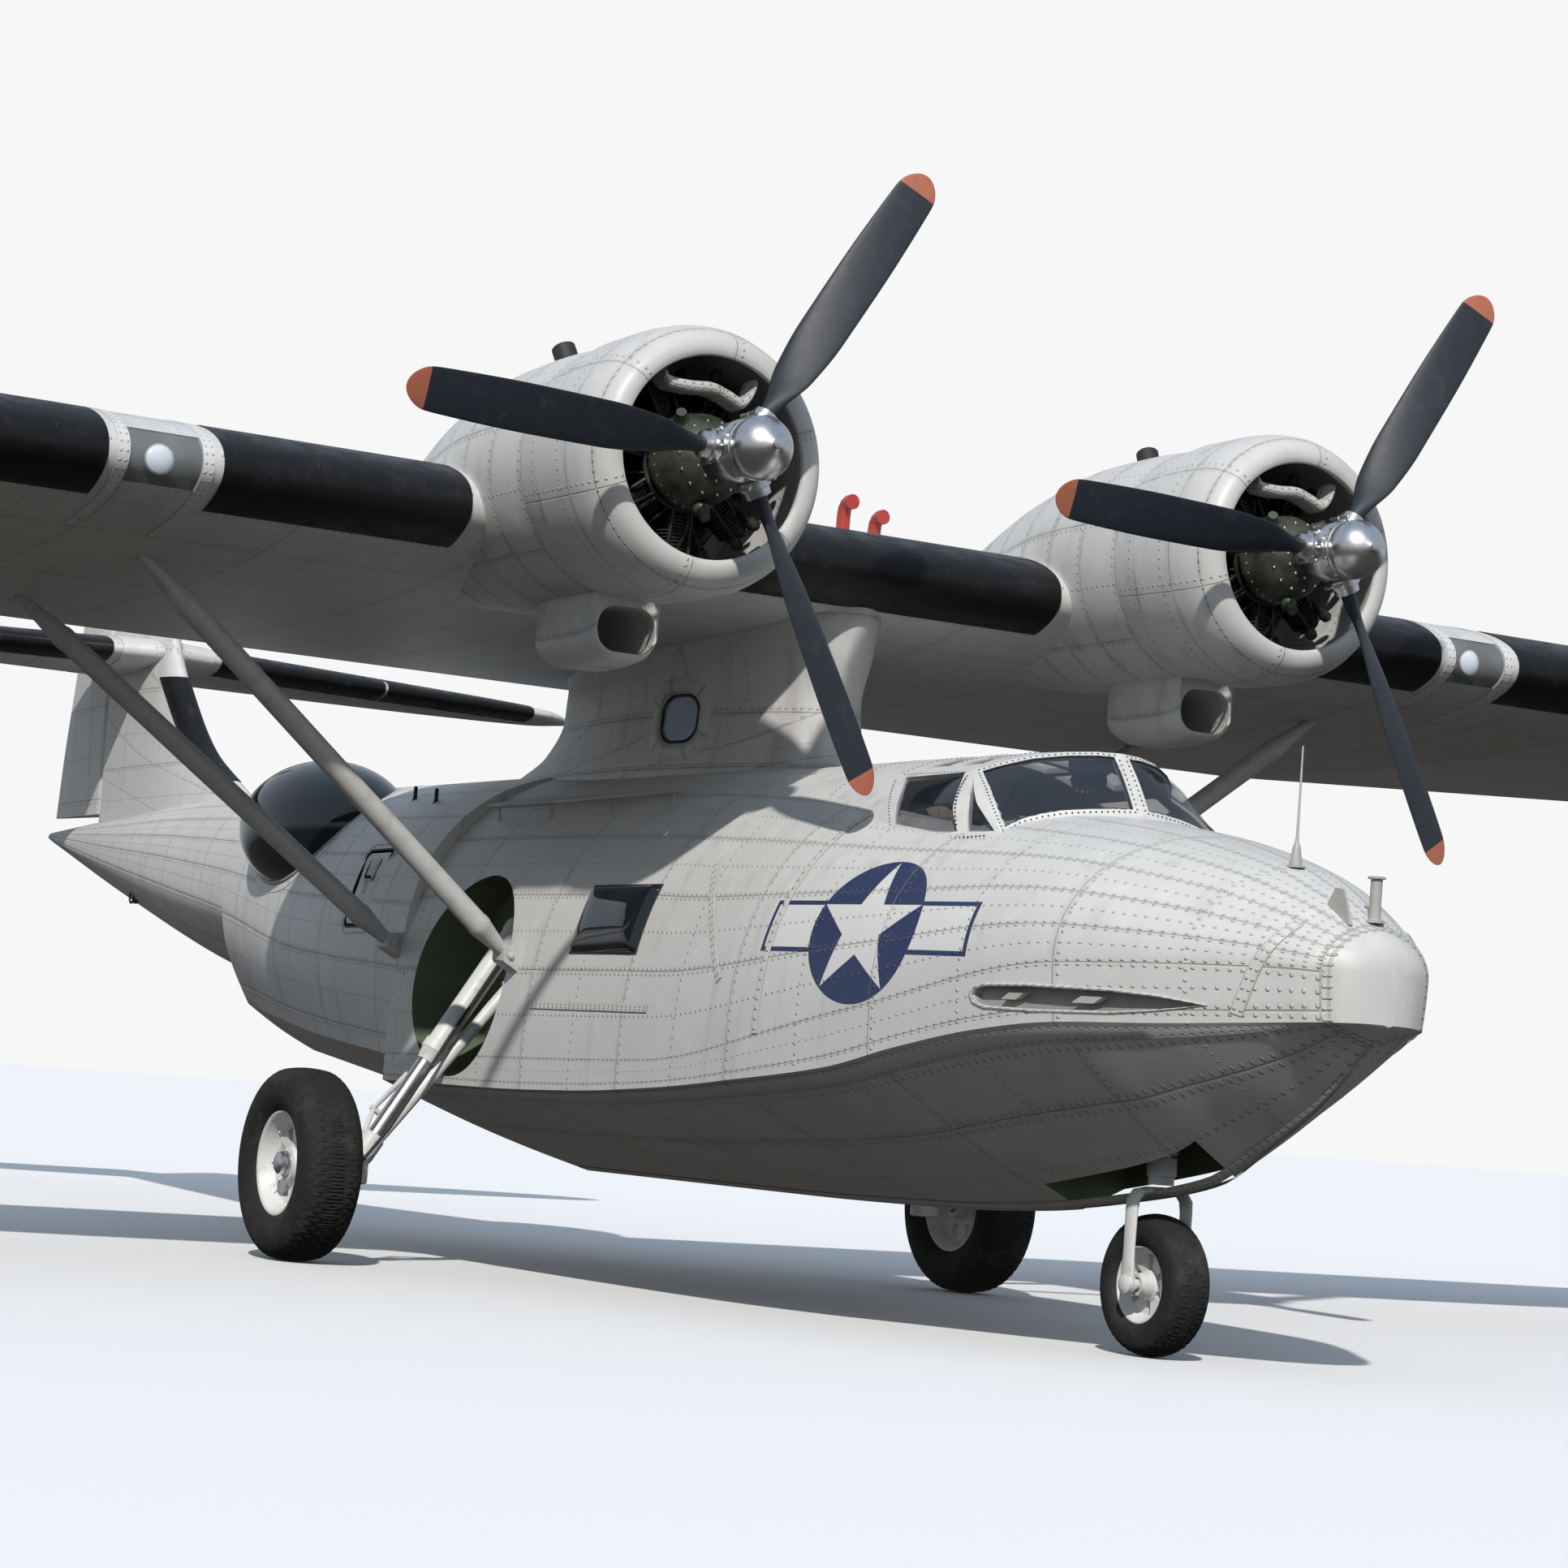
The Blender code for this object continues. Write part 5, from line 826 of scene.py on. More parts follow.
boot_rubber = Coat("boot rubber", (0.010, 0.010, 0.011), 0.42, specular_IOR_level=0.22)
boot_run, boot_girth = boot_rubber.chart("run")
boot_wide = boot_rubber.chart("strake")[1]
from_edge = boot_rubber.least(boot_girth, boot_wide - boot_girth)
bolt = boot_rubber.hypot(boot_rubber.nearest(from_edge, 0.42, 0.075),
                         boot_rubber.nearest(boot_run, 0.66, 0.30))
boot_bolts = boot_rubber.between(bolt, 0.020, 0.008)
scuffs = boot_rubber.noise(6.0, 6.0, rough=0.7)
boot_rubber.feed(base_color=boot_rubber.blend(boot_rubber.between(scuffs, 0.5, 0.75) * 0.6,
                                              (0.008, 0.008, 0.009), (0.024, 0.024, 0.026)),
                 roughness=0.34 + boot_rubber.between(scuffs, 0.4, 0.7) * 0.25)
boot_rubber.raised(boot_bolts + boot_rubber.noise(3.0, 2.0) * 0.6, 0.006)
for side, sign in SIDES.items():
    for number, (inner, outer) in enumerate(BOOT_SPANS):
        low, high = sign * inner, sign * outer
        q = np.linspace(-BOOT_UPPER, BOOT_LOWER, 33)
        swell = BOOT_THICK * np.minimum(np.minimum(q - q[0], q[-1] - q) / BOOT_EDGE, 1)
        across = np.linspace(low, high, 13)
        rows = np.stack([wing_skin(across, [value], 0.0005 + thick)[:, 0]
                         for value, thick in zip(q, swell)], axis=1)
        ends = np.stack([wing_skin(across[[0, -1]], [value], -0.004)[:, 0] for value in q], axis=1)
        boot = skin("wing_boot_%s_%d" % (side, number), np.concatenate([ends[:1], rows, ends[1:]]),
                    boot_rubber.material, flip=sign < 0)
        fitted("airframe", (boot, "panel_black"))

# Nacelles
# Plated bodies of round sections faired into the wing behind each engine, their plates lapped at
# each frame. The section's radius and its middle follow faired curves aft of the firewall.
HUB_X = 2.055
HUB_H = 4.07
FIREWALL_S = 4.72
NACELLE = [(FIREWALL_S, 0.735, 4.07), (5.0, 0.745, 4.07), (5.5, 0.735, 4.06), (6.1, 0.66, 4.02),
           (6.8, 0.50, 3.96), (7.5, 0.31, 3.86), (8.2, 0.10, 3.74)]


def revolved(centre, axis, along, radius, count=72, phase=0.0):
    """Grid of a turned shape: rows along the axis at (along, radius), columns round it."""
    across, up = (np.array(v, float) for v in {"x": ((0, 1, 0), (0, 0, 1)), "y": ((0, 0, 1), (1, 0, 0)),
                                               "z": ((1, 0, 0), (0, 1, 0))}[axis])
    out = np.cross(across, up)
    a = turns(count) + phase
    along, radius = (np.asarray(v, float)[:, None, None] for v in (along, radius))
    spread = radius * (np.cos(a)[None, :, None] * across + np.sin(a)[None, :, None] * up)
    return np.asarray(centre, float) + along * out + spread


nacelle_grey = plated("nacelle grey paint", rows=[("run", 0.36, 0.03), ("share", 1 / 12, 0.5 / 12)],
                      laps=[("run", 0.36, 0.01), ("share", 1 / 6, 0.45 / 12)], dirt=1.5)
for side, sign in SIDES.items():
    lines = np.array(NACELLE)
    s = np.linspace(FIREWALL_S, lines[-1, 0], 60)
    radius, middle = (fair(lines[:, [0, k]], s) for k in (1, 2))
    a = turns(84) - pi / 2
    body = at(sign * HUB_X + radius[:, None] * np.cos(a), s[:, None],
              middle[:, None] + radius[:, None] * np.sin(a))
    nacelle = closed("nacelle_skin_" + side, body, nacelle_grey)
    fitted("airframe", (nacelle, "hull_grey", "nacelle_" + side))

# Engine cowls
# Rings of pressed plate with a deep rounded lip, riveted to their frames, ending in a row of
# gills that stand a little open over the nacelle. A wall's profile is carried once round.
COWL_OUTER = [(-0.025, 0.61), (-0.021, 0.640), (-0.004, 0.672), (0.020, 0.695), (0.06, 0.722),
              (0.12, 0.748), (0.20, 0.763), (0.32, 0.77), (0.45, 0.7695), (0.62, 0.765), (0.66, 0.764),
              (0.662, 0.757), (0.78, 0.748), (0.90, 0.735)]
COWL_INNER = [(0.90, 0.70), (0.60, 0.70), (0.30, 0.70), (0.18, 0.655), (0.08, 0.60), (0.03, 0.578),
              (0.0, 0.568), (-0.015, 0.575), (-0.023, 0.59)]
COWL_S = FIREWALL_S - 0.90 - SEAM_GAP
NOTCH_HALF = 0.20
NOTCH_S = 4.42
NOTCH_TOP_H = 3.44


cowl_grey = plated("cowl grey paint", rows=[("run", 0.34, 0.15), ("share", 1 / 6, 0.2 / 6)],
                   laps=[("run", 0, 0.155), ("run", 0, 0.40), ("share", 1 / 6, 0.14 / 6)], dirt=1.2)
cowl_dark = Coat("cowl inside grey", (0.16, 0.155, 0.15), 0.5)
cowl_dark.feed(base_color=cowl_dark.blend(cowl_dark.noise(9.0, 5.0), (0.19, 0.185, 0.175),
                                          (0.08, 0.078, 0.072)))
for side, sign in SIDES.items():
    centre = at(sign * HUB_X, COWL_S, HUB_H)
    profile = np.array(COWL_OUTER + COWL_INNER)
    grid = revolved(centre, "y", profile[:, 0], profile[:, 1], 112, pi)
    cowl = skin("cowl_skin_" + side, grid, cowl_grey, around=True, along=True, sharp=40.0)
    turned_outward(cowl)
    notch = block((sign * HUB_X - NOTCH_HALF, NOTCH_S, 3.0),
                  (sign * HUB_X + NOTCH_HALF, 4.80, NOTCH_TOP_H), cowl_dark.material)
    carve(cowl, notch)
    fitted("airframe", (cowl, "hull_grey", "cowl_" + side))

# Engines
# Fourteen finned cylinders in two staggered rows on an olive crankcase, with a domed reduction
# case in front. Turned and lofted pieces; every cylinder is one profile of thin fins turned about
# its own axis, and pushrods and leads are carried along straight and curved paths.
CYLINDERS = 7
BACK_ROW = 0.22
ROW_PITCH = 0.26
LEAD_RING = 0.60
LEAD_RING_R = 0.268
COLLECTOR_R = 0.50
SHAFT_R = 0.055


def direction(way):
    """Two unit directions square to a unit way."""
    other = np.array([0.0, 0.0, 1.0]) if abs(way[2]) < 0.9 else np.array([1.0, 0.0, 0.0])
    first = np.cross(other, way)
    first /= np.linalg.norm(first)
    return first, np.cross(way, first)


def spindle(foot, way, along, radius, count=16):
    """Grid of a shape turned about any way through a foot: rows at (along, radius)."""
    way = np.asarray(way, float) / np.linalg.norm(way)
    first, second = direction(way)
    a = turns(count)
    along, radius = (np.asarray(v, float)[:, None, None] for v in (along, radius))
    spoke_ways = np.cos(a)[None, :, None] * first + np.sin(a)[None, :, None] * second
    return np.asarray(foot, float) + along * way + radius * spoke_ways


def tube(path, radius, count=10):
    """Grid of a round bar carried along a path, its section kept square to the path and turned
    from the direction that is most square to the whole of it."""
    path = np.asarray(path, float)
    ways = np.gradient(path, axis=0)
    ways /= np.linalg.norm(ways, axis=1)[:, None]
    start = np.linalg.svd(ways)[2][-1]
    first = start[None, :] - (ways @ start)[:, None] * ways
    first /= np.linalg.norm(first, axis=1)[:, None]
    second = np.cross(ways, first)
    a = turns(count)[None, :, None]
    radius = (np.asarray(radius, float) + np.zeros(len(path)))[:, None, None]
    return path[:, None, :] + radius * (np.cos(a) * first[:, None, :] + np.sin(a) * second[:, None, :])


def gathered(name, grids, finish, around=True, ends=True, sharp=35.0):
    """One mesh of many closed grids of the same shape of rows and columns or of different ones."""
    points, faces, run, count = [], [], [], 0
    for grid in grids:
        rows, columns = grid.shape[:2]
        i, j = np.meshgrid(np.arange(rows - 1), np.arange(columns if around else columns - 1),
                           indexing="ij")
        corners = [(i, j), (i + 1, j), (i + 1, j + 1), (i, j + 1)]
        quads = np.stack([a * columns + b % columns for a, b in corners],
                         axis=-1).reshape(-1, 4) + count
        faces += quads.tolist()
        if ends:
            faces.append((count + np.arange(columns)).tolist())
            faces.append((count + (rows - 1) * columns + np.arange(columns)[::-1]).tolist())
        points.append(grid.reshape(-1, 3))
        count += rows * columns
    thing = put(name, np.concatenate(points), faces, sharp=sharp)
    thing.data.materials.append(finish)
    body = bmesh.new()
    body.from_mesh(thing.data)
    bmesh.ops.recalc_face_normals(body, faces=body.faces)
    body.to_mesh(thing.data)
    body.free()
    return thing


engine_black = mottled("engine black enamel", (0.014, 0.014, 0.015), (0.012, 0.012, 0.013),
                       (0.055, 0.050, 0.042), (14.0, 5.0, 0.65), (0.35, 0.3), (0.45, 0.75, 1.0),
                       specular_IOR_level=0.45)
olive_case = mottled("olive crankcase paint", (0.040, 0.046, 0.032), (0.050, 0.058, 0.040),
                     (0.022, 0.024, 0.018), (10.0, 5.0, 0.5), (0.28, 0.3), (0.4, 0.7, 1.0))
bright_metal = mottled("satin bright metal", (0.62, 0.62, 0.63), (0.66, 0.66, 0.67), (0.50, 0.49, 0.47),
                       (24.0, 5.0, 0.7), (0.22, 0.18), (0.4, 0.75, 1.0), 0.0006, metallic=1.0)


def spoke(a):
    """Unit way at an angle up from port, square to the shaft."""
    return np.array([np.cos(a), 0, np.sin(a)])


def cylinder_profile():
    """Along and radius of a barrel with sixteen thin fins, a wider head and a rounded top."""
    fins = np.linspace(0.20, 0.50, 16)
    along = np.repeat(fins, 4) + np.tile([-0.0065, -0.003, 0.003, 0.0065], 16)
    wide = np.where(np.repeat(fins, 4) > 0.36, 0.098, 0.086)
    radius = np.where(np.tile([0, 1, 1, 0], 16) == 1, wide, wide - 0.020)
    return np.array([0.17, *along, 0.53, 0.56, 0.575]), np.array([0.075, *radius, 0.078, 0.060, 0.02])


for side, sign in SIDES.items():
    x = sign * HUB_X
    barrels, rods, covers, leads = [], [], [], []
    for row in range(2):
        for i in range(CYLINDERS):
            a = 2 * pi * (i + 0.5 * row) / CYLINDERS + pi / 2
            way, side_way = spoke(a), spoke(a + pi / 2)
            foot = at(x, FIREWALL_S - BACK_ROW - ROW_PITCH * row, HUB_H)
            barrels.append(spindle(foot, way, *cylinder_profile(), 20))
            for tilt in (-1, 1):
                low = foot + way * 0.20 + side_way * tilt * 0.055 + np.array([0, -0.12, 0])
                high = foot + way * 0.545 + side_way * tilt * 0.070 + np.array([0, -0.085, 0])
                rods.append(tube(np.linspace(low, high, 2), 0.011, 8))
                covers.append(spindle(high - way * 0.035, way + side_way * tilt * 0.25,
                                      [0, 0.02, 0.06, 0.075], [0.030, 0.036, 0.034, 0.018], 10))
            t = np.linspace(0, 1, 9)[:, None]
            bend = np.sin(pi * t) * np.array([0, -0.045, 0])
            begin = at(x, FIREWALL_S - LEAD_RING, HUB_H) + way * 0.265 + side_way * 0.03
            leads.append(tube(begin * (1 - t) + (foot + way * 0.47 + np.array([0, -0.095, 0])) * t
                              + bend, 0.007, 6))
    t = np.linspace(0, 2 * pi, 49)[:, None]
    round_shaft = np.cos(t) * (1, 0, 0) + np.sin(t) * (0, 0, 1)
    leads.append(tube(at(x, FIREWALL_S - LEAD_RING, HUB_H) + LEAD_RING_R * round_shaft, 0.014, 8))
    collector = at(x, FIREWALL_S - 0.13, HUB_H) + COLLECTOR_R * round_shaft
    middle = at(x, FIREWALL_S, HUB_H)
    plate = revolved(middle, "y", [-SEAM_GAP, -0.05, -0.05, -0.30], [0.58, 0.58, 0.24, 0.24], 48)
    works = gathered("engine_cylinders_" + side,
                     barrels + rods + covers + leads + [tube(collector, 0.045, 10), plate],
                     engine_black.material)
    case = revolved(middle, "y", [-0.28, -0.62, -0.64, -0.66, -0.70, -0.72, -0.80, -0.85, -0.90, -0.94,
                                  -0.955, -0.99, -1.0], [0.24, 0.24, 0.25, 0.275, 0.275, 0.262, 0.256,
                                                         0.232, 0.196, 0.155, 0.118, 0.112, 0.085], 56)
    studs = []
    for count, reach, depth in ((28, 0.262, 0.70), (14, 0.205, 0.885), (12, 0.132, 0.945)):
        for k in range(count):
            a = 2 * pi * k / count
            foot = at(x, FIREWALL_S - depth + 0.012, HUB_H) + reach * spoke(a)
            studs.append(spindle(foot, (0, -1, 0), [0, 0.022, 0.026], [0.010, 0.010, 0.006], 6))
    pads = [spindle(at(x + dx, FIREWALL_S - 0.78, HUB_H + dh), (dx, -0.25, dh), [0, 0.05, 0.07, 0.12],
                    [0.045, 0.05, 0.038, 0.030], 14)
            for dx, dh in ((0.15, 0.17), (-0.15, 0.17), (0.0, -0.25))]
    crank = gathered("engine_case_" + side, [case] + pads, olive_case.material)
    bolts = gathered("engine_studs_" + side,
                     studs + [revolved(middle, "y", [-0.99, -1.16], [SHAFT_R, SHAFT_R], 24)],
                     bright_metal.material)
    fitted("airframe", (works, "engine_black", "engine_" + side), (crank, "engine_black"),
           (bolts, "bright_metal"))

# Propellers
# Three forged blades, dark blue-grey with red-brown tips, gripped in a bright hub with a domed
# pitch gear in front. A blade is an ellipse that widens, thins and untwists along its length.
PROP_S = 3.50
PROP_R = 2.03
BLADE_ROOT = 0.09
BLADE_ROUND = 1.90
BLADE_PHASE = 58.4
TIP_BAND = 1.916
BLADE_LINES = {"chord": [(0.09, 0.09), (0.24, 0.09), (0.55, 0.235), (0.85, 0.275), (1.25, 0.275),
                         (1.85, 0.245), (2.03, 0.20)],
               "thick": [(0.09, 0.09), (0.24, 0.09), (0.55, 0.045), (0.85, 0.034), (1.25, 0.025),
                         (1.85, 0.015), (2.03, 0.009)],
               "pitch": [(0.09, 60), (0.24, 60), (0.55, 42), (0.85, 32), (1.25, 25), (1.85, 18),
                         (2.03, 17)]}

blade_paint = Coat("blade dark paint", (0.022, 0.027, 0.036), 0.46, specular_IOR_level=0.3)
along_blade = blade_paint.chart("run")[0] + BLADE_ROOT
rubbed = blade_paint.noise(12.0, 6.0, rough=0.7)
dark = blade_paint.blend(blade_paint.between(rubbed, 0.5, 0.8) * 0.6, (0.018, 0.023, 0.031),
                         (0.050, 0.055, 0.062))
red_brown = blade_paint.blend(blade_paint.between(rubbed, 0.45, 0.75) * 0.5, (0.40, 0.130, 0.075),
                              (0.30, 0.105, 0.065))
in_band = blade_paint.between(along_blade, TIP_BAND - 0.002, TIP_BAND + 0.002)
blade_paint.feed(base_color=blade_paint.blend(in_band, dark, red_brown),
                 roughness=0.40 + rubbed * 0.16)
for side, sign in SIDES.items():
    centre = at(sign * HUB_X, PROP_S, HUB_H)
    tip = np.sin(np.linspace(0, pi / 2, 14))
    r = np.concatenate([np.linspace(BLADE_ROOT, BLADE_ROUND, 56),
                        BLADE_ROUND + (PROP_R - BLADE_ROUND) * tip[1:]])
    past = ((r - BLADE_ROUND) / (PROP_R - BLADE_ROUND)).clip(0)
    round_off = np.sqrt(np.clip(1 - past**2, 0.0, 1))
    chord = fair(BLADE_LINES["chord"], r) * np.maximum(round_off, 0.04)
    thick = fair(BLADE_LINES["thick"], r) * np.maximum(round_off, 0.25)
    pitch = np.radians(fair(BLADE_LINES["pitch"], r))
    for k in range(3):
        a = radians(BLADE_PHASE + 120 * k)
        out, across = spoke(a), spoke(a + pi / 2)
        wide = np.cos(pitch)[:, None] * across + np.sin(pitch)[:, None] * np.array([0, 1.0, 0])
        deep = np.cross(out, wide)
        turn = turns(32)[None, :, None]
        grid = (centre + r[:, None, None] * out + wide[:, None] * chord[:, None, None] / 2
                * np.cos(turn) + deep[:, None] * thick[:, None, None] / 2 * np.sin(turn)
                * (1 + 0.25 * np.cos(turn)))
        blade = closed("blade_%d_%s" % (k, side), grid, blade_paint.material)
        fitted("propeller_" + side, (blade, "blade_black", *(["blades_" + side] if k == 0 else [])))
    barrel = revolved(centre, "y", [0.150, 0.146, 0.10, 0.09, -0.05, -0.06, -0.10, -0.112, -0.14],
                      [0.10, 0.112, 0.165, 0.17, 0.178, 0.172, 0.150, 0.148, 0.148], 48)
    dome = revolved(centre, "y", [-0.135, -0.139, -0.152, -0.160, -0.20, -0.25, -0.30, -0.34, -0.365,
                                  -0.38, -0.383, -0.400, -0.403],
                    [0.160, 0.174, 0.176, 0.170, 0.178, 0.174, 0.150, 0.112, 0.072, 0.034, 0.030, 0.028,
                     0.018], 64)
    fittings = [barrel, dome]
    for k in range(3):
        a = radians(BLADE_PHASE + 120 * k)
        out, across = spoke(a), spoke(a + pi / 2)
        fittings.append(spindle(centre, out, [0.08, 0.15, 0.165, 0.168, 0.215, 0.22, 0.262, 0.27],
                                [0.085, 0.085, 0.072, 0.092, 0.092, 0.078, 0.074, 0.050], 28))
        for tilt in (-1, 1):
            for y in (-0.045, 0.045):
                fittings.append(spindle(centre + out * 0.192 + across * tilt * 0.088
                                        + np.array([0, y, 0]), (0, -1, 0), [-0.035, 0.03, 0.045, 0.05],
                                        [0.012, 0.012, 0.012, 0.007], 6))
    for k in range(16):
        a = 2 * pi * k / 16
        fittings.append(spindle(centre + 0.163 * spoke(a) + (0, -0.10, 0), (0, -1, 0),
                                [0.0, 0.022, 0.034, 0.037], [0.009, 0.011, 0.009, 0.005], 6))
    hub = gathered("hub_" + side + "_fittings", fittings, bright_metal.material)
    fitted("propeller_" + side, (hub, "bright_metal", "hub_" + side))

# Cooling scoops and exhaust stubs
# A pressed oval duct hangs under each cowl with a rolled lip; a short blackened stub leaves the
# top of each nacelle.
SCOOP = [(4.68, 0.205, 3.015), (4.74, 0.215, 2.985), (5.10, 0.222, 2.96), (5.34, 0.205, 2.975),
         (5.50, 0.165, 3.03), (5.58, 0.095, 3.11)]
SCOOP_TOP = 3.46
SCOOP_DUCT_TOP = 3.30
SCOOP_WALL = 0.02


def scoop_at(s):
    """Half width and bottom of the scoop at stations."""
    return [fair(np.array(SCOOP)[:, [0, k]], s) for k in (1, 2)]


def oval(half, low, high, count=15):
    """Corner-rounded outline, its corner radius held to the share that its height allows."""
    radius = np.minimum(half * 0.72, (high - low) * 0.45)
    a = np.radians(np.concatenate([np.linspace(q, q + 90, count) for q in (0, 90, 180, 270)]))
    side_x = np.repeat([1, -1, -1, 1], count)
    side_h = np.repeat([1, 1, -1, -1], count)
    middle = (low + high) / 2
    across = side_x * (half - radius) + radius * np.cos(a)
    return across, middle + side_h * ((high - low) / 2 - radius) + radius * np.sin(a)


scoop_grey = plated("scoop grey paint", rows=[("run", 0, 0.60), ("run", 0, 0.03)],
                    laps=[("run", 0, 0.56), ("share", 1, 0.5)], dirt=1.4)
stub_black = mottled("burnt stub", (0.012, 0.011, 0.010), (0.008, 0.008, 0.008), (0.030, 0.024, 0.020),
                     (18.0, 5.0, 0.5), (0.5, 0.3))
for side, sign in SIDES.items():
    x = sign * HUB_X
    s = np.concatenate([[4.682, 4.68, 4.684], np.linspace(4.70, 5.56, 30), [5.575, 5.58]])
    half, low = scoop_at(s)
    lip = np.array([0.012, 0.004, 0.0] + [0] * (len(s) - 3))
    rows = [np.stack(oval(half[k] - lip[k], low[k] + lip[k], SCOOP_TOP - lip[k]), axis=1)
            for k in range(len(s))]
    duct_s = np.array([5.34, 5.10, 4.74, 4.684])
    for k, place in enumerate(duct_s):
        wide, bottom = scoop_at(place)
        rows.insert(k, np.stack(oval(wide - SCOOP_WALL, bottom + SCOOP_WALL, SCOOP_DUCT_TOP), axis=1))
    rows = np.array(rows)
    s = np.concatenate([duct_s, s])
    scoop = skin("scoop_skin_" + side, at(x + rows[:, :, 0], s[:, None], rows[:, :, 1]), scoop_grey,
                 around=True, ends=(True, True))
    turned_outward(scoop)
    fitted("airframe", (scoop, "hull_grey", "scoop_" + side))
    foot, end = at(x + sign * 0.04, 5.44, 4.62), at(x + sign * 0.08, 5.60, 4.90)
    long = np.linalg.norm(end - foot)
    stub = gathered("exhaust_stub_" + side,
                    [spindle(foot, end - foot, [0, long, long, long * 0.5],
                             [0.072, 0.072, 0.058, 0.056], 36)], stub_black.material)
    fitted("airframe", (stub, "engine_black", "exhaust_" + side))

# Intake ducts
# A pressed duct shaped like a moustache sits inside the top of each cowl's mouth, its ends turned
# down: a flat rounded section carried along a bent path.
DUCT_PATH = [(-0.30, 0.44), (-0.25, 0.40), (-0.13, 0.395), (0.0, 0.405), (0.12, 0.375), (0.20, 0.345),
             (0.255, 0.39), (0.285, 0.46)]
DUCT_DEEP = 0.085
DUCT_TALL = 0.036


def blunted(value, power):
    """A sine or cosine raised to a power with its sign kept, which squares off a round."""
    return np.sign(value) * np.abs(value) ** power


for side, sign in SIDES.items():
    path = np.array(DUCT_PATH)
    t = np.linspace(0, 1, 41)
    share = np.linspace(0, 1, len(path))
    x, h = (fair(np.stack([share, path[:, k]], axis=1), t) for k in (0, 1))
    turn = turns(24)
    deep, tall = DUCT_DEEP * blunted(np.cos(turn), 0.6), DUCT_TALL * blunted(np.sin(turn), 0.6)
    duct = closed("intake_duct_" + side,
                  at(sign * HUB_X + x[:, None], COWL_S + 0.15 + deep, HUB_H + h[:, None] + tall),
                  nacelle_grey)
    fitted("airframe", (duct, "hull_grey"))

# Pylon
# The hollow fin-shaped tower that carries the wing, flared into the deck behind, with a small
# window on each side. Its section is a circle drawn out fore and aft, lofted up through faired
# front, back and half-width lines.
PYLON_LINES = {"front": [(2.1, 5.35), (2.62, 5.50), (2.80, 5.58), (3.05, 5.62), (3.35, 5.52),
                         (3.9, 5.40)], "back": [(2.1, 10.9), (2.62, 9.95), (2.80, 9.45), (3.05, 9.20),
                                                (3.35, 9.18), (3.9, 9.25)],
               "half": [(2.1, 0.62), (2.62, 0.58), (2.80, 0.55), (3.05, 0.53), (3.35, 0.53),
                        (3.9, 0.60)]}
PYLON_FOOT_H = 2.12
PYLON_SHOULDER_H = 3.20
PYLON_TOP_H = 3.86
PYLON_TAPER = 0.25
PYLON_WINDOW = {"s": 6.80, "h": 2.93, "half_s": 0.19, "half_h": 0.145}


def pylon_place(h, a):
    """Skin of the pylon at heights and at angles round it from the front."""
    front, back, half = (fair(PYLON_LINES[line], h) for line in ("front", "back", "half"))
    along = (1 - np.cos(a)) / 2
    across = np.sin(a) * np.where(along < 0.5, 1, 1 - PYLON_TAPER * (2 * along - 1))
    s = front + (back - front) * along
    under_wing = WING_LE_H - (s - WING_LE_S) * tan(INCIDENCE)
    pressed = (h - PYLON_SHOULDER_H) / (PYLON_TOP_H - PYLON_SHOULDER_H)
    pressed = pressed * (under_wing - PYLON_SHOULDER_H)
    h = np.where(h > PYLON_SHOULDER_H, PYLON_SHOULDER_H + pressed, h)
    return at(half * across, s, h)


pylon_grey = plated("pylon grey paint", rows=[("girth", 0.62, 0.24), ("run", 0.52, 0.20)],
                    laps=[("girth", 1.24, 0.28), ("run", 0.52, 0.17)], dirt=1.6)
h, a = np.linspace(PYLON_FOOT_H, PYLON_TOP_H, 50)[:, None], np.linspace(0, 2 * pi, 121)[None, :-1]
pylon = closed("pylon_skin", pylon_place(h, a), pylon_grey)
for sign in SIDES.values():
    outline = np.stack(oval(PYLON_WINDOW["half_s"], -PYLON_WINDOW["half_h"], PYLON_WINDOW["half_h"]),
                       axis=1)
    outline += (PYLON_WINDOW["s"], PYLON_WINDOW["h"])
    carve(pylon, rings_of(at(sign * np.array([[0.46], [1.0]]), outline[:, 0], outline[:, 1]),
                          inside_green.material))
fitted("airframe", (pylon, "hull_grey", "pylon"))

# Pylon windows: pale panes in black rubber, on a raised pressed surround.
SEAL_WAYS = ((-0.004, -0.02), (-0.004, 0.004), (0.008, 0.008), (0.016, 0.0), (0.020, -0.02))
SURROUND_WAYS = ((0.020, 0.0), (0.030, 0.012), (0.10, 0.012), (0.125, 0.0), (0.125, -0.02),
                 (0.020, -0.02))
pane_blue = Coat("pale pane", (0.42, 0.52, 0.62), 0.12, coat_weight=0.5)
pane_blue.feed(base_color=pane_blue.blend(pane_blue.noise(6.0), (0.46, 0.56, 0.66), (0.36, 0.45, 0.55)))
seal_black = Coat("seal rubber", (0.018, 0.018, 0.019), 0.55)
seal_black.feed(roughness=0.5 + seal_black.noise(30.0, 4.0) * 0.2)


def pylon_side(s, h, sign):
    """Places on the pylon's side at stations and heights, found from its own lines."""
    front, back, half = (fair(PYLON_LINES[line], h) for line in ("front", "back", "half"))
    along = np.clip((s - front) / (back - front), 0, 1)
    across = np.sqrt(np.clip(1 - (1 - 2 * along) ** 2, 0, 1))
    across = across * np.where(along < 0.5, 1, 1 - PYLON_TAPER * (2 * along - 1))
    return at(sign * half * across, s, h)


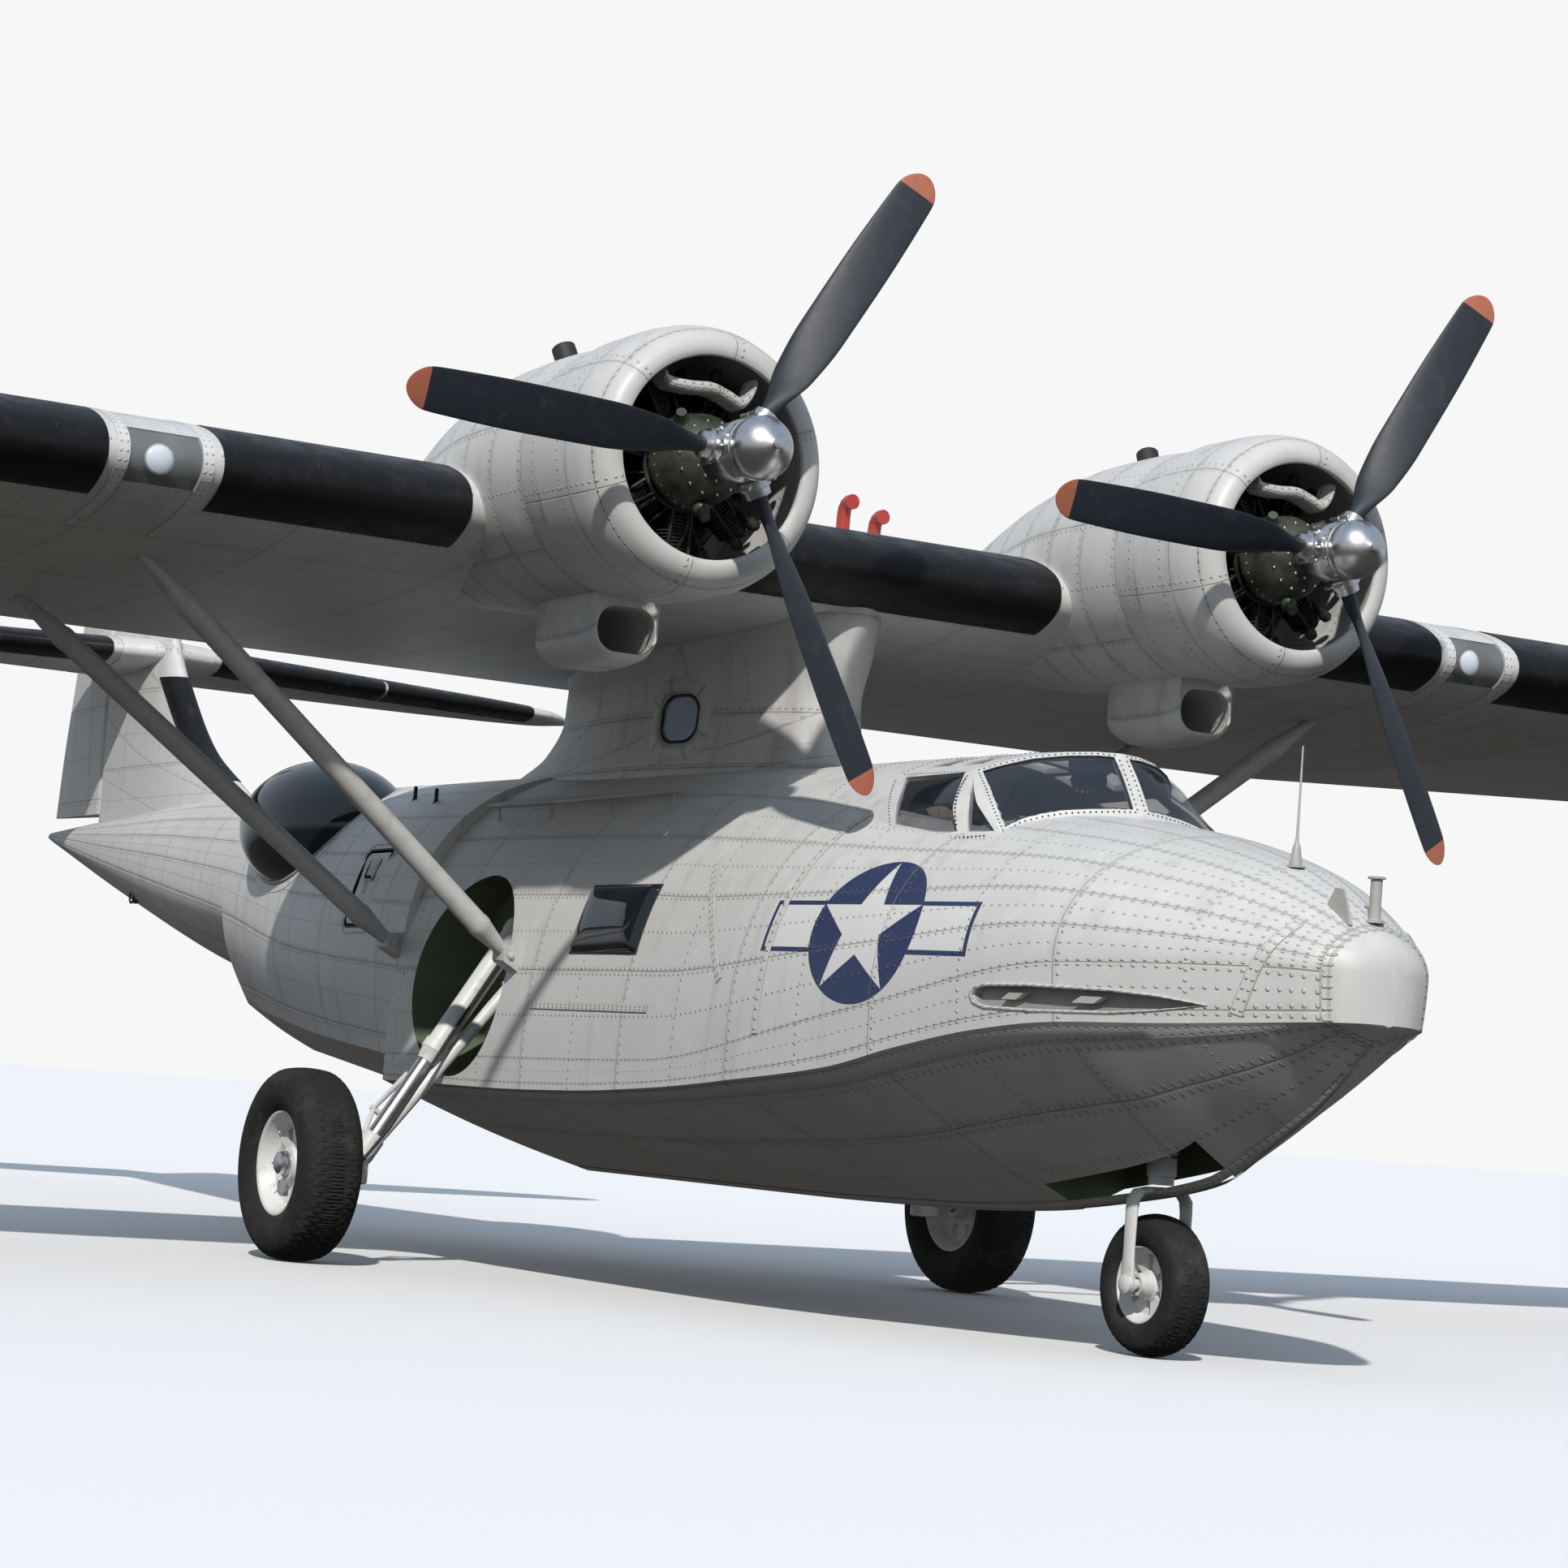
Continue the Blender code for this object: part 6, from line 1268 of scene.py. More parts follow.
for side, sign in SIDES.items():
    u, v = oval(1.0, -1.0, 1.0)
    rings = [[pylon_side(PYLON_WINDOW["s"] + u * (PYLON_WINDOW["half_s"] + grow),
                         PYLON_WINDOW["h"] + v * (PYLON_WINDOW["half_h"] + grow), sign)
              + (sign * rise, 0, 0) for grow, rise in ways] for ways in (SEAL_WAYS, SURROUND_WAYS)]
    seal = hoop("pylon_window_seal_" + side, rings[0], seal_black.material)
    surround = hoop("pylon_window_surround_" + side, rings[1], nacelle_grey)
    shrink = np.linspace(1.0, 0.05, 8)[:, None]
    pane = pylon_side(PYLON_WINDOW["s"] + u * PYLON_WINDOW["half_s"] * shrink,
                      PYLON_WINDOW["h"] + v * PYLON_WINDOW["half_h"] * shrink, sign)
    glass = skin("pylon_window_pane_" + side, pane - np.array([sign * 0.012, 0, 0]), pane_blue.material,
                 around=True, ends=(False, True), flip=sign > 0)
    fitted("airframe", (seal, "dark_glass"), (surround, "hull_grey"), (glass, "clear_glass"))

# Wing struts
# Round tubes with tapered ends, two on each side, that run up to the wing's underside and are
# bolted to pressed brackets on the hull.
STRUTS = {"front": {"wing": (4.30, 6.53), "hull": (6.82, 1.30)},
          "rear": {"wing": (4.30, 8.60), "hull": (8.60, 1.38)}}
strut_grey = mottled("strut grey paint", (0.46, 0.46, 0.45), (0.48, 0.475, 0.465), (0.34, 0.335, 0.32),
                     (10.0, 6.0, 0.7), (0.36, 0.16), (0.45, 0.75, 0.7), 0.001)
for side, sign in SIDES.items():
    for place, ends in STRUTS.items():
        (wing_x, wing_s), (hull_s, hull_h) = ends["wing"], ends["hull"]
        lead, _, chord, _ = wing_lines(wing_x)
        q = np.arccos(1 - 2 * (wing_s - lead) / chord) / pi
        top = wing_skin([sign * wing_x], [q])[0, 0]
        foot = at(sign * (hull_width(hull_s, hull_h) + 0.02), hull_s, hull_h)
        long = np.linalg.norm(top - foot)
        shaft = spindle(foot, top - foot, [0.08, 0.10, 0.14, 0.30, 0.31, 0.35, 0.36, long - 0.42,
                                           long - 0.41, long - 0.36, long - 0.35, long - 0.10,
                                           long + 0.03], [0.030, 0.043, 0.046, 0.070, 0.074, 0.074,
                                                          0.070, 0.070, 0.074, 0.074, 0.068, 0.040,
                                                          0.030], 32)
        x0, x1 = abs(foot[0]) - 0.25, abs(foot[0]) + 0.10
        outline = np.array([(x0, hull_h - 0.20), (x1 - 0.01, hull_h - 0.012), (x1, hull_h + 0.0),
                            (x1, hull_h + 0.08), (x1 - 0.01, hull_h + 0.09), (x0, hull_h + 0.12)])
        bracket = at(sign * outline[:, 0], hull_s + np.array([[-0.075], [-0.070], [0.070], [0.075]]),
                     outline[:, 1])
        bracket[[0, 3]] = bracket[[0, 3]] * 0.97 + bracket[[0, 3]].mean(axis=1, keepdims=True) * 0.03
        pins = [spindle(foot + np.array([sign * 0.05, y, 0.03]), (0, 1, 0), [-0.02, -0.015, 0.0, 0.005],
                        [0.012, 0.022, 0.022, 0.016], 6) for y in (-0.078, 0.094)]
        strut = gathered("strut_%s_%s_tube" % (place, side), [shaft, bracket] + pins,
                         strut_grey.material)
        fitted("airframe", (strut, "strut_grey", "strut_%s_%s" % (place, side)))

# Landing lamps
# A round frosted lamp stands in each black pocket of the leading edge, behind a clear cover bent
# to the nose of the wing and held by two riveted white end frames.
COVER_UPPER = 0.245
COVER_LOWER = 0.265

lamp_glass = mottled("frosted lamp glass", (0.70, 0.78, 0.88), (0.78, 0.84, 0.92), (0.60, 0.70, 0.82),
                     (40.0, 3.0, 0.5), (0.12, 0.15), coat_weight=0.6)
clear_cover = Coat("clear cover", (0.85, 0.90, 0.92), 0.06)
wipe = clear_cover.noise(5.0, 4.0)
clear_cover.feed(alpha=0.06 + wipe * 0.08, roughness=0.05 + wipe * 0.08)
frame_white = plated("lamp frame paint", rows=[("run", 0, 0.017), ("run", 0, 0.053)],
                     laps=[("girth", 0), ("far", 0)], colour=(0.62, 0.62, 0.61))
for side, sign in SIDES.items():
    lead, height, _, _ = wing_lines(LAMP_X)
    centre = at(sign * LAMP_X, lead + LAMP_DEEP, height - 0.01)
    bowl = closed("landing_lamp_bowl_" + side,
                  spindle(centre, (0, -1, 0), [0, 0.08, 0.13, 0.140, 0.150, 0.152, 0.146],
                          [0.05, 0.06, 0.078, 0.087, 0.087, 0.079, 0.076], 40), bright_metal.material)
    lens = closed("landing_lamp_lens_" + side,
                  spindle(centre, (0, -1, 0), [0.140, 0.152, 0.164, 0.172, 0.175],
                          [0.076, 0.078, 0.062, 0.034, 0.004], 40), lamp_glass.material)
    x = np.linspace(-LAMP_HALF + 0.02, LAMP_HALF - 0.02, 8) * sign + LAMP_X * sign
    q = np.linspace(-COVER_UPPER, COVER_LOWER, 40)
    cover = closed("lamp_cover_" + side,
                   np.concatenate([wing_skin(x, q), wing_skin(x, q, -0.006)[:, ::-1]], axis=1),
                   clear_cover.material)
    pieces = [(bowl, "bright_metal", "landing_lamp_" + side), (lens, "clear_glass"),
              (cover, "clear_glass")]
    for end in (-1, 1):
        x = sign * (LAMP_X + end * (LAMP_HALF + np.array([0.035, -0.035])))
        q = np.linspace(-COVER_UPPER - 0.01, COVER_LOWER + 0.01, 40)
        band = np.concatenate([wing_skin(x, q, 0.004), wing_skin(x, q, -0.010)[:, ::-1]], axis=1)
        pieces.append((closed("lamp_frame_%s_%d" % (side, (end + 1) // 2), band, frame_white),
                       "hull_grey"))
    fitted("airframe", *pieces)

# Canopy
# A riveted frame over the cockpit: a rounded windscreen on each side of a centre post, blended
# into arches that run back to the pylon. The windscreen is a patch between its four edges plus a
# sine bulge; the arches are ellipses that take up its back edge over a short length.
SCREEN_BASE = [(0, 2.40, 2.25), (0.16, 2.42, 2.238), (0.31, 2.455, 2.22), (0.45, 2.50, 2.20),
               (0.57, 2.535, 2.17), (0.685, 2.56, 2.13), (0.76, 2.55, 2.09), (0.834, 2.512, 2.054)]
SCREEN_TOP = [(0, 2.65, 2.60), (0.15, 2.68, 2.595), (0.30, 2.75, 2.58), (0.45, 2.87, 2.55),
              (0.57, 2.99, 2.505), (0.65, 3.13, 2.46)]
SCREEN_HOOP = [(0.834, 2.512, 2.054), (0.785, 2.72, 2.20), (0.725, 2.92, 2.34), (0.65, 3.13, 2.46)]
SCREEN_BULGE = np.array([0.0, -0.05, 0.02])
ARCH_HALF = [(2.4, 0.92), (2.78, 0.955), (3.0, 0.99), (3.4, 1.0), (4.2, 1.0), (5.45, 0.90)]
ARCH_BASE_H = 1.90
ARCH_TOP_H = 2.62
ARCH_START = radians(8.0)
ARCH_FRONT = 3.45
ARCH_BACK = 5.45
CANOPY_FOOT = 1.78
CANOPY_MIDDLE = (3.3, 1.70)
FRAME_THICK = 0.030
SCREEN_PANE = ((0.06, 0.94), (0.09, 0.93))
ARCH_PANES = [[(3.077, 46.3), (2.60, 16.5), (2.787, 15.0)],
              [(3.80, 48.2), (3.188, 49.4), (2.86, 15.5), (2.983, 14.0), (3.441, 19.0)]]
ROOF_PANES = [(0.05, 0.29, 3.20, 3.46), (0.34, 0.54, 3.20, 3.46), (0.05, 0.29, 3.54, 3.80),
              (0.34, 0.54, 3.54, 3.80)]


def along_line(points, share):
    """Places at shares of a broken line's length."""
    points = np.array(points, float)
    far = np.concatenate([[0], np.cumsum(np.linalg.norm(np.diff(points, axis=0), axis=1))])
    return np.stack([np.interp(np.asarray(share) * far[-1], far, points[:, k]) for k in range(3)],
                    axis=-1)


def screen_place(t, v):
    """Windscreen at shares across from the centre post, negative to starboard, and shares up."""
    t, v = np.broadcast_arrays(np.asarray(t, float), np.asarray(v, float))
    side, t = np.sign(t), np.abs(t)
    wide, tall = t[..., None], v[..., None]
    post, back = (np.array((SCREEN_BASE[k], SCREEN_TOP[k])) for k in (0, -1))
    place = along_line(SCREEN_BASE, t) * (1 - tall) + along_line(SCREEN_TOP, t) * tall
    place += (post[0] * (1 - tall) + post[1] * tall) * (1 - wide) + along_line(SCREEN_HOOP, v) * wide
    foot, head = (post[k] * (1 - wide) + back[k] * wide for k in (0, 1))
    place -= foot * (1 - tall) + head * tall
    place += SCREEN_BULGE * 4 * wide * (1 - wide) * np.sin(pi * tall)
    place[..., 0] *= np.where(side < 0, -1, 1)
    return place


def arch_place(s, a):
    """Canopy behind the windscreen at stations and angles up from port."""
    s, a = np.broadcast_arrays(np.asarray(s, float), np.asarray(a, float))
    h = ARCH_BASE_H + (ARCH_TOP_H - ARCH_BASE_H) * np.sin(a)
    return np.stack([fair(ARCH_HALF, s) * np.cos(a), s, h], axis=-1)


def canopy_block(name, inset, foot, finish):
    """Closed block under the canopy's skin, drawn in towards a line along the cockpit."""
    screen = screen_place(np.linspace(-1, 1, 61)[:, None], np.linspace(0, 1, 19)[None, :])
    up = np.linspace(0, 1, 19)
    edge = np.concatenate([screen_place(1, up[:-1]), screen_place(np.linspace(1, -1, 61), 1),
                           screen_place(-1, up[-2::-1])])
    start = np.arctan2((edge[:, 2] - ARCH_BASE_H) / (ARCH_TOP_H - ARCH_BASE_H),
                       edge[:, 0] / fair(ARCH_HALF, edge[:, 1]))
    gap = edge - arch_place(edge[:, 1], start)
    last = np.linspace(ARCH_START, pi - ARCH_START, len(edge))
    share = np.linspace(0, 1, 11)[:, None]
    blend = arch_place(edge[:, 1] + (ARCH_FRONT - edge[:, 1]) * share, start + (last - start) * share)
    blend += gap * (1 - share[:, :, None]) ** 2
    arches = np.concatenate([blend, arch_place(np.linspace(ARCH_FRONT, ARCH_BACK, 13)[1:, None], last)])

    def drawn_in(places):
        middle = np.stack([0 * places[..., 0], np.maximum(places[..., 1], CANOPY_MIDDLE[0]),
                           np.full(places.shape[:-1], CANOPY_MIDDLE[1])], axis=-1)
        way = places - middle
        places = places - inset * way / np.linalg.norm(way, axis=-1, keepdims=True)
        places[..., 1] = np.minimum(places[..., 1], ARCH_BACK - inset)
        return places

    screen, arches = drawn_in(screen), drawn_in(arches)
    rim = np.concatenate([arches[:0:-1, -1], screen[:, 0], arches[1:, 0]])
    low = rim * (1, 1, 0) + (0, 0, foot)
    half = (len(rim) + 1) // 2
    bottom = np.stack([low[:half], low[::-1][:half]], axis=1)
    back = np.stack([arches[-1][::-1], arches[-1]], axis=1)[:(arches.shape[1] + 1) // 2]
    back = np.concatenate([[[low[0], low[-1]]], back])
    grids = [at(*np.moveaxis(g, -1, 0)) for g in (screen, arches, np.stack([rim, low]), bottom, back)]
    return turned_outward(gathered(name, grids, finish, around=False, ends=False))


def screen_cutter(sign, shares, finish):
    """Curved block through the windscreen within shares across and up."""
    (left, right), (low, high) = shares
    t, v = np.linspace(left, right, 14)[:, None] * sign, np.linspace(low, high, 8)[None, :]
    place = screen_place(t, v)
    way = np.cross(screen_place(t + 0.01 * sign, v) - place, screen_place(t, v + 0.01) - place)
    way /= np.linalg.norm(way, axis=-1, keepdims=True)
    layers = [place - 0.10 * way, place + 0.10 * way]
    loops = [np.concatenate([g[:-1, 0], g[-1, :-1], g[:0:-1, -1], g[0, :0:-1], g[:1, 0]])
             for g in layers]
    grids = [at(*np.moveaxis(g, -1, 0)) for g in layers + [np.stack(loops)]]
    return gathered("pane", grids, finish, around=False, ends=False)


def arch_cutter(sign, pane, finish):
    places = arch_place(np.array([p[0] for p in pane]), np.radians([p[1] for p in pane]))
    swell = np.array([0.86, 1.14])[:, None]
    return rings_of(at(sign * places[:, 0] * swell, places[:, 1],
                       ARCH_BASE_H + (places[:, 2] - ARCH_BASE_H) * swell), finish)


CANOPY_PAINT = (0.60, 0.595, 0.58)
canopy_white = Coat("canopy frame paint", CANOPY_PAINT, 0.40)
worn = canopy_white.noise(8.0, 6.0, rough=0.7)
streaks = canopy_white.noise(3.0, 3.0, (3, 3, 0.5))
streaked = canopy_white.blend(canopy_white.between(streaks, 0.5, 0.8) * 0.3, CANOPY_PAINT, GRIME_AND_SHADE)
canopy_white.feed(base_color=canopy_white.blend(canopy_white.between(worn, 0.45, 0.75) * 0.5, streaked,
                                                (0.46, 0.455, 0.44)), roughness=0.34 + worn * 0.18)
canopy_white.raised(worn, 0.001)
canopy_glass = Coat("canopy glass", (0.035, 0.042, 0.060), 0.04, specular_IOR_level=1.0,
                    coat_weight=1.0, coat_roughness=0.02)
film = canopy_glass.noise(2.2, 3.0)
canopy_glass.feed(alpha=0.24 + film * 0.16, roughness=0.03 + film * 0.05)
canopy = canopy_block("canopy_skin", 0.0, CANOPY_FOOT, canopy_white.material)
carve(canopy, canopy_block("hollow", FRAME_THICK, CANOPY_FOOT - 0.2, inside_green.material))
panes = canopy_block("canopy_panes", 0.010, CANOPY_FOOT, canopy_glass.material)
carve(panes, canopy_block("hollow", 0.018, CANOPY_FOOT - 0.2, canopy_glass.material))
for sign in SIDES.values():
    carve(canopy, screen_cutter(sign, SCREEN_PANE, canopy_white.material))
    for pane in ARCH_PANES:
        carve(canopy, arch_cutter(sign, pane, canopy_white.material))
    for inner, outer, front, back in ROOF_PANES:
        low, high = sorted((sign * inner, sign * outer))
        carve(canopy, block((low, front, 2.3), (high, back, 2.9), canopy_white.material))
for piece, node, slot in ((canopy, "canopy_frame", "hull_grey"),
                          (panes, "canopy_glass", "clear_glass")):
    fitted("airframe", (piece, slot, node))

# Black sealing strip round each windscreen pane and slotted fasteners along every frame.
heads, seals = [], []


def fasteners(path, ways, spacing=0.034, size=0.0062):
    """Low domed heads evenly along a path, standing on the skin."""
    far = np.concatenate([[0], np.cumsum(np.linalg.norm(np.diff(path, axis=0), axis=1))])
    places = np.arange(spacing / 2, far[-1], spacing)
    spots = np.stack([np.interp(places, far, path[:, k]) for k in range(3)], axis=-1)
    outs = np.stack([np.interp(places, far, ways[:, k]) for k in range(3)], axis=-1)
    return [spindle(spot, out, [-0.003, 0.0012, 0.0026], [size, size, size * 0.5], 7)
            for spot, out in zip(spots, outs)]


def screen_path(sign, t, v):
    """Path over the windscreen and the way out of it all along."""
    place = screen_place(sign * np.asarray(t), v)
    way = np.cross(screen_place(sign * (np.asarray(t) + 0.01), v) - place,
                   screen_place(sign * np.asarray(t), np.asarray(v) + 0.01) - place)
    way *= np.sign(way[..., 2:]) / np.linalg.norm(way, axis=-1, keepdims=True)
    return at(*place.T), way


def arch_path(sign, corners, steps=14):
    """Path over the arches through (station, degrees) corners."""
    s = np.concatenate([np.linspace(p[0], q[0], steps) for p, q in zip(corners, corners[1:])])
    a = np.radians(np.concatenate([np.linspace(p[1], q[1], steps)
                                   for p, q in zip(corners, corners[1:])]))
    place = arch_place(s, a) * (sign, 1, 1)
    way = place - np.stack([0 * s, s, np.full(len(s), ARCH_BASE_H)], axis=-1)
    return at(*place.T), way / np.linalg.norm(way, axis=-1, keepdims=True)


ARCH_FASTENERS = ([(3.12, 50.5), (3.86, 50.5)],
                  [(2.56, 12.5), (2.98, 11.0), (3.44, 16.0), (3.86, 46.5)],
                  [(3.135, 47.0), (2.83, 16.0)], [(3.90, 51), (3.90, 89)], [(3.15, 53), (3.15, 89)],
                  [(3.50, 60), (3.50, 89)], [(4.4, 12), (4.4, 89)])
t, v = np.linspace(0.03, 0.97, 60), np.linspace(0.05, 0.95, 30)
for sign in SIDES.values():
    for across, up in ((t, 0.045 + 0 * t), (t, 0.965 + 0 * t), (0.030 + 0 * v, v), (0.970 + 0 * v, v)):
        heads += fasteners(*screen_path(sign, across, up))
    for line in ARCH_FASTENERS:
        heads += fasteners(*arch_path(sign, line))
    (left, right), (low, high) = SCREEN_PANE
    corners = np.array([(left, low), (right, low), (right, high), (left, high), (left, low)])
    loop = np.concatenate([np.linspace(p, q, 24)[:-1] for p, q in zip(corners, corners[1:])])
    path, way = screen_path(sign, loop[:, 0], loop[:, 1])
    seals.append(tube(np.concatenate([path, path[:1]]) - np.concatenate([way, way[:1]]) * 0.006, 0.0065,
                      8))
heads = gathered("canopy_fasteners", heads, seal_black.material)
seals = gathered("canopy_seals", seals, seal_black.material)
fitted("airframe", (heads, "panel_black"), (seals, "panel_black"))

# Cockpit
# Two padded seats on the cockpit floor, a panel of dials ahead of them, a control column with two
# half wheels, and throttle levers hanging on pulleys from the roof.
FLOOR_H = COCKPIT["floor"]
SEAT_X = 0.36


def pillow(low, high, corner=0.30, count=28):
    """Rounded block: a superellipsoid between two corners given as (x, s, h)."""
    low, high = np.array(low, float), np.array(high, float)
    middle, half = (low + high) / 2, np.abs(high - low) / 2
    u = np.linspace(-pi / 2, pi / 2, count // 2)[:, None]
    v = np.linspace(0, 2 * pi, count + 1)[None, :-1]
    x = half[0] * blunted(np.cos(u), corner) * blunted(np.cos(v), corner)
    s = half[1] * blunted(np.cos(u), corner) * blunted(np.sin(v), corner)
    h = half[2] * blunted(np.sin(u), corner) + 0 * v
    return at(middle[0] + x, middle[1] + s, middle[2] + h)


seat_cloth = Coat("seat cloth", (0.40, 0.345, 0.235), 0.85, sheen_weight=0.3)
x_at, _, z_at = seat_cloth.coordinates()
weave = seat_cloth.noise(90.0, 2.0)
seam = seat_cloth.least(seat_cloth.nearest(x_at, 0.11, 0.03), seat_cloth.nearest(z_at, 0.15, 0.04))
seat_cloth.feed(base_color=seat_cloth.blend(weave * 0.5 + seat_cloth.between(seam, 0.008, 0.0) * 0.5,
                                            (0.45, 0.39, 0.27), (0.24, 0.20, 0.13)),
                roughness=0.78 + weave * 0.15)
seat_cloth.raised(seat_cloth.between(seam, 0.0, 0.018) + weave * 0.15, 0.005)
cushions, frames = [], []
for sign in SIDES.values():
    x0, x1 = sign * (SEAT_X - 0.21), sign * (SEAT_X + 0.21)
    cushions += [pillow((x0, 3.59, FLOOR_H + 0.30), (x1, 4.05, FLOOR_H + 0.43)),
                 pillow((x0, 3.99, FLOOR_H + 0.40), (x1, 4.10, FLOOR_H + 1.01)),
                 pillow((x0 + sign * 0.06, 3.985, FLOOR_H + 0.80),
                        (x1 - sign * 0.06, 4.115, FLOOR_H + 1.02))]
    for edge in (-0.19, 0.19):
        x = sign * SEAT_X + edge
        frames.append(tube(at(x + np.zeros(7), [3.60, 3.60, 3.62, 3.90, 4.02, 4.06, 4.10],
                              np.array([0.0, 0.22, 0.27, 0.28, 0.30, 0.45, 0.98]) + FLOOR_H), 0.013,
                           10))
        frames.append(tube(at(x + np.zeros(3), [3.98, 3.99, 4.0],
                              np.array([0.0, 0.15, 0.29]) + FLOOR_H), 0.013, 10))
cushions = gathered("seat_cushions", cushions, seat_cloth.material)
frames = gathered("seat_frames", frames, strut_grey.material)

panel_black = mottled("panel wrinkle paint", (0.016, 0.016, 0.017), (0.012, 0.012, 0.013),
                      (0.030, 0.030, 0.031), (140.0, 2.0, 0.5), (0.55, 0.2), bump=0.0006)
dial_face = Coat("dial face", (0.02, 0.02, 0.02), 0.25, coat_weight=0.7)
x_at, _, z_at = dial_face.coordinates()
hand = dial_face.least(dial_face.nearest(x_at, 0.14, 0.0), dial_face.nearest(z_at, 0.13, 0.02))
dial_face.feed(base_color=dial_face.blend(dial_face.between(hand, 0.004, 0.002)
                                          * dial_face.between(dial_face.noise(30.0), 0.4, 0.5),
                                          (0.018, 0.018, 0.018), (0.75, 0.74, 0.68)))
board = [pillow((-0.62, 2.79, FLOOR_H + 0.30), (0.62, 2.85, FLOOR_H + 0.66), 0.12)]
dials = []
for x in np.linspace(-0.49, 0.49, 8):
    for h in (0.43, 0.56):
        spot = at(x, 2.852, FLOOR_H + h)
        board.append(spindle(spot, (0, 1, 0), [-0.01, 0.010, 0.014, 0.008],
                             [0.052, 0.052, 0.046, 0.044], 28))
        dials.append(spindle(spot, (0, 1, 0), [0.0, 0.007, 0.0075], [0.045, 0.045, 0.02], 28))
for x in (-0.5, 0.5):
    board.append(tube(at([x, x], [2.82, 2.82], [FLOOR_H, FLOOR_H + 0.34]), 0.02, 10))
board = gathered("instrument_board", board, panel_black.material)
dials = gathered("instrument_dials", dials, dial_face.material)
column = [spindle(at(0, 3.18, FLOOR_H), (0, 0, 1), [0.0003, 0.02, 0.025, 0.60, 0.62],
                  [0.09, 0.09, 0.03, 0.026, 0.02], 20),
          tube(at([-0.42, -0.2, 0, 0.2, 0.42], [3.18] * 5, [FLOOR_H + 0.60] * 5), 0.022, 12)]
for sign in SIDES.values():
    a = np.radians(np.linspace(-150, 150, 31)) + pi
    column.append(tube(at(sign * 0.38 + 0.13 * np.sin(a), 3.25 + 0 * a,
                          FLOOR_H + 0.64 - 0.13 * np.cos(a)), 0.012, 10))
    column.append(tube(at([sign * 0.38, sign * 0.38], [3.16, 3.25], [FLOOR_H + 0.60, FLOOR_H + 0.60]),
                       0.02, 10))
    column.append(tube(at([sign * 0.38 - 0.12, sign * 0.38 + 0.12], [3.25, 3.25],
                          [FLOOR_H + 0.62, FLOOR_H + 0.62]), 0.010, 8))
column = gathered("control_column_parts", column, panel_black.material)
throttle = [pillow((-0.10, 2.86, 2.50), (0.10, 3.02, 2.57), 0.2)]
for x in np.linspace(-0.075, 0.075, 5):
    throttle.append(spindle(at(x - 0.011, 2.94, 2.46), (1, 0, 0),
                            [0, 0.004, 0.006, 0.016, 0.018, 0.022],
                            [0.052, 0.060, 0.052, 0.052, 0.060, 0.052], 28))
for x in (-0.055, -0.018, 0.018, 0.055):
    throttle.append(tube(at([x, x, x * 1.2, x * 1.4], [2.94, 2.95, 2.99, 3.00],
                            [2.45, 2.35, 2.25, 2.16]), 0.009, 8))
    throttle.append(spindle(at(x * 1.4, 3.00, 2.16), (0, 0.1, -1), [-0.03, -0.02, 0.0, 0.02, 0.03],
                            [0.010, 0.020, 0.024, 0.020, 0.008], 14))
throttle = gathered("roof_throttles", throttle, panel_black.material)
fitted("airframe", (cushions, "seat_beige", "seats"), (frames, "strut_grey"),
       (board, "panel_black", "instrument_panel"), (dials, "panel_black"),
       (column, "panel_black", "control_column"), (throttle, "panel_black"))

# Fin and rudder
# A tall fin faired up from the hull with a round-nosed rudder behind it, both plated over ribs.
# Sections are symmetric, their half thickness the usual root and power polynomial of the chord.
FIN_TOP_H = 5.50
FIN_LEAD = [(2.4, 14.2), (2.79, 15.04), (3.13, 15.77), (3.60, 16.34), (4.02, 16.72), (4.7, 17.05),
            (5.2, 17.28), (FIN_TOP_H, 17.60)]
RUDDER_TAIL = [(2.55, 19.38), (3.2, 19.30), (3.92, 19.16), (4.7, 19.02), (5.2, 18.86),
               (FIN_TOP_H, 18.55)]
FIN_HALF = [(2.4, 0.20), (3.0, 0.165), (4.0, 0.14), (5.0, 0.11), (FIN_TOP_H, 0.045)]
RUDDER_S = 18.10
RUDDER_FOOT = 2.64
FIN_FOOT = 2.42
TAIL_PITCH = 0.42


def tail_half(fraction):
    """Half thickness of a symmetric section as a share of its largest."""
    return (half_thick(fraction, 0.2) - TAIL_EDGE) / 0.1


def fin_place(h, s, grow=0.0):
    """Starboard skin of the fin and rudder at heights and stations."""
    lead, trail = fair(FIN_LEAD, h), fair(RUDDER_TAIL, np.maximum(h, 2.55))
    half = fair(FIN_HALF, np.maximum(h, 2.4))
    return half * tail_half((s - lead) / (trail - lead)) + 0.003 + grow


tail_grey = plated("tail grey paint", rows=[("run", TAIL_PITCH, 0.10), ("girth", 0.55, 0.20)],
                   laps=[("run", TAIL_PITCH * 2, 0.13), ("girth", 1.65, 0.23)])
h = np.linspace(FIN_FOOT, FIN_TOP_H, 46)[:, None]
fin_half = fin_place(h, RUDDER_S)
t = (1 - np.cos(pi * np.linspace(0, 1, 28)))[None, :] / 2
s = fair(FIN_LEAD, h) + (RUDDER_S - fin_half - RUN - fair(FIN_LEAD, h)) * t
x = fin_place(h, s)
fin = closed("fin_skin", np.concatenate([at(x, s, h)[:, ::-1], at(-x, s, h)], axis=1), tail_grey)
h = np.linspace(RUDDER_FOOT + RUN, FIN_TOP_H, 40)[:, None]
half = fin_place(h, RUDDER_S)
s = RUDDER_S + (fair(RUDDER_TAIL, np.maximum(h, 2.55)) - RUDDER_S) * t[:, ::-1]
a = np.linspace(0, pi, 12)[None, 1:-1]
nose = at(half * np.cos(a), RUDDER_S - half * np.sin(a), h)
x = fin_place(h, s)
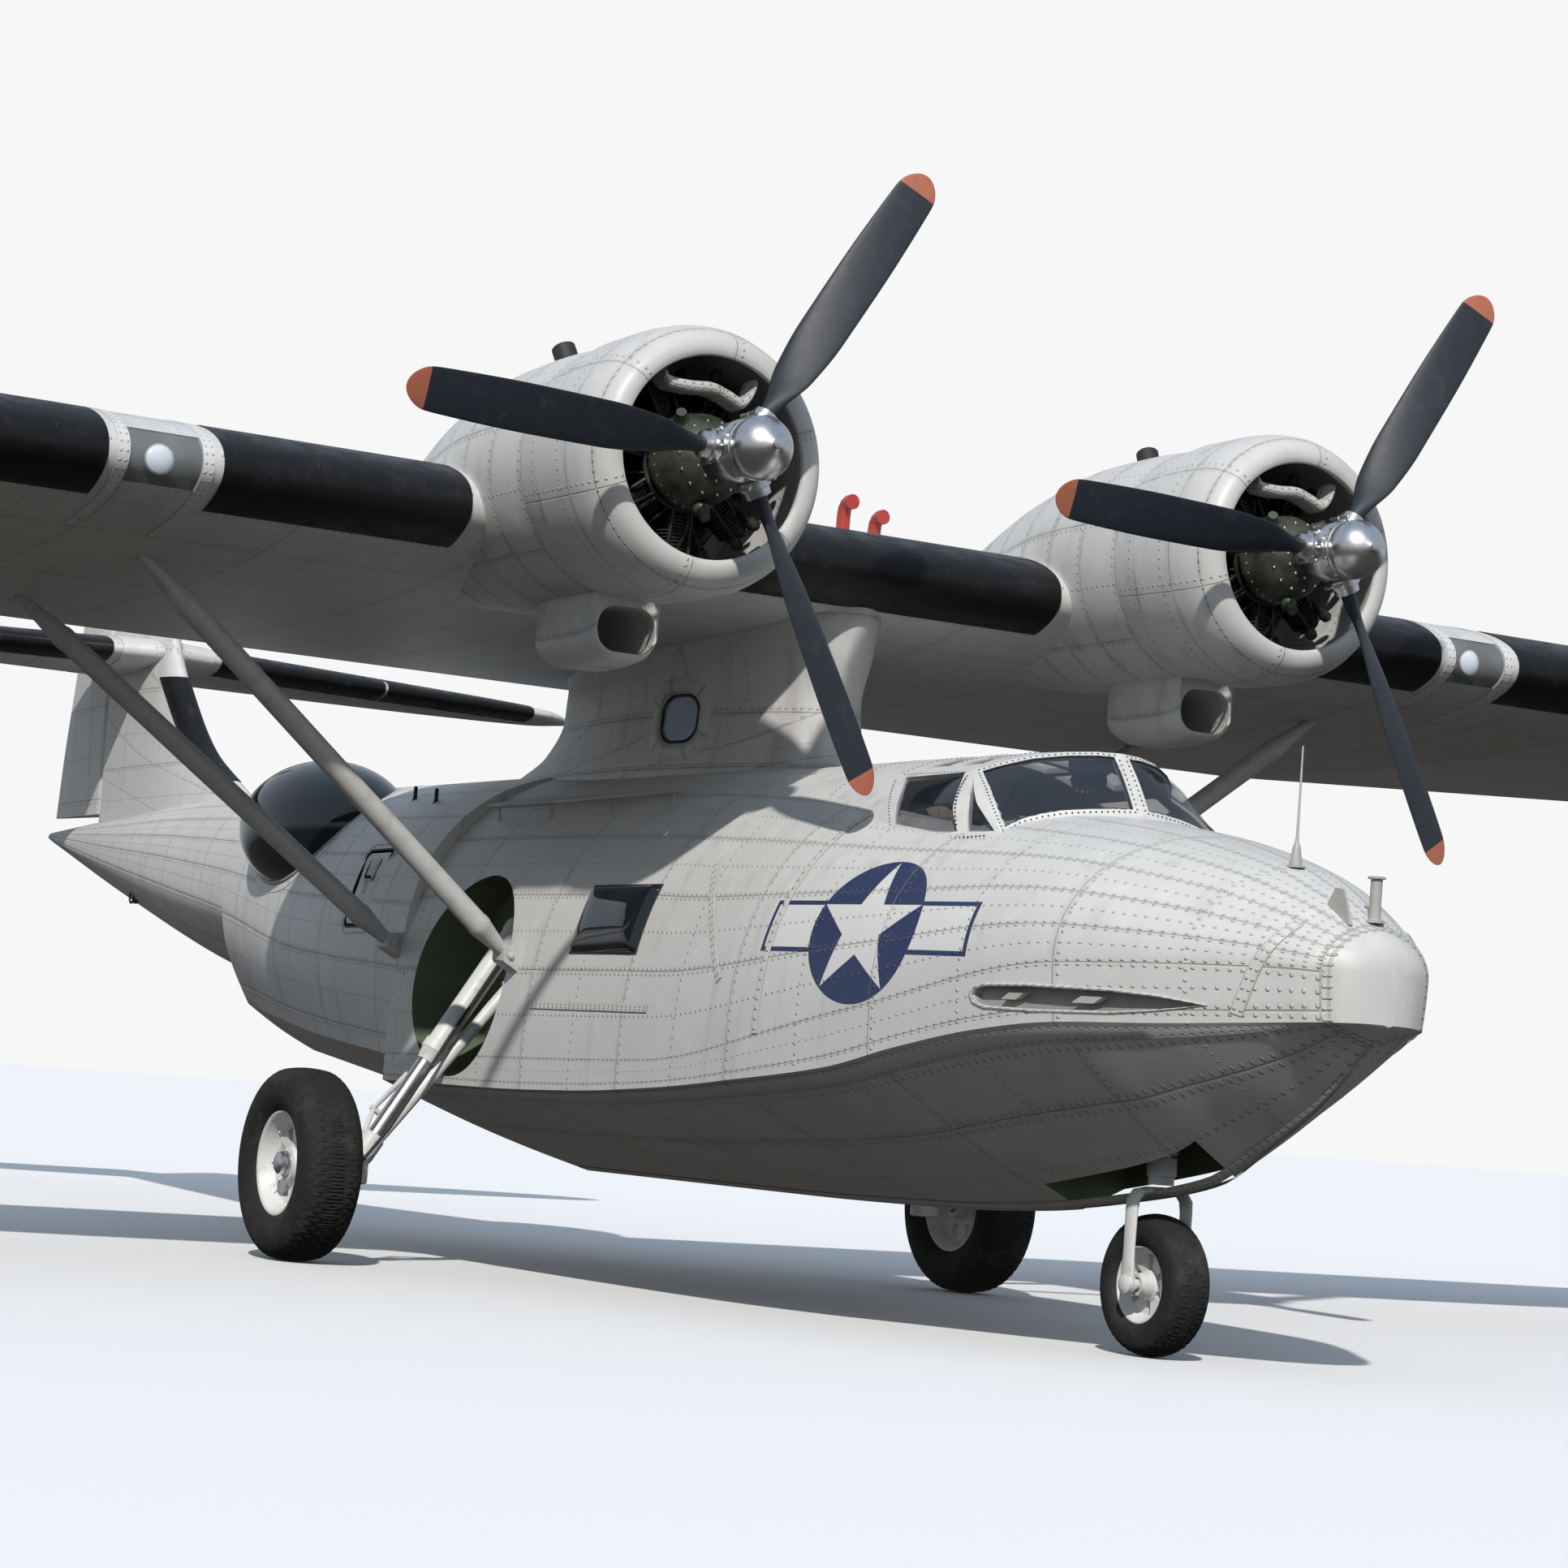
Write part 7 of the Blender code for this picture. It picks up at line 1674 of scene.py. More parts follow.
rudder = closed("rudder_skin", np.concatenate([at(x, s, h), nose, at(-x, s, h)[:, ::-1]], axis=1),
                tail_grey)
fitted("rudder_body", (rudder, "hull_grey", "rudder"))
foot = gathered("rudder_foot", [spindle(at(0, RUDDER_S, RUDDER_FOOT - 0.06), (0, 0, 1),
                                        [0, 0.05, 0.055, 0.064], [0.07, 0.07, 0.045, 0.045], 20)],
                strut_grey.material)
tabs = [(fin, "hull_grey", "fin"), (foot, "strut_grey")]
for number, (low, high) in enumerate(((2.86, 3.80), (4.26, 5.26))):
    h = np.linspace(low, high, 24)[:, None]
    t = np.linspace(0, 1, 15)[None, :]
    s = fair(FIN_LEAD, h) + 0.30 * t ** 2
    swell = BOOT_THICK * np.minimum((1 - t) * 30, 1)
    x = fin_place(h, s, swell) - 0.003 * (t > 0.99)
    front = np.concatenate([at(x, s, h)[:, ::-1], at(-x, s, h)[:, 1:]],
                           axis=1) - np.array([0, 0.006, 0])
    tabs.append((skin("fin_boot_%d" % number, front, boot_rubber.material), "panel_black"))
fitted("airframe", *tabs)

# Tailplane and elevators
# Two halves set part of the way up the fin, plated like it, each with a boot along its nose and a
# riveted collar round its root. The elevators share one hinge line.
STAB_H = 4.02
STAB_HALF = 4.65
STAB_LEAD = [(0.0, 16.80), (1.0, 17.12), (2.5, 17.50), (3.8, 17.83), (4.3, 18.02), (STAB_HALF, 18.35)]
STAB_TRAIL = [(0.0, 19.36), (2.5, 19.32), (3.8, 19.20), (4.3, 19.05), (STAB_HALF, 18.75)]
STAB_THICK = [(0.0, 0.15), (2.5, 0.11), (4.3, 0.07), (STAB_HALF, 0.03)]
ELEVATOR_S = 18.45
ELEVATOR = (0.20, 4.10)
ELEVATOR_NOSE = 0.112
SWING = np.array([(0.14, 17.93), (0.16, RUDDER_S), (0.28, ELEVATOR_S), (0.50, 19.50)])


def stab_place(reach, s, grow=0.0):
    """Half thickness of the tailplane at places out from the middle and stations."""
    lead, trail = fair(STAB_LEAD, reach), fair(STAB_TRAIL, reach)
    return fair(STAB_THICK, reach) * tail_half((s - lead) / (trail - lead)) + 0.003 + grow


def swing_room():
    outline = np.concatenate([SWING, SWING[::-1] * (-1, 1)])
    return rings_of(at(outline[:, 0], outline[:, 1], STAB_H + np.array([[-0.5], [0.5]])), tail_grey)


for side, sign in SIDES.items():
    reach = np.concatenate([np.linspace(0.05, 4.1, 28),
                            4.1 + 0.55 * np.sin(np.linspace(0, pi / 2, 9))[1:]])[:, None]
    t = (1 - np.cos(pi * np.linspace(0, 1, 34)))[None, :] / 2
    s = fair(STAB_LEAD, reach) + (fair(STAB_TRAIL, reach) - fair(STAB_LEAD, reach)) * t
    w = stab_place(reach, s)
    stab = closed("stabilizer_skin_" + side,
                  np.concatenate([at(sign * reach, s, STAB_H + w)[:, ::-1],
                                  at(sign * reach, s, STAB_H - w)], axis=1), tail_grey)
    low, high = sorted((0.0, sign * (ELEVATOR[1] + RUN)))
    carve(stab, block((low, ELEVATOR_S - ELEVATOR_NOSE - RUN, STAB_H - 0.5), (high, 20.5, STAB_H + 0.5),
                      tail_grey))
    carve(stab, swing_room())
    reach = np.linspace(*ELEVATOR, 26)[:, None]
    half = stab_place(reach, ELEVATOR_S)
    t = (1 - np.cos(pi * np.linspace(0.35, 1, 18)))[None, ::-1] / 2
    s = ELEVATOR_S + (fair(STAB_TRAIL, reach) - ELEVATOR_S) * (t - t[:, -1:]) / (t[:, :1] - t[:, -1:])
    w = stab_place(reach, s)
    a = np.linspace(0, pi, 12)[None, 1:-1]
    nose = at(sign * reach, ELEVATOR_S - half * np.sin(a), STAB_H + half * np.cos(a))
    elevator = closed("elevator_skin_" + side,
                      np.concatenate([at(sign * reach, s, STAB_H + w), nose,
                                      at(sign * reach, s, STAB_H - w)[:, ::-1]], axis=1), tail_grey)
    carve(elevator, swing_room())
    fitted("elevators", (elevator, "hull_grey", "elevator_" + side))
    pieces = [(stab, "hull_grey", "stabilizer_" + side)]
    for number, (inner, outer) in enumerate(((0.50, 2.30), (2.33, 4.05))):
        reach = np.linspace(inner, outer, 20)[:, None]
        t = np.linspace(0, 1, 15)[None, :]
        s = fair(STAB_LEAD, reach) + 0.26 * t ** 2
        w = stab_place(reach, s, BOOT_THICK * np.minimum((1 - t) * 30, 1)) - 0.003 * (t > 0.99)
        front = np.concatenate([at(sign * reach, s, STAB_H + w)[:, ::-1],
                                at(sign * reach, s, STAB_H - w)[:, 1:]], axis=1)
        pieces.append((skin("tailplane_boot_%s_%d" % (side, number), front - np.array([0, 0.006, 0]),
                            boot_rubber.material, flip=sign > 0), "panel_black"))
    reach = np.array([[0.10], [0.42]])
    t = np.linspace(0, 1, 24)[None, :]
    s = fair(STAB_LEAD, reach) - 0.008 + (ELEVATOR_S - 0.16 - fair(STAB_LEAD, reach)) * t ** 2
    w = stab_place(reach, s + 0.008, 0.007)
    ring = np.concatenate([at(sign * reach, s, STAB_H + w)[:, ::-1], at(sign * reach, s, STAB_H - w)],
                          axis=1)
    pieces.append((closed("tailplane_collar_" + side, ring, frame_white), "hull_grey"))
    fitted("airframe", *pieces)

# Main landing gear
# Each leg is an oil strut with a bright piston, braced by a link from the same wheel well and
# closed by folding scissors. The axle carries a white pressed disc with eight holes and a rubber
# tyre whose tread is cut into diamonds.
WHEEL_R = 0.60
WHEEL_X = 2.50
WHEEL_S = 7.62
AXLE_H = WHEEL_R - KEEL_GROUND
KNUCKLE_IN = 0.36
TYRE_HALF = 0.203
NOSE_TYRE_HALF = 0.129
LEG_TOP_H = 1.58
LINK_H = 1.24

gear_white = mottled("gear enamel", (0.60, 0.60, 0.59), (0.64, 0.64, 0.63), (0.26, 0.23, 0.19),
                     (7.0, 6.0, 0.7), (0.32, 0.25), (0.52, 0.8, 0.75), 0.001)
tyre_rubber = mottled("tyre rubber", (0.018, 0.018, 0.018), (0.016, 0.016, 0.016),
                      (0.075, 0.070, 0.062), (5.0, 6.0, 0.7), (0.72, 0.16), (0.45, 0.8, 0.6),
                      specular_IOR_level=0.3)
tyre_rubber.raised(tyre_rubber.noise(60.0, 3.0), 0.0012)


def tyre(name, centre, half, section, blocks, depth, finish):
    """Ring of a faired section of (across, radius) with diamond blocks on the outer share of it.

    A groove lies where the sum or the difference of the turns round and across is whole.
    """
    t = np.linspace(0, 1, 61)
    shares = np.linspace(0, 1, len(section))
    across, radius = (fair(list(zip(shares, column)), t) for column in zip(*section))
    a = turns(blocks * 6)[:, None]
    u, v = a * blocks / (2 * pi), (across / half * 2.4)[None, :]
    grooves = np.minimum(np.abs((u + v) % 1 - 0.5), np.abs((u - v) % 1 - 0.5)) * 2
    tread = np.clip((1.0 - np.abs(across) / half - 0.12) * 9, 0, 1) * (radius > 0.8 * radius.max())
    r = radius - depth * tread[None, :] * np.clip(1.3 - grooves * 5, 0, 1)
    grid = np.stack([across[None, :] + 0 * a, r * np.cos(a), r * np.sin(a)],
                    axis=-1) + np.asarray(centre)
    return turned_outward(skin(name, grid, finish, around=True, along=True, sharp=40))


def disc(name, centre, face, rows, finish, holes, hole_r, hole_in, hole_out):
    """Turned disc with tapered holes: rows are (across, radius) of its closed section."""
    thing = turned_outward(skin(name, revolved(centre, "x", [face * p[0] for p in rows],
                                               [p[1] for p in rows], 96), finish, around=True,
                                along=True, sharp=35))
    for k in range(holes):
        a = 2 * pi * (k + 0.5) / holes
        out, side_way = np.array([0, np.cos(a), np.sin(a)]), np.array([0, -np.sin(a), np.cos(a)])
        outline = [out * (hole_r - 0.042) + side_way * w * hole_in for w in (-1, 1)]
        outline += [out * (hole_r + 0.042) + side_way * w * hole_out for w in (1, -1)]
        outline = np.array(outline) + np.asarray(centre)
        carve(thing, rings_of(np.stack([outline - (0.3, 0, 0), outline + (0.3, 0, 0)]), finish))
    return thing


TYRE_SECTION = [(-0.15, 0.3256), (-0.178, 0.36), (-0.203, 0.43), (-0.199, 0.49), (-0.178, 0.545),
                (-0.12, 0.588), (0.0, WHEEL_R), (0.12, 0.588), (0.178, 0.545), (0.199, 0.49),
                (0.203, 0.43), (0.178, 0.36), (0.15, 0.3256)]
DISC_ROWS = [(-0.14, 0.060), (-0.14, 0.088), (-0.135, 0.092), (-0.06, 0.11), (-0.05, 0.13),
             (-0.05, 0.245), (-0.06, 0.262), (-0.135, 0.300), (-0.150, 0.318), (-0.150, 0.325),
             (0.150, 0.325), (0.150, 0.314), (0.142, 0.302), (0.075, 0.270), (0.052, 0.255),
             (0.044, 0.235), (0.044, 0.135), (0.055, 0.115), (0.085, 0.105), (0.09, 0.060)]
for side, sign in SIDES.items():
    centre = at(sign * WHEEL_X, WHEEL_S, AXLE_H)
    rubber = tyre("tyre_tread_" + side, centre, TYRE_HALF, TYRE_SECTION, 54, 0.012,
                  tyre_rubber.material)
    wheel = disc("wheel_disc_" + side, centre, sign, DISC_ROWS, gear_white.material, 8, 0.19, 0.022,
                 0.045)
    outward = np.array([sign, 0, 0])
    cap = [spindle(centre + outward * 0.085, outward, [0.0, 0.03, 0.035, 0.060, 0.072, 0.075],
                   [0.078, 0.078, 0.072, 0.068, 0.050, 0.02], 32),
           spindle(centre + outward * 0.045, outward, [0.0, 0.012, 0.014], [0.115, 0.115, 0.110], 40)]
    for k in range(8):
        a = 2 * pi * k / 8
        spot = np.array([0, np.cos(a), np.sin(a)])
        cap.append(spindle(centre + outward * 0.055 + spot * 0.098, outward, [0, 0.012, 0.016],
                           [0.009, 0.009, 0.006], 6))
        cap.append(spindle(centre + outward * 0.058 + spot * 0.262, outward, [0, 0.014, 0.018],
                           [0.010, 0.010, 0.007], 6))
    cap = gathered("wheel_cap_" + side, cap, bright_metal.material)
    fitted("main_wheel_" + side, (rubber, "tyre_rubber", "tyre_" + side),
           (wheel, "wheel_white", "wheel_" + side), (cap, "bright_metal"))

    knuckle = at(sign * (WHEEL_X - KNUCKLE_IN), WHEEL_S, AXLE_H)
    top = at(sign * (WELL["back"] + 0.07), WELL["s"], LEG_TOP_H)
    link = at(sign * (WELL["back"] + 0.05), WELL["s"], LINK_H)
    long, reach = np.linalg.norm(knuckle - top), np.linalg.norm(knuckle - link)
    leg = [spindle(top, knuckle - top, [0, 0.03, 0.035, 0.10, 0.11, 0.95, 0.96, 1.02, 1.03, 1.10],
                   [0.060, 0.075, 0.080, 0.080, 0.072, 0.072, 0.082, 0.082, 0.074, 0.060], 32),
           spindle(top, knuckle - top, [long - 0.25, long - 0.23, long - 0.10, long],
                   [0.060, 0.078, 0.078, 0.060], 32),
           spindle(link, knuckle - link,
                   [0, 0.06, 0.065, 0.12, 0.13, reach - 0.18, reach - 0.17, reach - 0.05, reach],
                   [0.050, 0.050, 0.056, 0.056, 0.042, 0.042, 0.054, 0.054, 0.030], 24),
           spindle(knuckle - np.array([0, 0, 0.10]), (0, 0, 1), [0, 0.008, 0.192, 0.20],
                   [0.085, 0.098, 0.098, 0.085], 32),
           spindle(knuckle - outward * 0.01, outward, [0, 0.10, 0.11, 0.20, 0.21],
                   [0.070, 0.070, 0.060, 0.060, 0.045], 24),
           spindle(knuckle - outward * 0.01, outward, [0.2, 0.49], [0.0448, 0.0448], 24)]
    way = (knuckle - top) / long
    back = np.array([0, 1.0, 0])
    hinge_way = np.cross(way, back)
    elbow = top + way * (long - 0.42) + back * 0.20
    for end in (top + way * (long - 0.70), top + way * (long - 0.16)):
        for shift in (-0.030, 0.030):
            link_way = elbow - end - back * 0.05
            leg.append(spindle(end + back * 0.05 + hinge_way * shift, link_way,
                               [0, np.linalg.norm(link_way)], [0.020, 0.014], 10))
    leg.append(spindle(elbow - hinge_way * 0.05, hinge_way, [0, 0.10], [0.020, 0.020], 12))
    u, v = oval(0.14, LINK_H - 0.14, LEG_TOP_H + 0.12)
    plate = at(sign * (WELL["back"] + np.array([[0.0003], [0.05], [0.055]])),
               WELL["s"] + u * np.array([[1], [1], [0.94]]), v)
    leg.append(plate)
    for s in (-0.10, 0.10):
        for h in np.linspace(LINK_H - 0.08, LEG_TOP_H + 0.06, 6):
            leg.append(spindle(at(sign * (WELL["back"] + 0.05), WELL["s"] + s, h), outward,
                               [0, 0.014, 0.018], [0.013, 0.013, 0.008], 6))
    leg = gathered("main_leg_parts_" + side, leg, gear_white.material)
    piston = gathered("main_leg_piston_" + side,
                      [spindle(top, way, [1.05, long - 0.2], [0.052, 0.052], 28)],
                      bright_metal.material)
    route = [top + way * far - back * off
             for far, off in ((0.3, 0.085), (0.9, 0.10), (1.2, 0.13), (long - 0.3, 0.14))]
    route.append(knuckle - back * 0.10 + outward * 0.02)
    hose = gathered("brake_hose_" + side, [tube(np.array(route), 0.010, 10)], seal_black.material)
    fitted("airframe", (leg, "strut_grey", "main_leg_" + side), (piston, "bright_metal"),
           (hose, "panel_black"))

# Nose landing gear
# A leg from the roof of the nose well with a bright steering pivot under it, and a welded fork
# that carries a smaller wheel of the same kind.
NOSE_WHEEL_R = 0.38
NOSE_WHEEL_S = 2.02
PIVOT_H = 0.42
FORK_PATH = [(0.0, 0.19), (0.08, 0.19), (0.14, 0.20), (0.172, 0.24), (0.178, 0.30), (0.178, 0.50),
             (0.178, 0.69)]
FORK_DEEP = [0.062, 0.062, 0.060, 0.056, 0.050, 0.046, 0.056]
FORK_THICK = 0.021
NOSE_TYRE_SECTION = [(-0.10, 0.2056), (-0.118, 0.23), (-0.129, 0.27), (-0.122, 0.32), (-0.085, 0.362),
                     (0.0, NOSE_WHEEL_R), (0.085, 0.362), (0.122, 0.32), (0.129, 0.27), (0.118, 0.23),
                     (0.10, 0.2056)]
NOSE_DISC_ROWS = [(-0.12, 0.040), (-0.12, 0.058), (-0.05, 0.072), (-0.032, 0.09), (-0.032, 0.155),
                  (-0.045, 0.17), (-0.10, 0.198), (-0.10, 0.205), (0.10, 0.205), (0.10, 0.198),
                  (0.045, 0.17), (0.032, 0.155), (0.032, 0.09), (0.05, 0.072), (0.12, 0.058),
                  (0.12, 0.040)]
axle = at(0, NOSE_WHEEL_S, NOSE_WHEEL_R - KEEL_GROUND)
rubber = tyre("nose_tyre_tread", axle, NOSE_TYRE_HALF, NOSE_TYRE_SECTION, 40, 0.009,
              tyre_rubber.material)
wheel = disc("nose_wheel_disc", axle, 1, NOSE_DISC_ROWS, gear_white.material, 6, 0.122, 0.016, 0.026)
fitted("nose_wheel_body", (rubber, "tyre_rubber", "nose_tyre"), (wheel, "wheel_white", "nose_wheel"))
down = np.array([0, 0, -1.0])
pivot = at(0, NOSE_WHEEL_S, PIVOT_H)
fork = [spindle(pivot + down * RUN, down, [0, 0.006, 0.10, 0.11, 0.15],
                [0.072, 0.080, 0.080, 0.070, 0.070], 32)]
for sign in SIDES.values():
    path = np.array(FORK_PATH)
    ring = np.array([(np.cos(a), np.sin(a)) for a in turns(20)])
    ways = np.gradient(path, axis=0)
    ways /= np.linalg.norm(ways, axis=1)[:, None]
    x = path[:, :1] - ring[:, 0] * FORK_THICK * ways[:, 1:]
    drop = path[:, 1:] + ring[:, 0] * FORK_THICK * ways[:, :1]
    fork.append(at(sign * x, NOSE_WHEEL_S + ring[:, 1] * np.array(FORK_DEEP)[:, None], PIVOT_H - drop))
    fork.append(spindle(axle + np.array([sign * 0.155, 0, 0]), (sign, 0, 0), [0, 0.044, 0.050, 0.056],
                        [0.052, 0.052, 0.040, 0.022], 24))
fork.append(spindle(axle - np.array([0.17, 0, 0]), (1, 0, 0), [0, 0.34], [0.0298, 0.0298], 20))
fork = gathered("nose_fork_parts", fork, gear_white.material)
fitted("nose_gear", (fork, "strut_grey", "nose_fork"))
roof = at(0, NOSE_WHEEL_S, NOSE_WELL["top"])
leg = [spindle(roof, down, [0.0003, 0.05, 0.055, 0.30, 0.31, 0.37, 0.38, 0.55, 0.56, 0.625, 0.63],
               [0.10, 0.10, 0.085, 0.085, 0.094, 0.094, 0.076, 0.076, 0.084, 0.084, 0.070], 32)]
u, v = oval(0.16, -0.24, 0.24)
leg.append(at(v, NOSE_WHEEL_S + u, NOSE_WELL["top"] - np.array([[0.0003], [0.050], [0.056]])))
for x, s in ((x, s) for x in (-0.19, -0.10, 0.10, 0.19) for s in (-0.11, 0.11)):
    leg.append(spindle(at(x, NOSE_WHEEL_S + s, NOSE_WELL["top"] - 0.05), down, [0, 0.012, 0.016],
                       [0.012, 0.012, 0.008], 6))
leg = gathered("nose_leg_parts", leg, gear_white.material)
pin = gathered("nose_pivot", [spindle(pivot + np.array([0, 0, 0.02]), down, [0, 0.028], [0.060, 0.060],
                                      28)], bright_metal.material)
fitted("airframe", (leg, "strut_grey", "nose_leg"), (pin, "bright_metal"))

# Blisters
# Dark domed glass over the hull's shoulders, seated in a raised rounded sill on a riveted flange.
# The glass is an ellipsoid drawn out from its outer pole to where it meets the skin, which is
# found by halving.
BLISTER = {"x": 0.765, "s": 11.59, "h": 2.30, "rx": 0.54, "rs": 0.98, "rh": 0.51}
SILL_R = 0.020
blister_glass = Coat("dark blister glass", (0.006, 0.008, 0.011), 0.06, coat_weight=0.35,
                     coat_roughness=0.02, specular_IOR_level=0.35)
film = blister_glass.noise(3.0, 5.0)
blister_glass.feed(base_color=blister_glass.blend(film, (0.005, 0.007, 0.010), (0.012, 0.015, 0.019)),
                   roughness=0.035 + blister_glass.between(film, 0.45, 0.8) * 0.05)


def blister_place(theta, phi):
    """Place on the starboard dome at angles from its outer pole and round it."""
    return (-BLISTER["x"] - BLISTER["rx"] * np.cos(theta),
            BLISTER["s"] + BLISTER["rs"] * np.sin(theta) * np.cos(phi),
            BLISTER["h"] + BLISTER["rh"] * np.sin(theta) * np.sin(phi))


def on_hull(s, h, rise=0.0, sign=1):
    """Places on the hull's side moved out square to its section."""
    s, h = np.broadcast_arrays(np.asarray(s, float), np.asarray(h, float))
    width = hull_width(s, h)
    slope = (hull_width(s, h + 0.01) - hull_width(s, h - 0.01)) / 0.02
    out = 1 / np.sqrt(1 + slope**2)
    return at(sign * (width + rise * out), s, h - rise * slope * out)


phi = turns(88)
near, far = np.zeros(len(phi)), np.full(len(phi), pi)
for _ in range(16):
    theta = (near + far) / 2
    x, s, h = blister_place(theta, phi)
    outside = -x > hull_width(s, h)
    near, far = np.where(outside, theta, near), np.where(outside, far, theta)
for side, sign in SIDES.items():
    grid = at(*blister_place(np.linspace(0.02, 1.03, 30)[:, None] * near, phi)) * (-sign, 1, 1)
    dome = skin("blister_glass_" + side, grid, blister_glass.material, around=True, ends=(True, False),
                flip=sign > 0)
    loop = at(*blister_place(near, phi)) * (-sign, 1, 1)
    middle = loop.mean(axis=0)
    out = loop - middle
    out /= np.linalg.norm(out, axis=1)[:, None]
    a = turns(12)[:, None, None]
    ring = loop + SILL_R * (np.cos(a) * out + np.sin(a) * np.array([sign, 0, 0]))
    sill = skin("blister_sill_" + side, np.swapaxes(ring, 0, 1), nacelle_grey, around=True, along=True)
    reach = np.array([0.0, 0.05, 0.095, 0.10])[:, None]
    s, h = loop[:, 1] + MIDDLE_S + out[:, 1] * reach, loop[:, 2] - KEEL_GROUND + out[:, 2] * reach
    flange = on_hull(s, np.minimum(h, fair(DECK, s) - 0.005),
                     np.array([[0.004], [0.004], [0.004], [-0.004]]), sign)
    collar = skin("blister_flange_" + side, flange, nacelle_grey, around=True, flip=sign > 0)
    fitted("airframe", (dome, "dark_glass", "blister_" + side), (turned_outward(sill), "hull_grey"),
           (collar, "hull_grey"))

# Side windows
# Bulged dark panes in the hull's sides, in a thin black seal. Their height off the skin is the
# root of 1 less a fourth power of the reach from the middle.
WINDOW = {"s": 5.69, "h": 1.565, "half_s": 0.415, "half_h": 0.205, "bulge": 0.062}
for side, sign in SIDES.items():
    u, v = np.meshgrid(np.linspace(-1, 1, 41), np.linspace(-1, 1, 25), indexing="ij")
    reach = np.maximum(np.abs(u) ** 5 * 0.999, np.abs(v) ** 2.6 * 0.999)
    rise = 0.002 + WINDOW["bulge"] * np.sqrt(1 - reach) * (1 - 0.30 * u)
    s, h = WINDOW["s"] + u * WINDOW["half_s"], WINDOW["h"] + v * WINDOW["half_h"]
    pane = skin("side_window_pane_" + side, on_hull(s, h, rise, sign), blister_glass.material,
                flip=sign < 0, sharp=50)
    a = turns(96)
    u, v = np.clip(np.cos(a) * 1.42, -1, 1), np.clip(np.sin(a) * 1.42, -1, 1)
    ways = np.array([(-0.008, -0.006), (-0.008, 0.005), (-0.002, 0.008), (0.008, 0.006),
                     (0.012, -0.006)])
    s = WINDOW["s"] + u * (WINDOW["half_s"] + ways[:, :1])
    h = WINDOW["h"] + v * (WINDOW["half_h"] + ways[:, :1])
    seal = hoop("side_window_seal_" + side, on_hull(s, h, ways[:, 1:], sign), seal_black.material)
    fitted("airframe", (pane, "dark_glass", "side_window_" + side), (seal, "dark_glass"))

# Hatches and the cabin behind them
# Rounded doors of plate, flush with the hull and hinged along the top, with a black rubber seal
# round each, a pressed frame outside it and a small dark window. The cabin is green inside.
HATCH = {"s": 9.51, "half_s": 0.21, "h": 1.80, "half_h": 0.25, "thick": 0.045, "gap": 0.016,
         "corner": 0.045, "opening": 0.030}
HATCH_LIGHT = {"corner": 0.03, "half_s": 0.105, "half_h": 0.08}
HATCH_LIGHT_UP = 0.125
CABIN_S = (9.15, 10.4, 11.6, 12.8)
CABIN_FLOOR = 1.10


def door_outline(grow, corner=HATCH["corner"], half_s=HATCH["half_s"], half_h=HATCH["half_h"]):
    """Rounded rectangle round the hatch's middle as stations and heights, wider all round by grow."""
    a = np.radians(np.concatenate([np.linspace(q, q + 90, 9) for q in (0, 90, 180, 270)]))
    side_s, side_h = np.repeat([1, -1, -1, 1], 9), np.repeat([1, 1, -1, -1], 9)
    radius = corner + grow
    return (HATCH["s"] + side_s * (half_s - corner) + radius * np.cos(a),
            HATCH["h"] + side_h * (half_h - corner) + radius * np.sin(a))


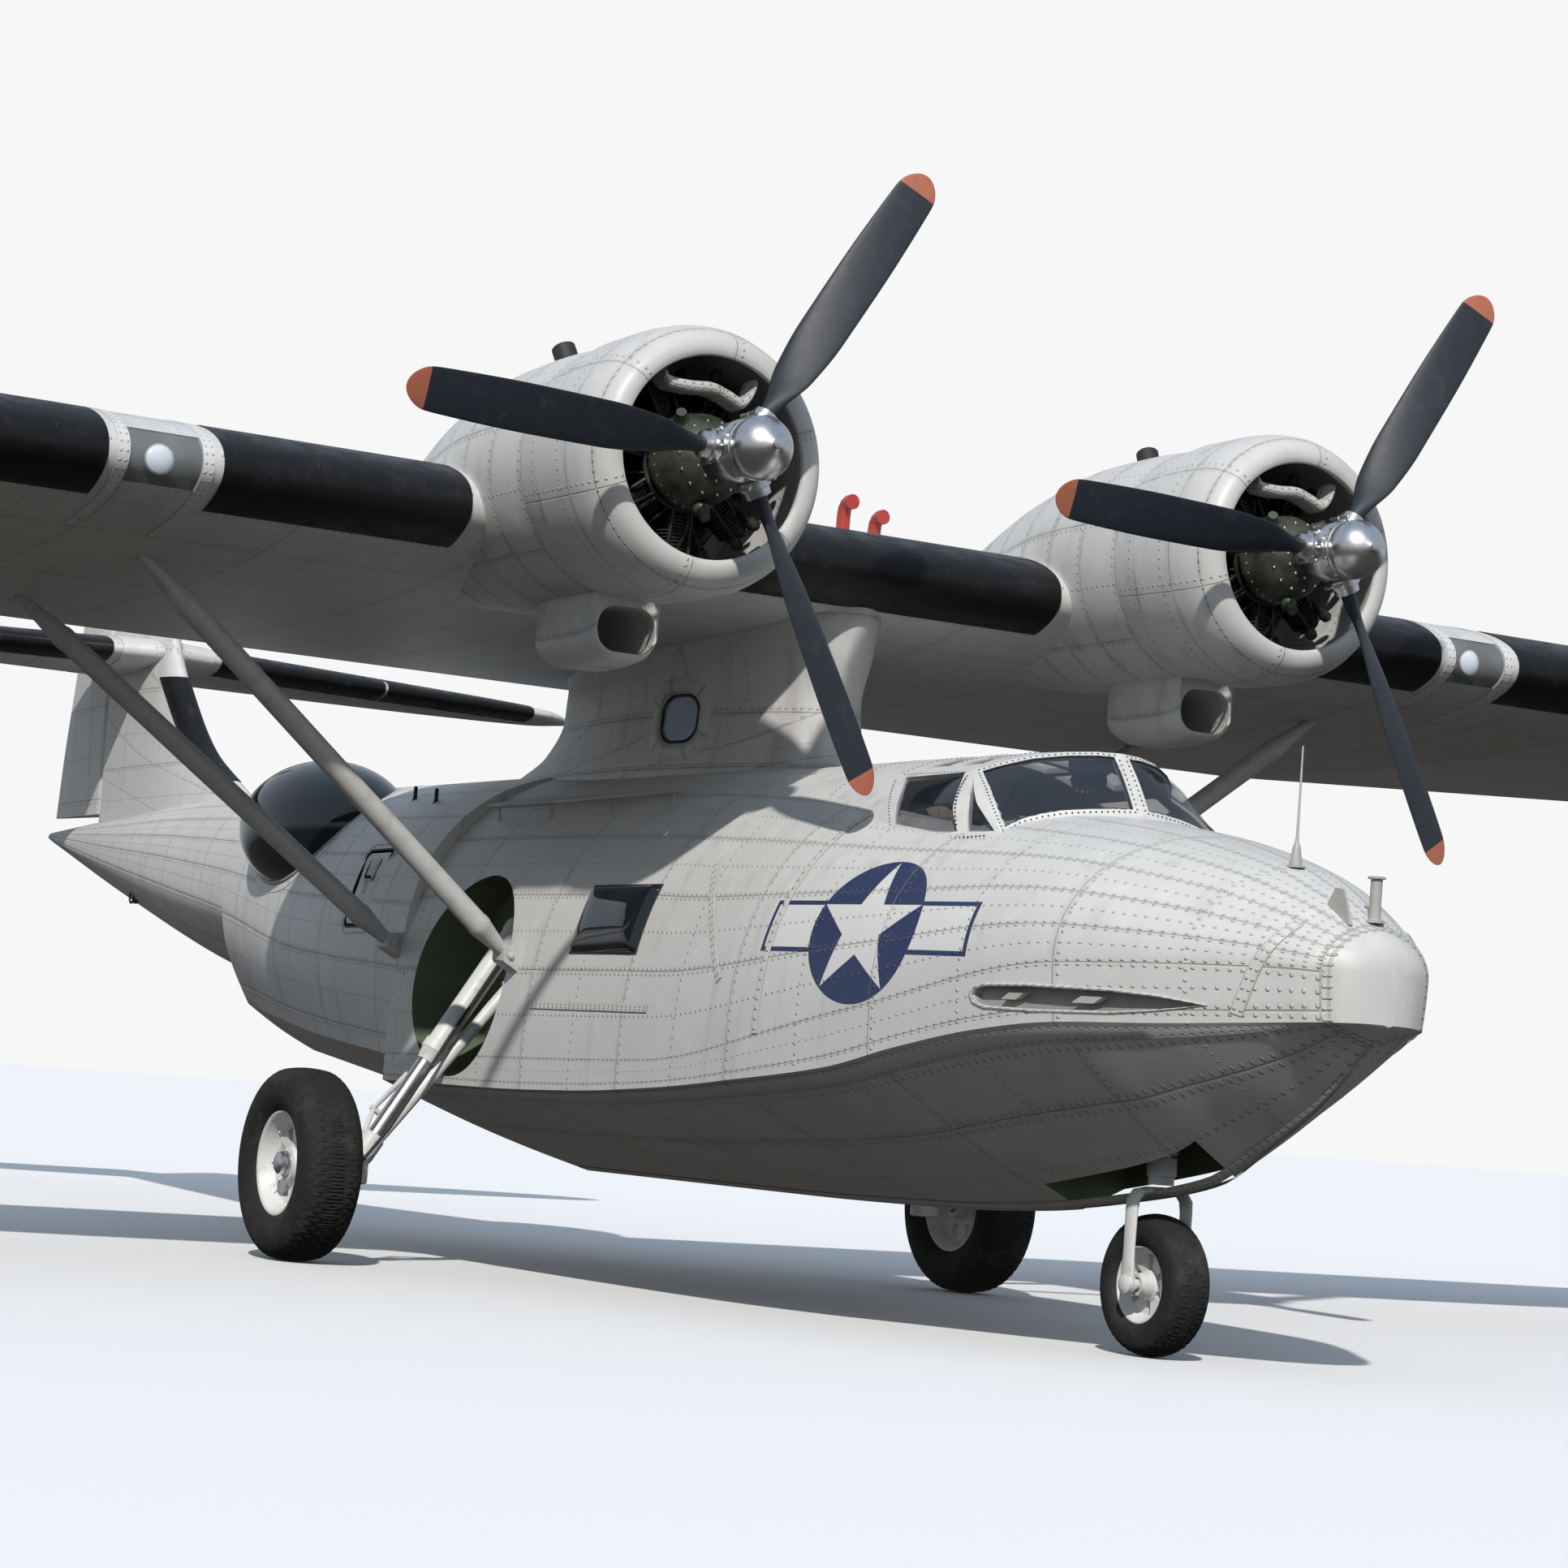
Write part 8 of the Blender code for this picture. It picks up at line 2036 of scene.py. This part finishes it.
a = np.linspace(0, pi / 2, 13)
cabin = []
for s in CABIN_S:
    wide, deck = fair(WIDEST, s) - 0.13, fair(DECK, s) - 0.14
    spring = max(fair(WIDEST_H, s), CABIN_FLOOR + 0.12)
    half = np.stack([np.append(wide * 0.9, wide * np.maximum(np.cos(a), 0) ** 0.9),
                     np.append(CABIN_FLOOR, spring + (deck - spring) * np.sin(a) ** 0.9)], axis=1)
    ring = np.concatenate([half, half[-2::-1] * (-1, 1)])
    cabin.append(at(ring[:, 0], s, ring[:, 1]))
carve(hull, rings_of(cabin, inside_green.material))
hatch_s, hatch_h = door_outline(HATCH["gap"], corner=HATCH["opening"])
for side, sign in SIDES.items():
    carve(hull, rings_of(at(sign * np.array([[1.0], [1.8]]), hatch_s, hatch_h), seal_black.material))
    face = []
    for depth, shrink in ((0.0, 0.04), (0.0, 0.5), (0.0, 0.93), (0.0, 0.985), (0.004, 1.0),
                          (HATCH["thick"], 1.0), (HATCH["thick"], 0.93), (HATCH["thick"], 0.04)):
        s, h = door_outline(0.0)
        s, h = HATCH["s"] + (s - HATCH["s"]) * shrink, HATCH["h"] + (h - HATCH["h"]) * shrink
        face.append(on_hull(s, h, -depth, sign))
    door = closed("hatch_door_" + side, face, nacelle_grey)
    frames = []
    for low, high, rise, finish in ((0.017, 0.027, 0.004, seal_black.material),
                                    (0.055, 0.067, 0.004, nacelle_grey)):
        rows = [on_hull(*door_outline(grow, corner=HATCH["opening"]), up, sign)
                for grow, up in ((low, -0.004), (low, rise), ((low + high) / 2, rise * 1.5),
                                 (high, rise), (high, -0.004))]
        frames.append(hoop("hatch_frame_%d_%s" % (len(frames), side), rows, finish))
    lifts = [(1.0, -0.002), (1.0, 0.004), (0.95, 0.005), (0.5, 0.005), (0.04, 0.005)]
    small = door_outline(0.0, **HATCH_LIGHT)
    rows = [on_hull(HATCH["s"] + (small[0] - HATCH["s"]) * k,
                    HATCH["h"] + HATCH_LIGHT_UP + (small[1] - HATCH["h"]) * k, up, sign)
            for k, up in lifts]
    light = turned_outward(skin("hatch_window_" + side, rows, blister_glass.material, around=True,
                                ends=(False, True)))
    fitted("hatch_body_" + side, (door, "hull_grey", "hatch_" + side), (light, "dark_glass"))
    fitted("airframe", (frames[0], "dark_glass"), (frames[1], "hull_grey"))

# Bow pockets
# A long pocket pressed into each side of the bow, pointed in front, with a raised rim and two
# light brackets inside. It is cut square to the skin between its outline and a floor behind it,
# and its cut faces take a darker grey that is painted shade for the recess.
POCKET = [(0.853, 1.190), (0.95, 1.205), (1.08, 1.222), (1.30, 1.236), (1.70, 1.240), (1.98, 1.232),
          (2.05, 1.215), (2.074, 1.180), (2.05, 1.145), (1.98, 1.125), (1.70, 1.120), (1.30, 1.130),
          (1.08, 1.152), (0.95, 1.172)]
POCKET_DEEP = 0.055
# Darker grey for the pocket's walls and floor: painted shade of the recess.
pocket_shade_grey = mottled("pocket grey painted shade", (0.33, 0.33, 0.325), (0.36, 0.355, 0.345),
                      (0.20, 0.195, 0.185), (14.0, 5.0, 0.5), (0.45, 0.15))
for side, sign in SIDES.items():
    outline = np.array(POCKET)
    outline = np.concatenate([outline + (np.roll(outline, -1, axis=0) - outline) * k
                              for k in (0.0, 0.5)], axis=1).reshape(-1, 2)
    middle = outline.mean(axis=0)
    s, h = outline[:, 0], outline[:, 1]
    carve(hull, rings_of([on_hull(s, h, -POCKET_DEEP, sign), on_hull(s, h, 0.12, sign)],
                         pocket_shade_grey.material))
    rows = [on_hull(middle[0] + (s - middle[0]) * (1 + wide * 0.35),
                    middle[1] + (h - middle[1]) * (1 + wide * 2.6), up, sign)
            for wide, up in ((-0.02, -0.01), (-0.02, 0.006), (0.03, 0.010), (0.08, 0.007),
                             (0.10, -0.004))]
    rim = hoop("pocket_rim_" + side, rows, nacelle_grey)
    brackets = []
    for front, back in ((1.34, 1.45), (1.76, 1.85)):
        corner_s = np.array([front, back, back + 0.05, front + 0.05])
        corner_h = np.array([1.20, 1.20, 1.165, 1.165])
        brackets.append(np.array([on_hull(corner_s, corner_h, -POCKET_DEEP - 0.002, sign),
                                  on_hull(corner_s, corner_h, -0.018, sign)]))
    bracket = gathered("pocket_brackets_" + side, brackets, nacelle_grey)
    fitted("airframe", (rim, "hull_grey"), (bracket, "hull_grey"))

# Deck and hull fittings
# Handrails on small posts, stubs, mooring rings, the whip aerial, the capped mast and two red
# vents over the centre wing: turned rods and bars carried along their paths.
RAIL = [(5.86, 2.33), (6.6, 2.315), (7.4, 2.30), (8.3, 2.30)]
RAIL_POSTS = (5.93, 6.68, 7.42, 8.15)
STUBS = ((9.46, 2.43), (9.98, 2.47))
VENTS = ((0.35, 6.36, 4.41), (0.85, 6.79, 4.42))
VENT_R = 0.044
RAIL_OFF = 0.075
MOORING = (16.59, 1.87)
MOORING_R = 0.045
BOW_BLADE = [(0.36, -0.03), (0.43, 0.15), (0.50, 0.16), (0.62, -0.02)]
BOW_BLADE_X = -0.155
BOW_BLADE_H = 1.665
WHIP = (-0.06, 0.96)
MAST = (0.0, 0.375)
red_paint = mottled("vent red paint", (0.42, 0.035, 0.025), (0.46, 0.040, 0.028), (0.30, 0.030, 0.024),
                    (12.0, 5.0, 0.5), (0.32, 0.16), coat_weight=0.3)
rails = []
for side, sign in SIDES.items():
    s = np.linspace(RAIL[0][0], RAIL[-1][0], 25)
    h = fair(RAIL, s)
    lean = on_hull(s, h, RAIL_OFF, sign)
    rails.append(tube(lean, [0.006] + [0.019] * 23 + [0.006], 14))
    for place in RAIL_POSTS:
        height = fair(RAIL, place)
        foot = on_hull([place], [height - 0.035], -0.004, sign)[0]
        top = on_hull([place], [height], RAIL_OFF, sign)[0]
        rails.append(spindle(foot, top - foot, [0, 0.006, 0.008, 0.09], [0.022, 0.022, 0.008, 0.008],
                             10))
rail = gathered("hand_rails", rails, nacelle_grey)
stubs = []
for sign in SIDES.values():
    for s, h in STUBS:
        foot = on_hull([s], [h], -0.01, sign)[0]
        stubs.append(spindle(foot, (0, 0, 1), [0, 0.03, 0.10, 0.105], [0.022, 0.014, 0.014, 0.008], 12))
    foot = on_hull(MOORING[:1], MOORING[1:], -0.02, sign)[0]
    a = np.linspace(0, 2 * pi, 25)[:, None]
    stubs.append(spindle(foot, (sign, 0, 0), [0, 0.024, 0.03], [0.05, 0.05, 0.03], 16))
    stubs.append(tube(foot + np.array([sign * 0.05, 0, 0]) + MOORING_R
                      * (np.cos(a) * (0, 1, 0) + np.sin(a) * (0, 0, 1)), 0.010, 8))
stub = gathered("deck_stubs", stubs, engine_black.material)
whip_foot, mast_foot = (at(x, s, fair(DECK, s) - 0.006) for x, s in (WHIP, MAST))
whip = gathered("whip_aerial_rod", [spindle(whip_foot, (0, 0, 1),
                                            [0, 0.010, 0.012, 0.10, 0.11, 0.125, 0.16, 0.62, 0.630],
                                            [0.050, 0.050, 0.034, 0.022, 0.020, 0.013, 0.008, 0.0045,
                                             0.002], 18)], nacelle_grey)
mast = gathered("mast_cap", [spindle(mast_foot, (0, 0, 1), [0, 0.012, 0.014, 0.22, 0.222, 0.232, 0.234],
                                     [0.052, 0.052, 0.030, 0.030, 0.045, 0.045, 0.036], 28)],
                nacelle_grey)
outline = np.array(BOW_BLADE)
sides = [at(BOW_BLADE_X + across * np.array([1.0, 0.4, 0.4, 1.0]), outline[:, 0],
            BOW_BLADE_H + outline[:, 1]) for across in (-0.010, 0.010)]
blade = gathered("bow_blade", [np.array(sides)], nacelle_grey)
pipes = []
for x, s, top in VENTS:
    bend = [(s + 0.02, top - 0.42), (s + 0.02, top - 0.10), (s + 0.012, top - 0.05),
            (s - 0.01, top - 0.022), (s - 0.04, top - 0.012), (s - 0.085, top - 0.012)]
    path = np.array([at(x, *place) for place in bend])
    pipes.append(tube(path, [VENT_R, VENT_R, VENT_R, VENT_R, VENT_R + 0.003, VENT_R + 0.005], 28))
    lead, height, chord, thickness = wing_lines(x)
    q = np.arccos(1 - 2 * (s - lead) / chord) / pi
    foot = wing_skin([x], [-q], 0.0)[0, 0]
    pipes.append(spindle(foot, (0, 0.06, 1), [-0.01, 0.010, 0.014, 0.03], [0.105, 0.105, 0.085, 0.052],
                         28))
vents = gathered("vent_pipe_bends", pipes, red_paint.material)
fitted("airframe", (rail, "strut_grey"), (stub, "engine_black"), (whip, "hull_grey", "whip_aerial"),
       (mast, "hull_grey", "mast_stub"), (blade, "hull_grey"), (vents, "vent_red", "vent_pipes"))

# Raised strips: along the chines, over the bow's seam, round the nose and on long side panels.
STRIP_RISE = 0.007


strip_grey = plated("strip grey paint", rows=[("girth", 0, 0.020), ("far", 0, 0.020)],
                    laps=[("girth", 0), ("far", 0)])
STRIPS = [([(0.71, 1.154), (0.64, 1.36), (0.531, 1.628)], 0.06),
          ([(4.794, 1.907), (4.45, 1.50), (4.218, 1.209)], 0.055),
          ([(4.99, 1.035), (5.7, 1.035), (6.48, 1.035)], 0.055),
          ([(3.78, 0.92), (3.775, 1.6), (3.77, 2.2)], 0.05)]
for side, sign in SIDES.items():
    for number, (path, wide) in enumerate(STRIPS):
        path = np.array(path)
        t = np.linspace(0, 1, 33)
        share = np.linspace(0, 1, len(path))
        s, h = (np.interp(t, share, path[:, k]) for k in range(2))
        way = np.gradient(np.stack([s, h], axis=1), axis=0)
        way /= np.linalg.norm(way, axis=1)[:, None]
        across = np.array([-0.5, -0.5, -0.44, 0.44, 0.5, 0.5]) * wide
        rise = np.array([-0.004, STRIP_RISE * 0.6, STRIP_RISE, STRIP_RISE, STRIP_RISE * 0.6, -0.004])
        places = on_hull(s[:, None] - way[:, 1:] * across, h[:, None] + way[:, :1] * across, rise, sign)
        strip = skin("raised_strip_%d_%s" % (number, side), places[:, 1:-1], strip_grey, flip=sign > 0)
        fitted("airframe", (strip, "hull_grey"))
    stations_in = np.linspace(0.50, 8.45, 90)
    keel, chine, beam = (fair(line, stations_in)[:, None] for line in HULL_LINES["fore"])
    for number, (low, high) in enumerate(((0.02, 0.075), (0.90, 0.985))):
        t = np.array([low, low, low + 0.006, high - 0.006, high, high])[None, :]
        drop = np.array([-0.004, 0.5, 1, 1, 0.5, -0.004])[None, :] * STRIP_RISE
        x = sign * beam * t
        h = keel + (chine - keel) * (t - HOLLOW * np.sin(pi * t)) - drop
        runner = skin("bottom_strip_%d_%s" % (number, side), at(x, stations_in[:, None], h)[:, 1:-1],
                      strip_grey, flip=sign < 0)
        fitted("airframe", (runner, "hull_grey"))

# Floats
# Stabilising floats folded up to form the wing tips: a lapped and riveted body lofted along
# faired lines, carried on two round struts that end in knuckles under the outer wing.
FLOAT_LINES = {"depth": [(-1.0, 0.16), (-0.9, 0.42), (-0.7, 0.60), (-0.35, 0.72), (0.1, 0.74),
                         (0.5, 0.62), (0.85, 0.42), (1.0, 0.26)],
               "half": [(-1.0, 0.06), (-0.9, 0.17), (-0.7, 0.26), (-0.35, 0.33), (0.1, 0.34),
                        (0.5, 0.30), (0.85, 0.20), (1.0, 0.10)]}
FLOAT_SECTION = [(0, -0.55), (0.04, -0.86), (0.10, -0.95), (0.22, -1.0), (0.45, -1.0), (0.75, -0.5),
                 (0.97, -0.06), (0.99, 0.0), (0.97, 0.06), (0.75, 0.5), (0.45, 1.0), (0.22, 1.0),
                 (0.10, 0.95), (0.04, 0.86), (0, 0.55)]
KNUCKLE_R = 0.060
FLOAT_PIN_R = 0.020


float_grey = plated("float grey paint", rows=[("run", 0.34, 0.10), ("share", 1 / 7, 0.5 / 7)],
                    laps=[("run", 0.68, 0.13), ("share", 0.5, 0.25)], dirt=1.5)
tip_lead, tip_height, tip_chord, _ = wing_lines(TIP_X)
for side, sign in SIDES.items():
    t = np.concatenate([np.linspace(-1, -0.7, 10), np.linspace(-0.66, 0.8, 30),
                        np.linspace(0.83, 1, 8)])
    s = tip_lead + 0.48 * tip_chord + t * FLOAT["length"] / 2
    middle_h = tip_height - (s - tip_lead) * np.sin(INCIDENCE) * 0.8 - 0.10
    depth, half = fair(FLOAT_LINES["depth"], t), fair(FLOAT_LINES["half"], t)
    section = np.array(FLOAT_SECTION)
    rows = at(sign * (TIP_X + FLOAT["deck"] + section[:, 0] * depth[:, None]), s[:, None],
              middle_h[:, None] + section[:, 1] * half[:, None])
    float_body = closed("float_skin_" + side, rows, float_grey)
    arms, pins = [], []
    for station in strut_s:
        inner = at(sign * FLOAT["hinge_x"], station, hinge_h)
        outer = at(sign * (TIP_X + 0.08), station, hinge_h)
        long = np.linalg.norm(outer - inner)
        arms.append(spindle(inner, outer - inner,
                            [0.03, 0.10, 0.13, 0.14, 0.17, 0.18, long - 0.12, long - 0.11, long],
                            [0.040, 0.055, 0.055, 0.062, 0.062, 0.055, 0.055, 0.075, 0.075], 28))
        arms.append(revolved(inner, "y", [-KNUCKLE_R, -KNUCKLE_R + 0.004, -0.015, -0.015,
                                          KNUCKLE_R - 0.004, KNUCKLE_R],
                             [0.056, 0.060, 0.060, 0.060, 0.060, 0.056], 32))
        pins.append(revolved(inner, "y", [-BAY_HALF, BAY_HALF], [FLOAT_PIN_R, FLOAT_PIN_R], 20))
        pins.append(revolved(inner, "y", [-BAY_HALF, -BAY_HALF + 0.010], [0.036, 0.036], 6))
        pins.append(revolved(inner, "y", [BAY_HALF - 0.010, BAY_HALF], [0.036, 0.036], 6))
    arm = gathered("float_arms_" + side, arms, strut_grey.material)
    pin = gathered("float_pins_" + side, pins, bright_metal.material)
    fitted("float_body_" + side, (float_body, "hull_grey", "float_" + side), (arm, "strut_grey"))
    fitted("airframe", (pin, "bright_metal"))
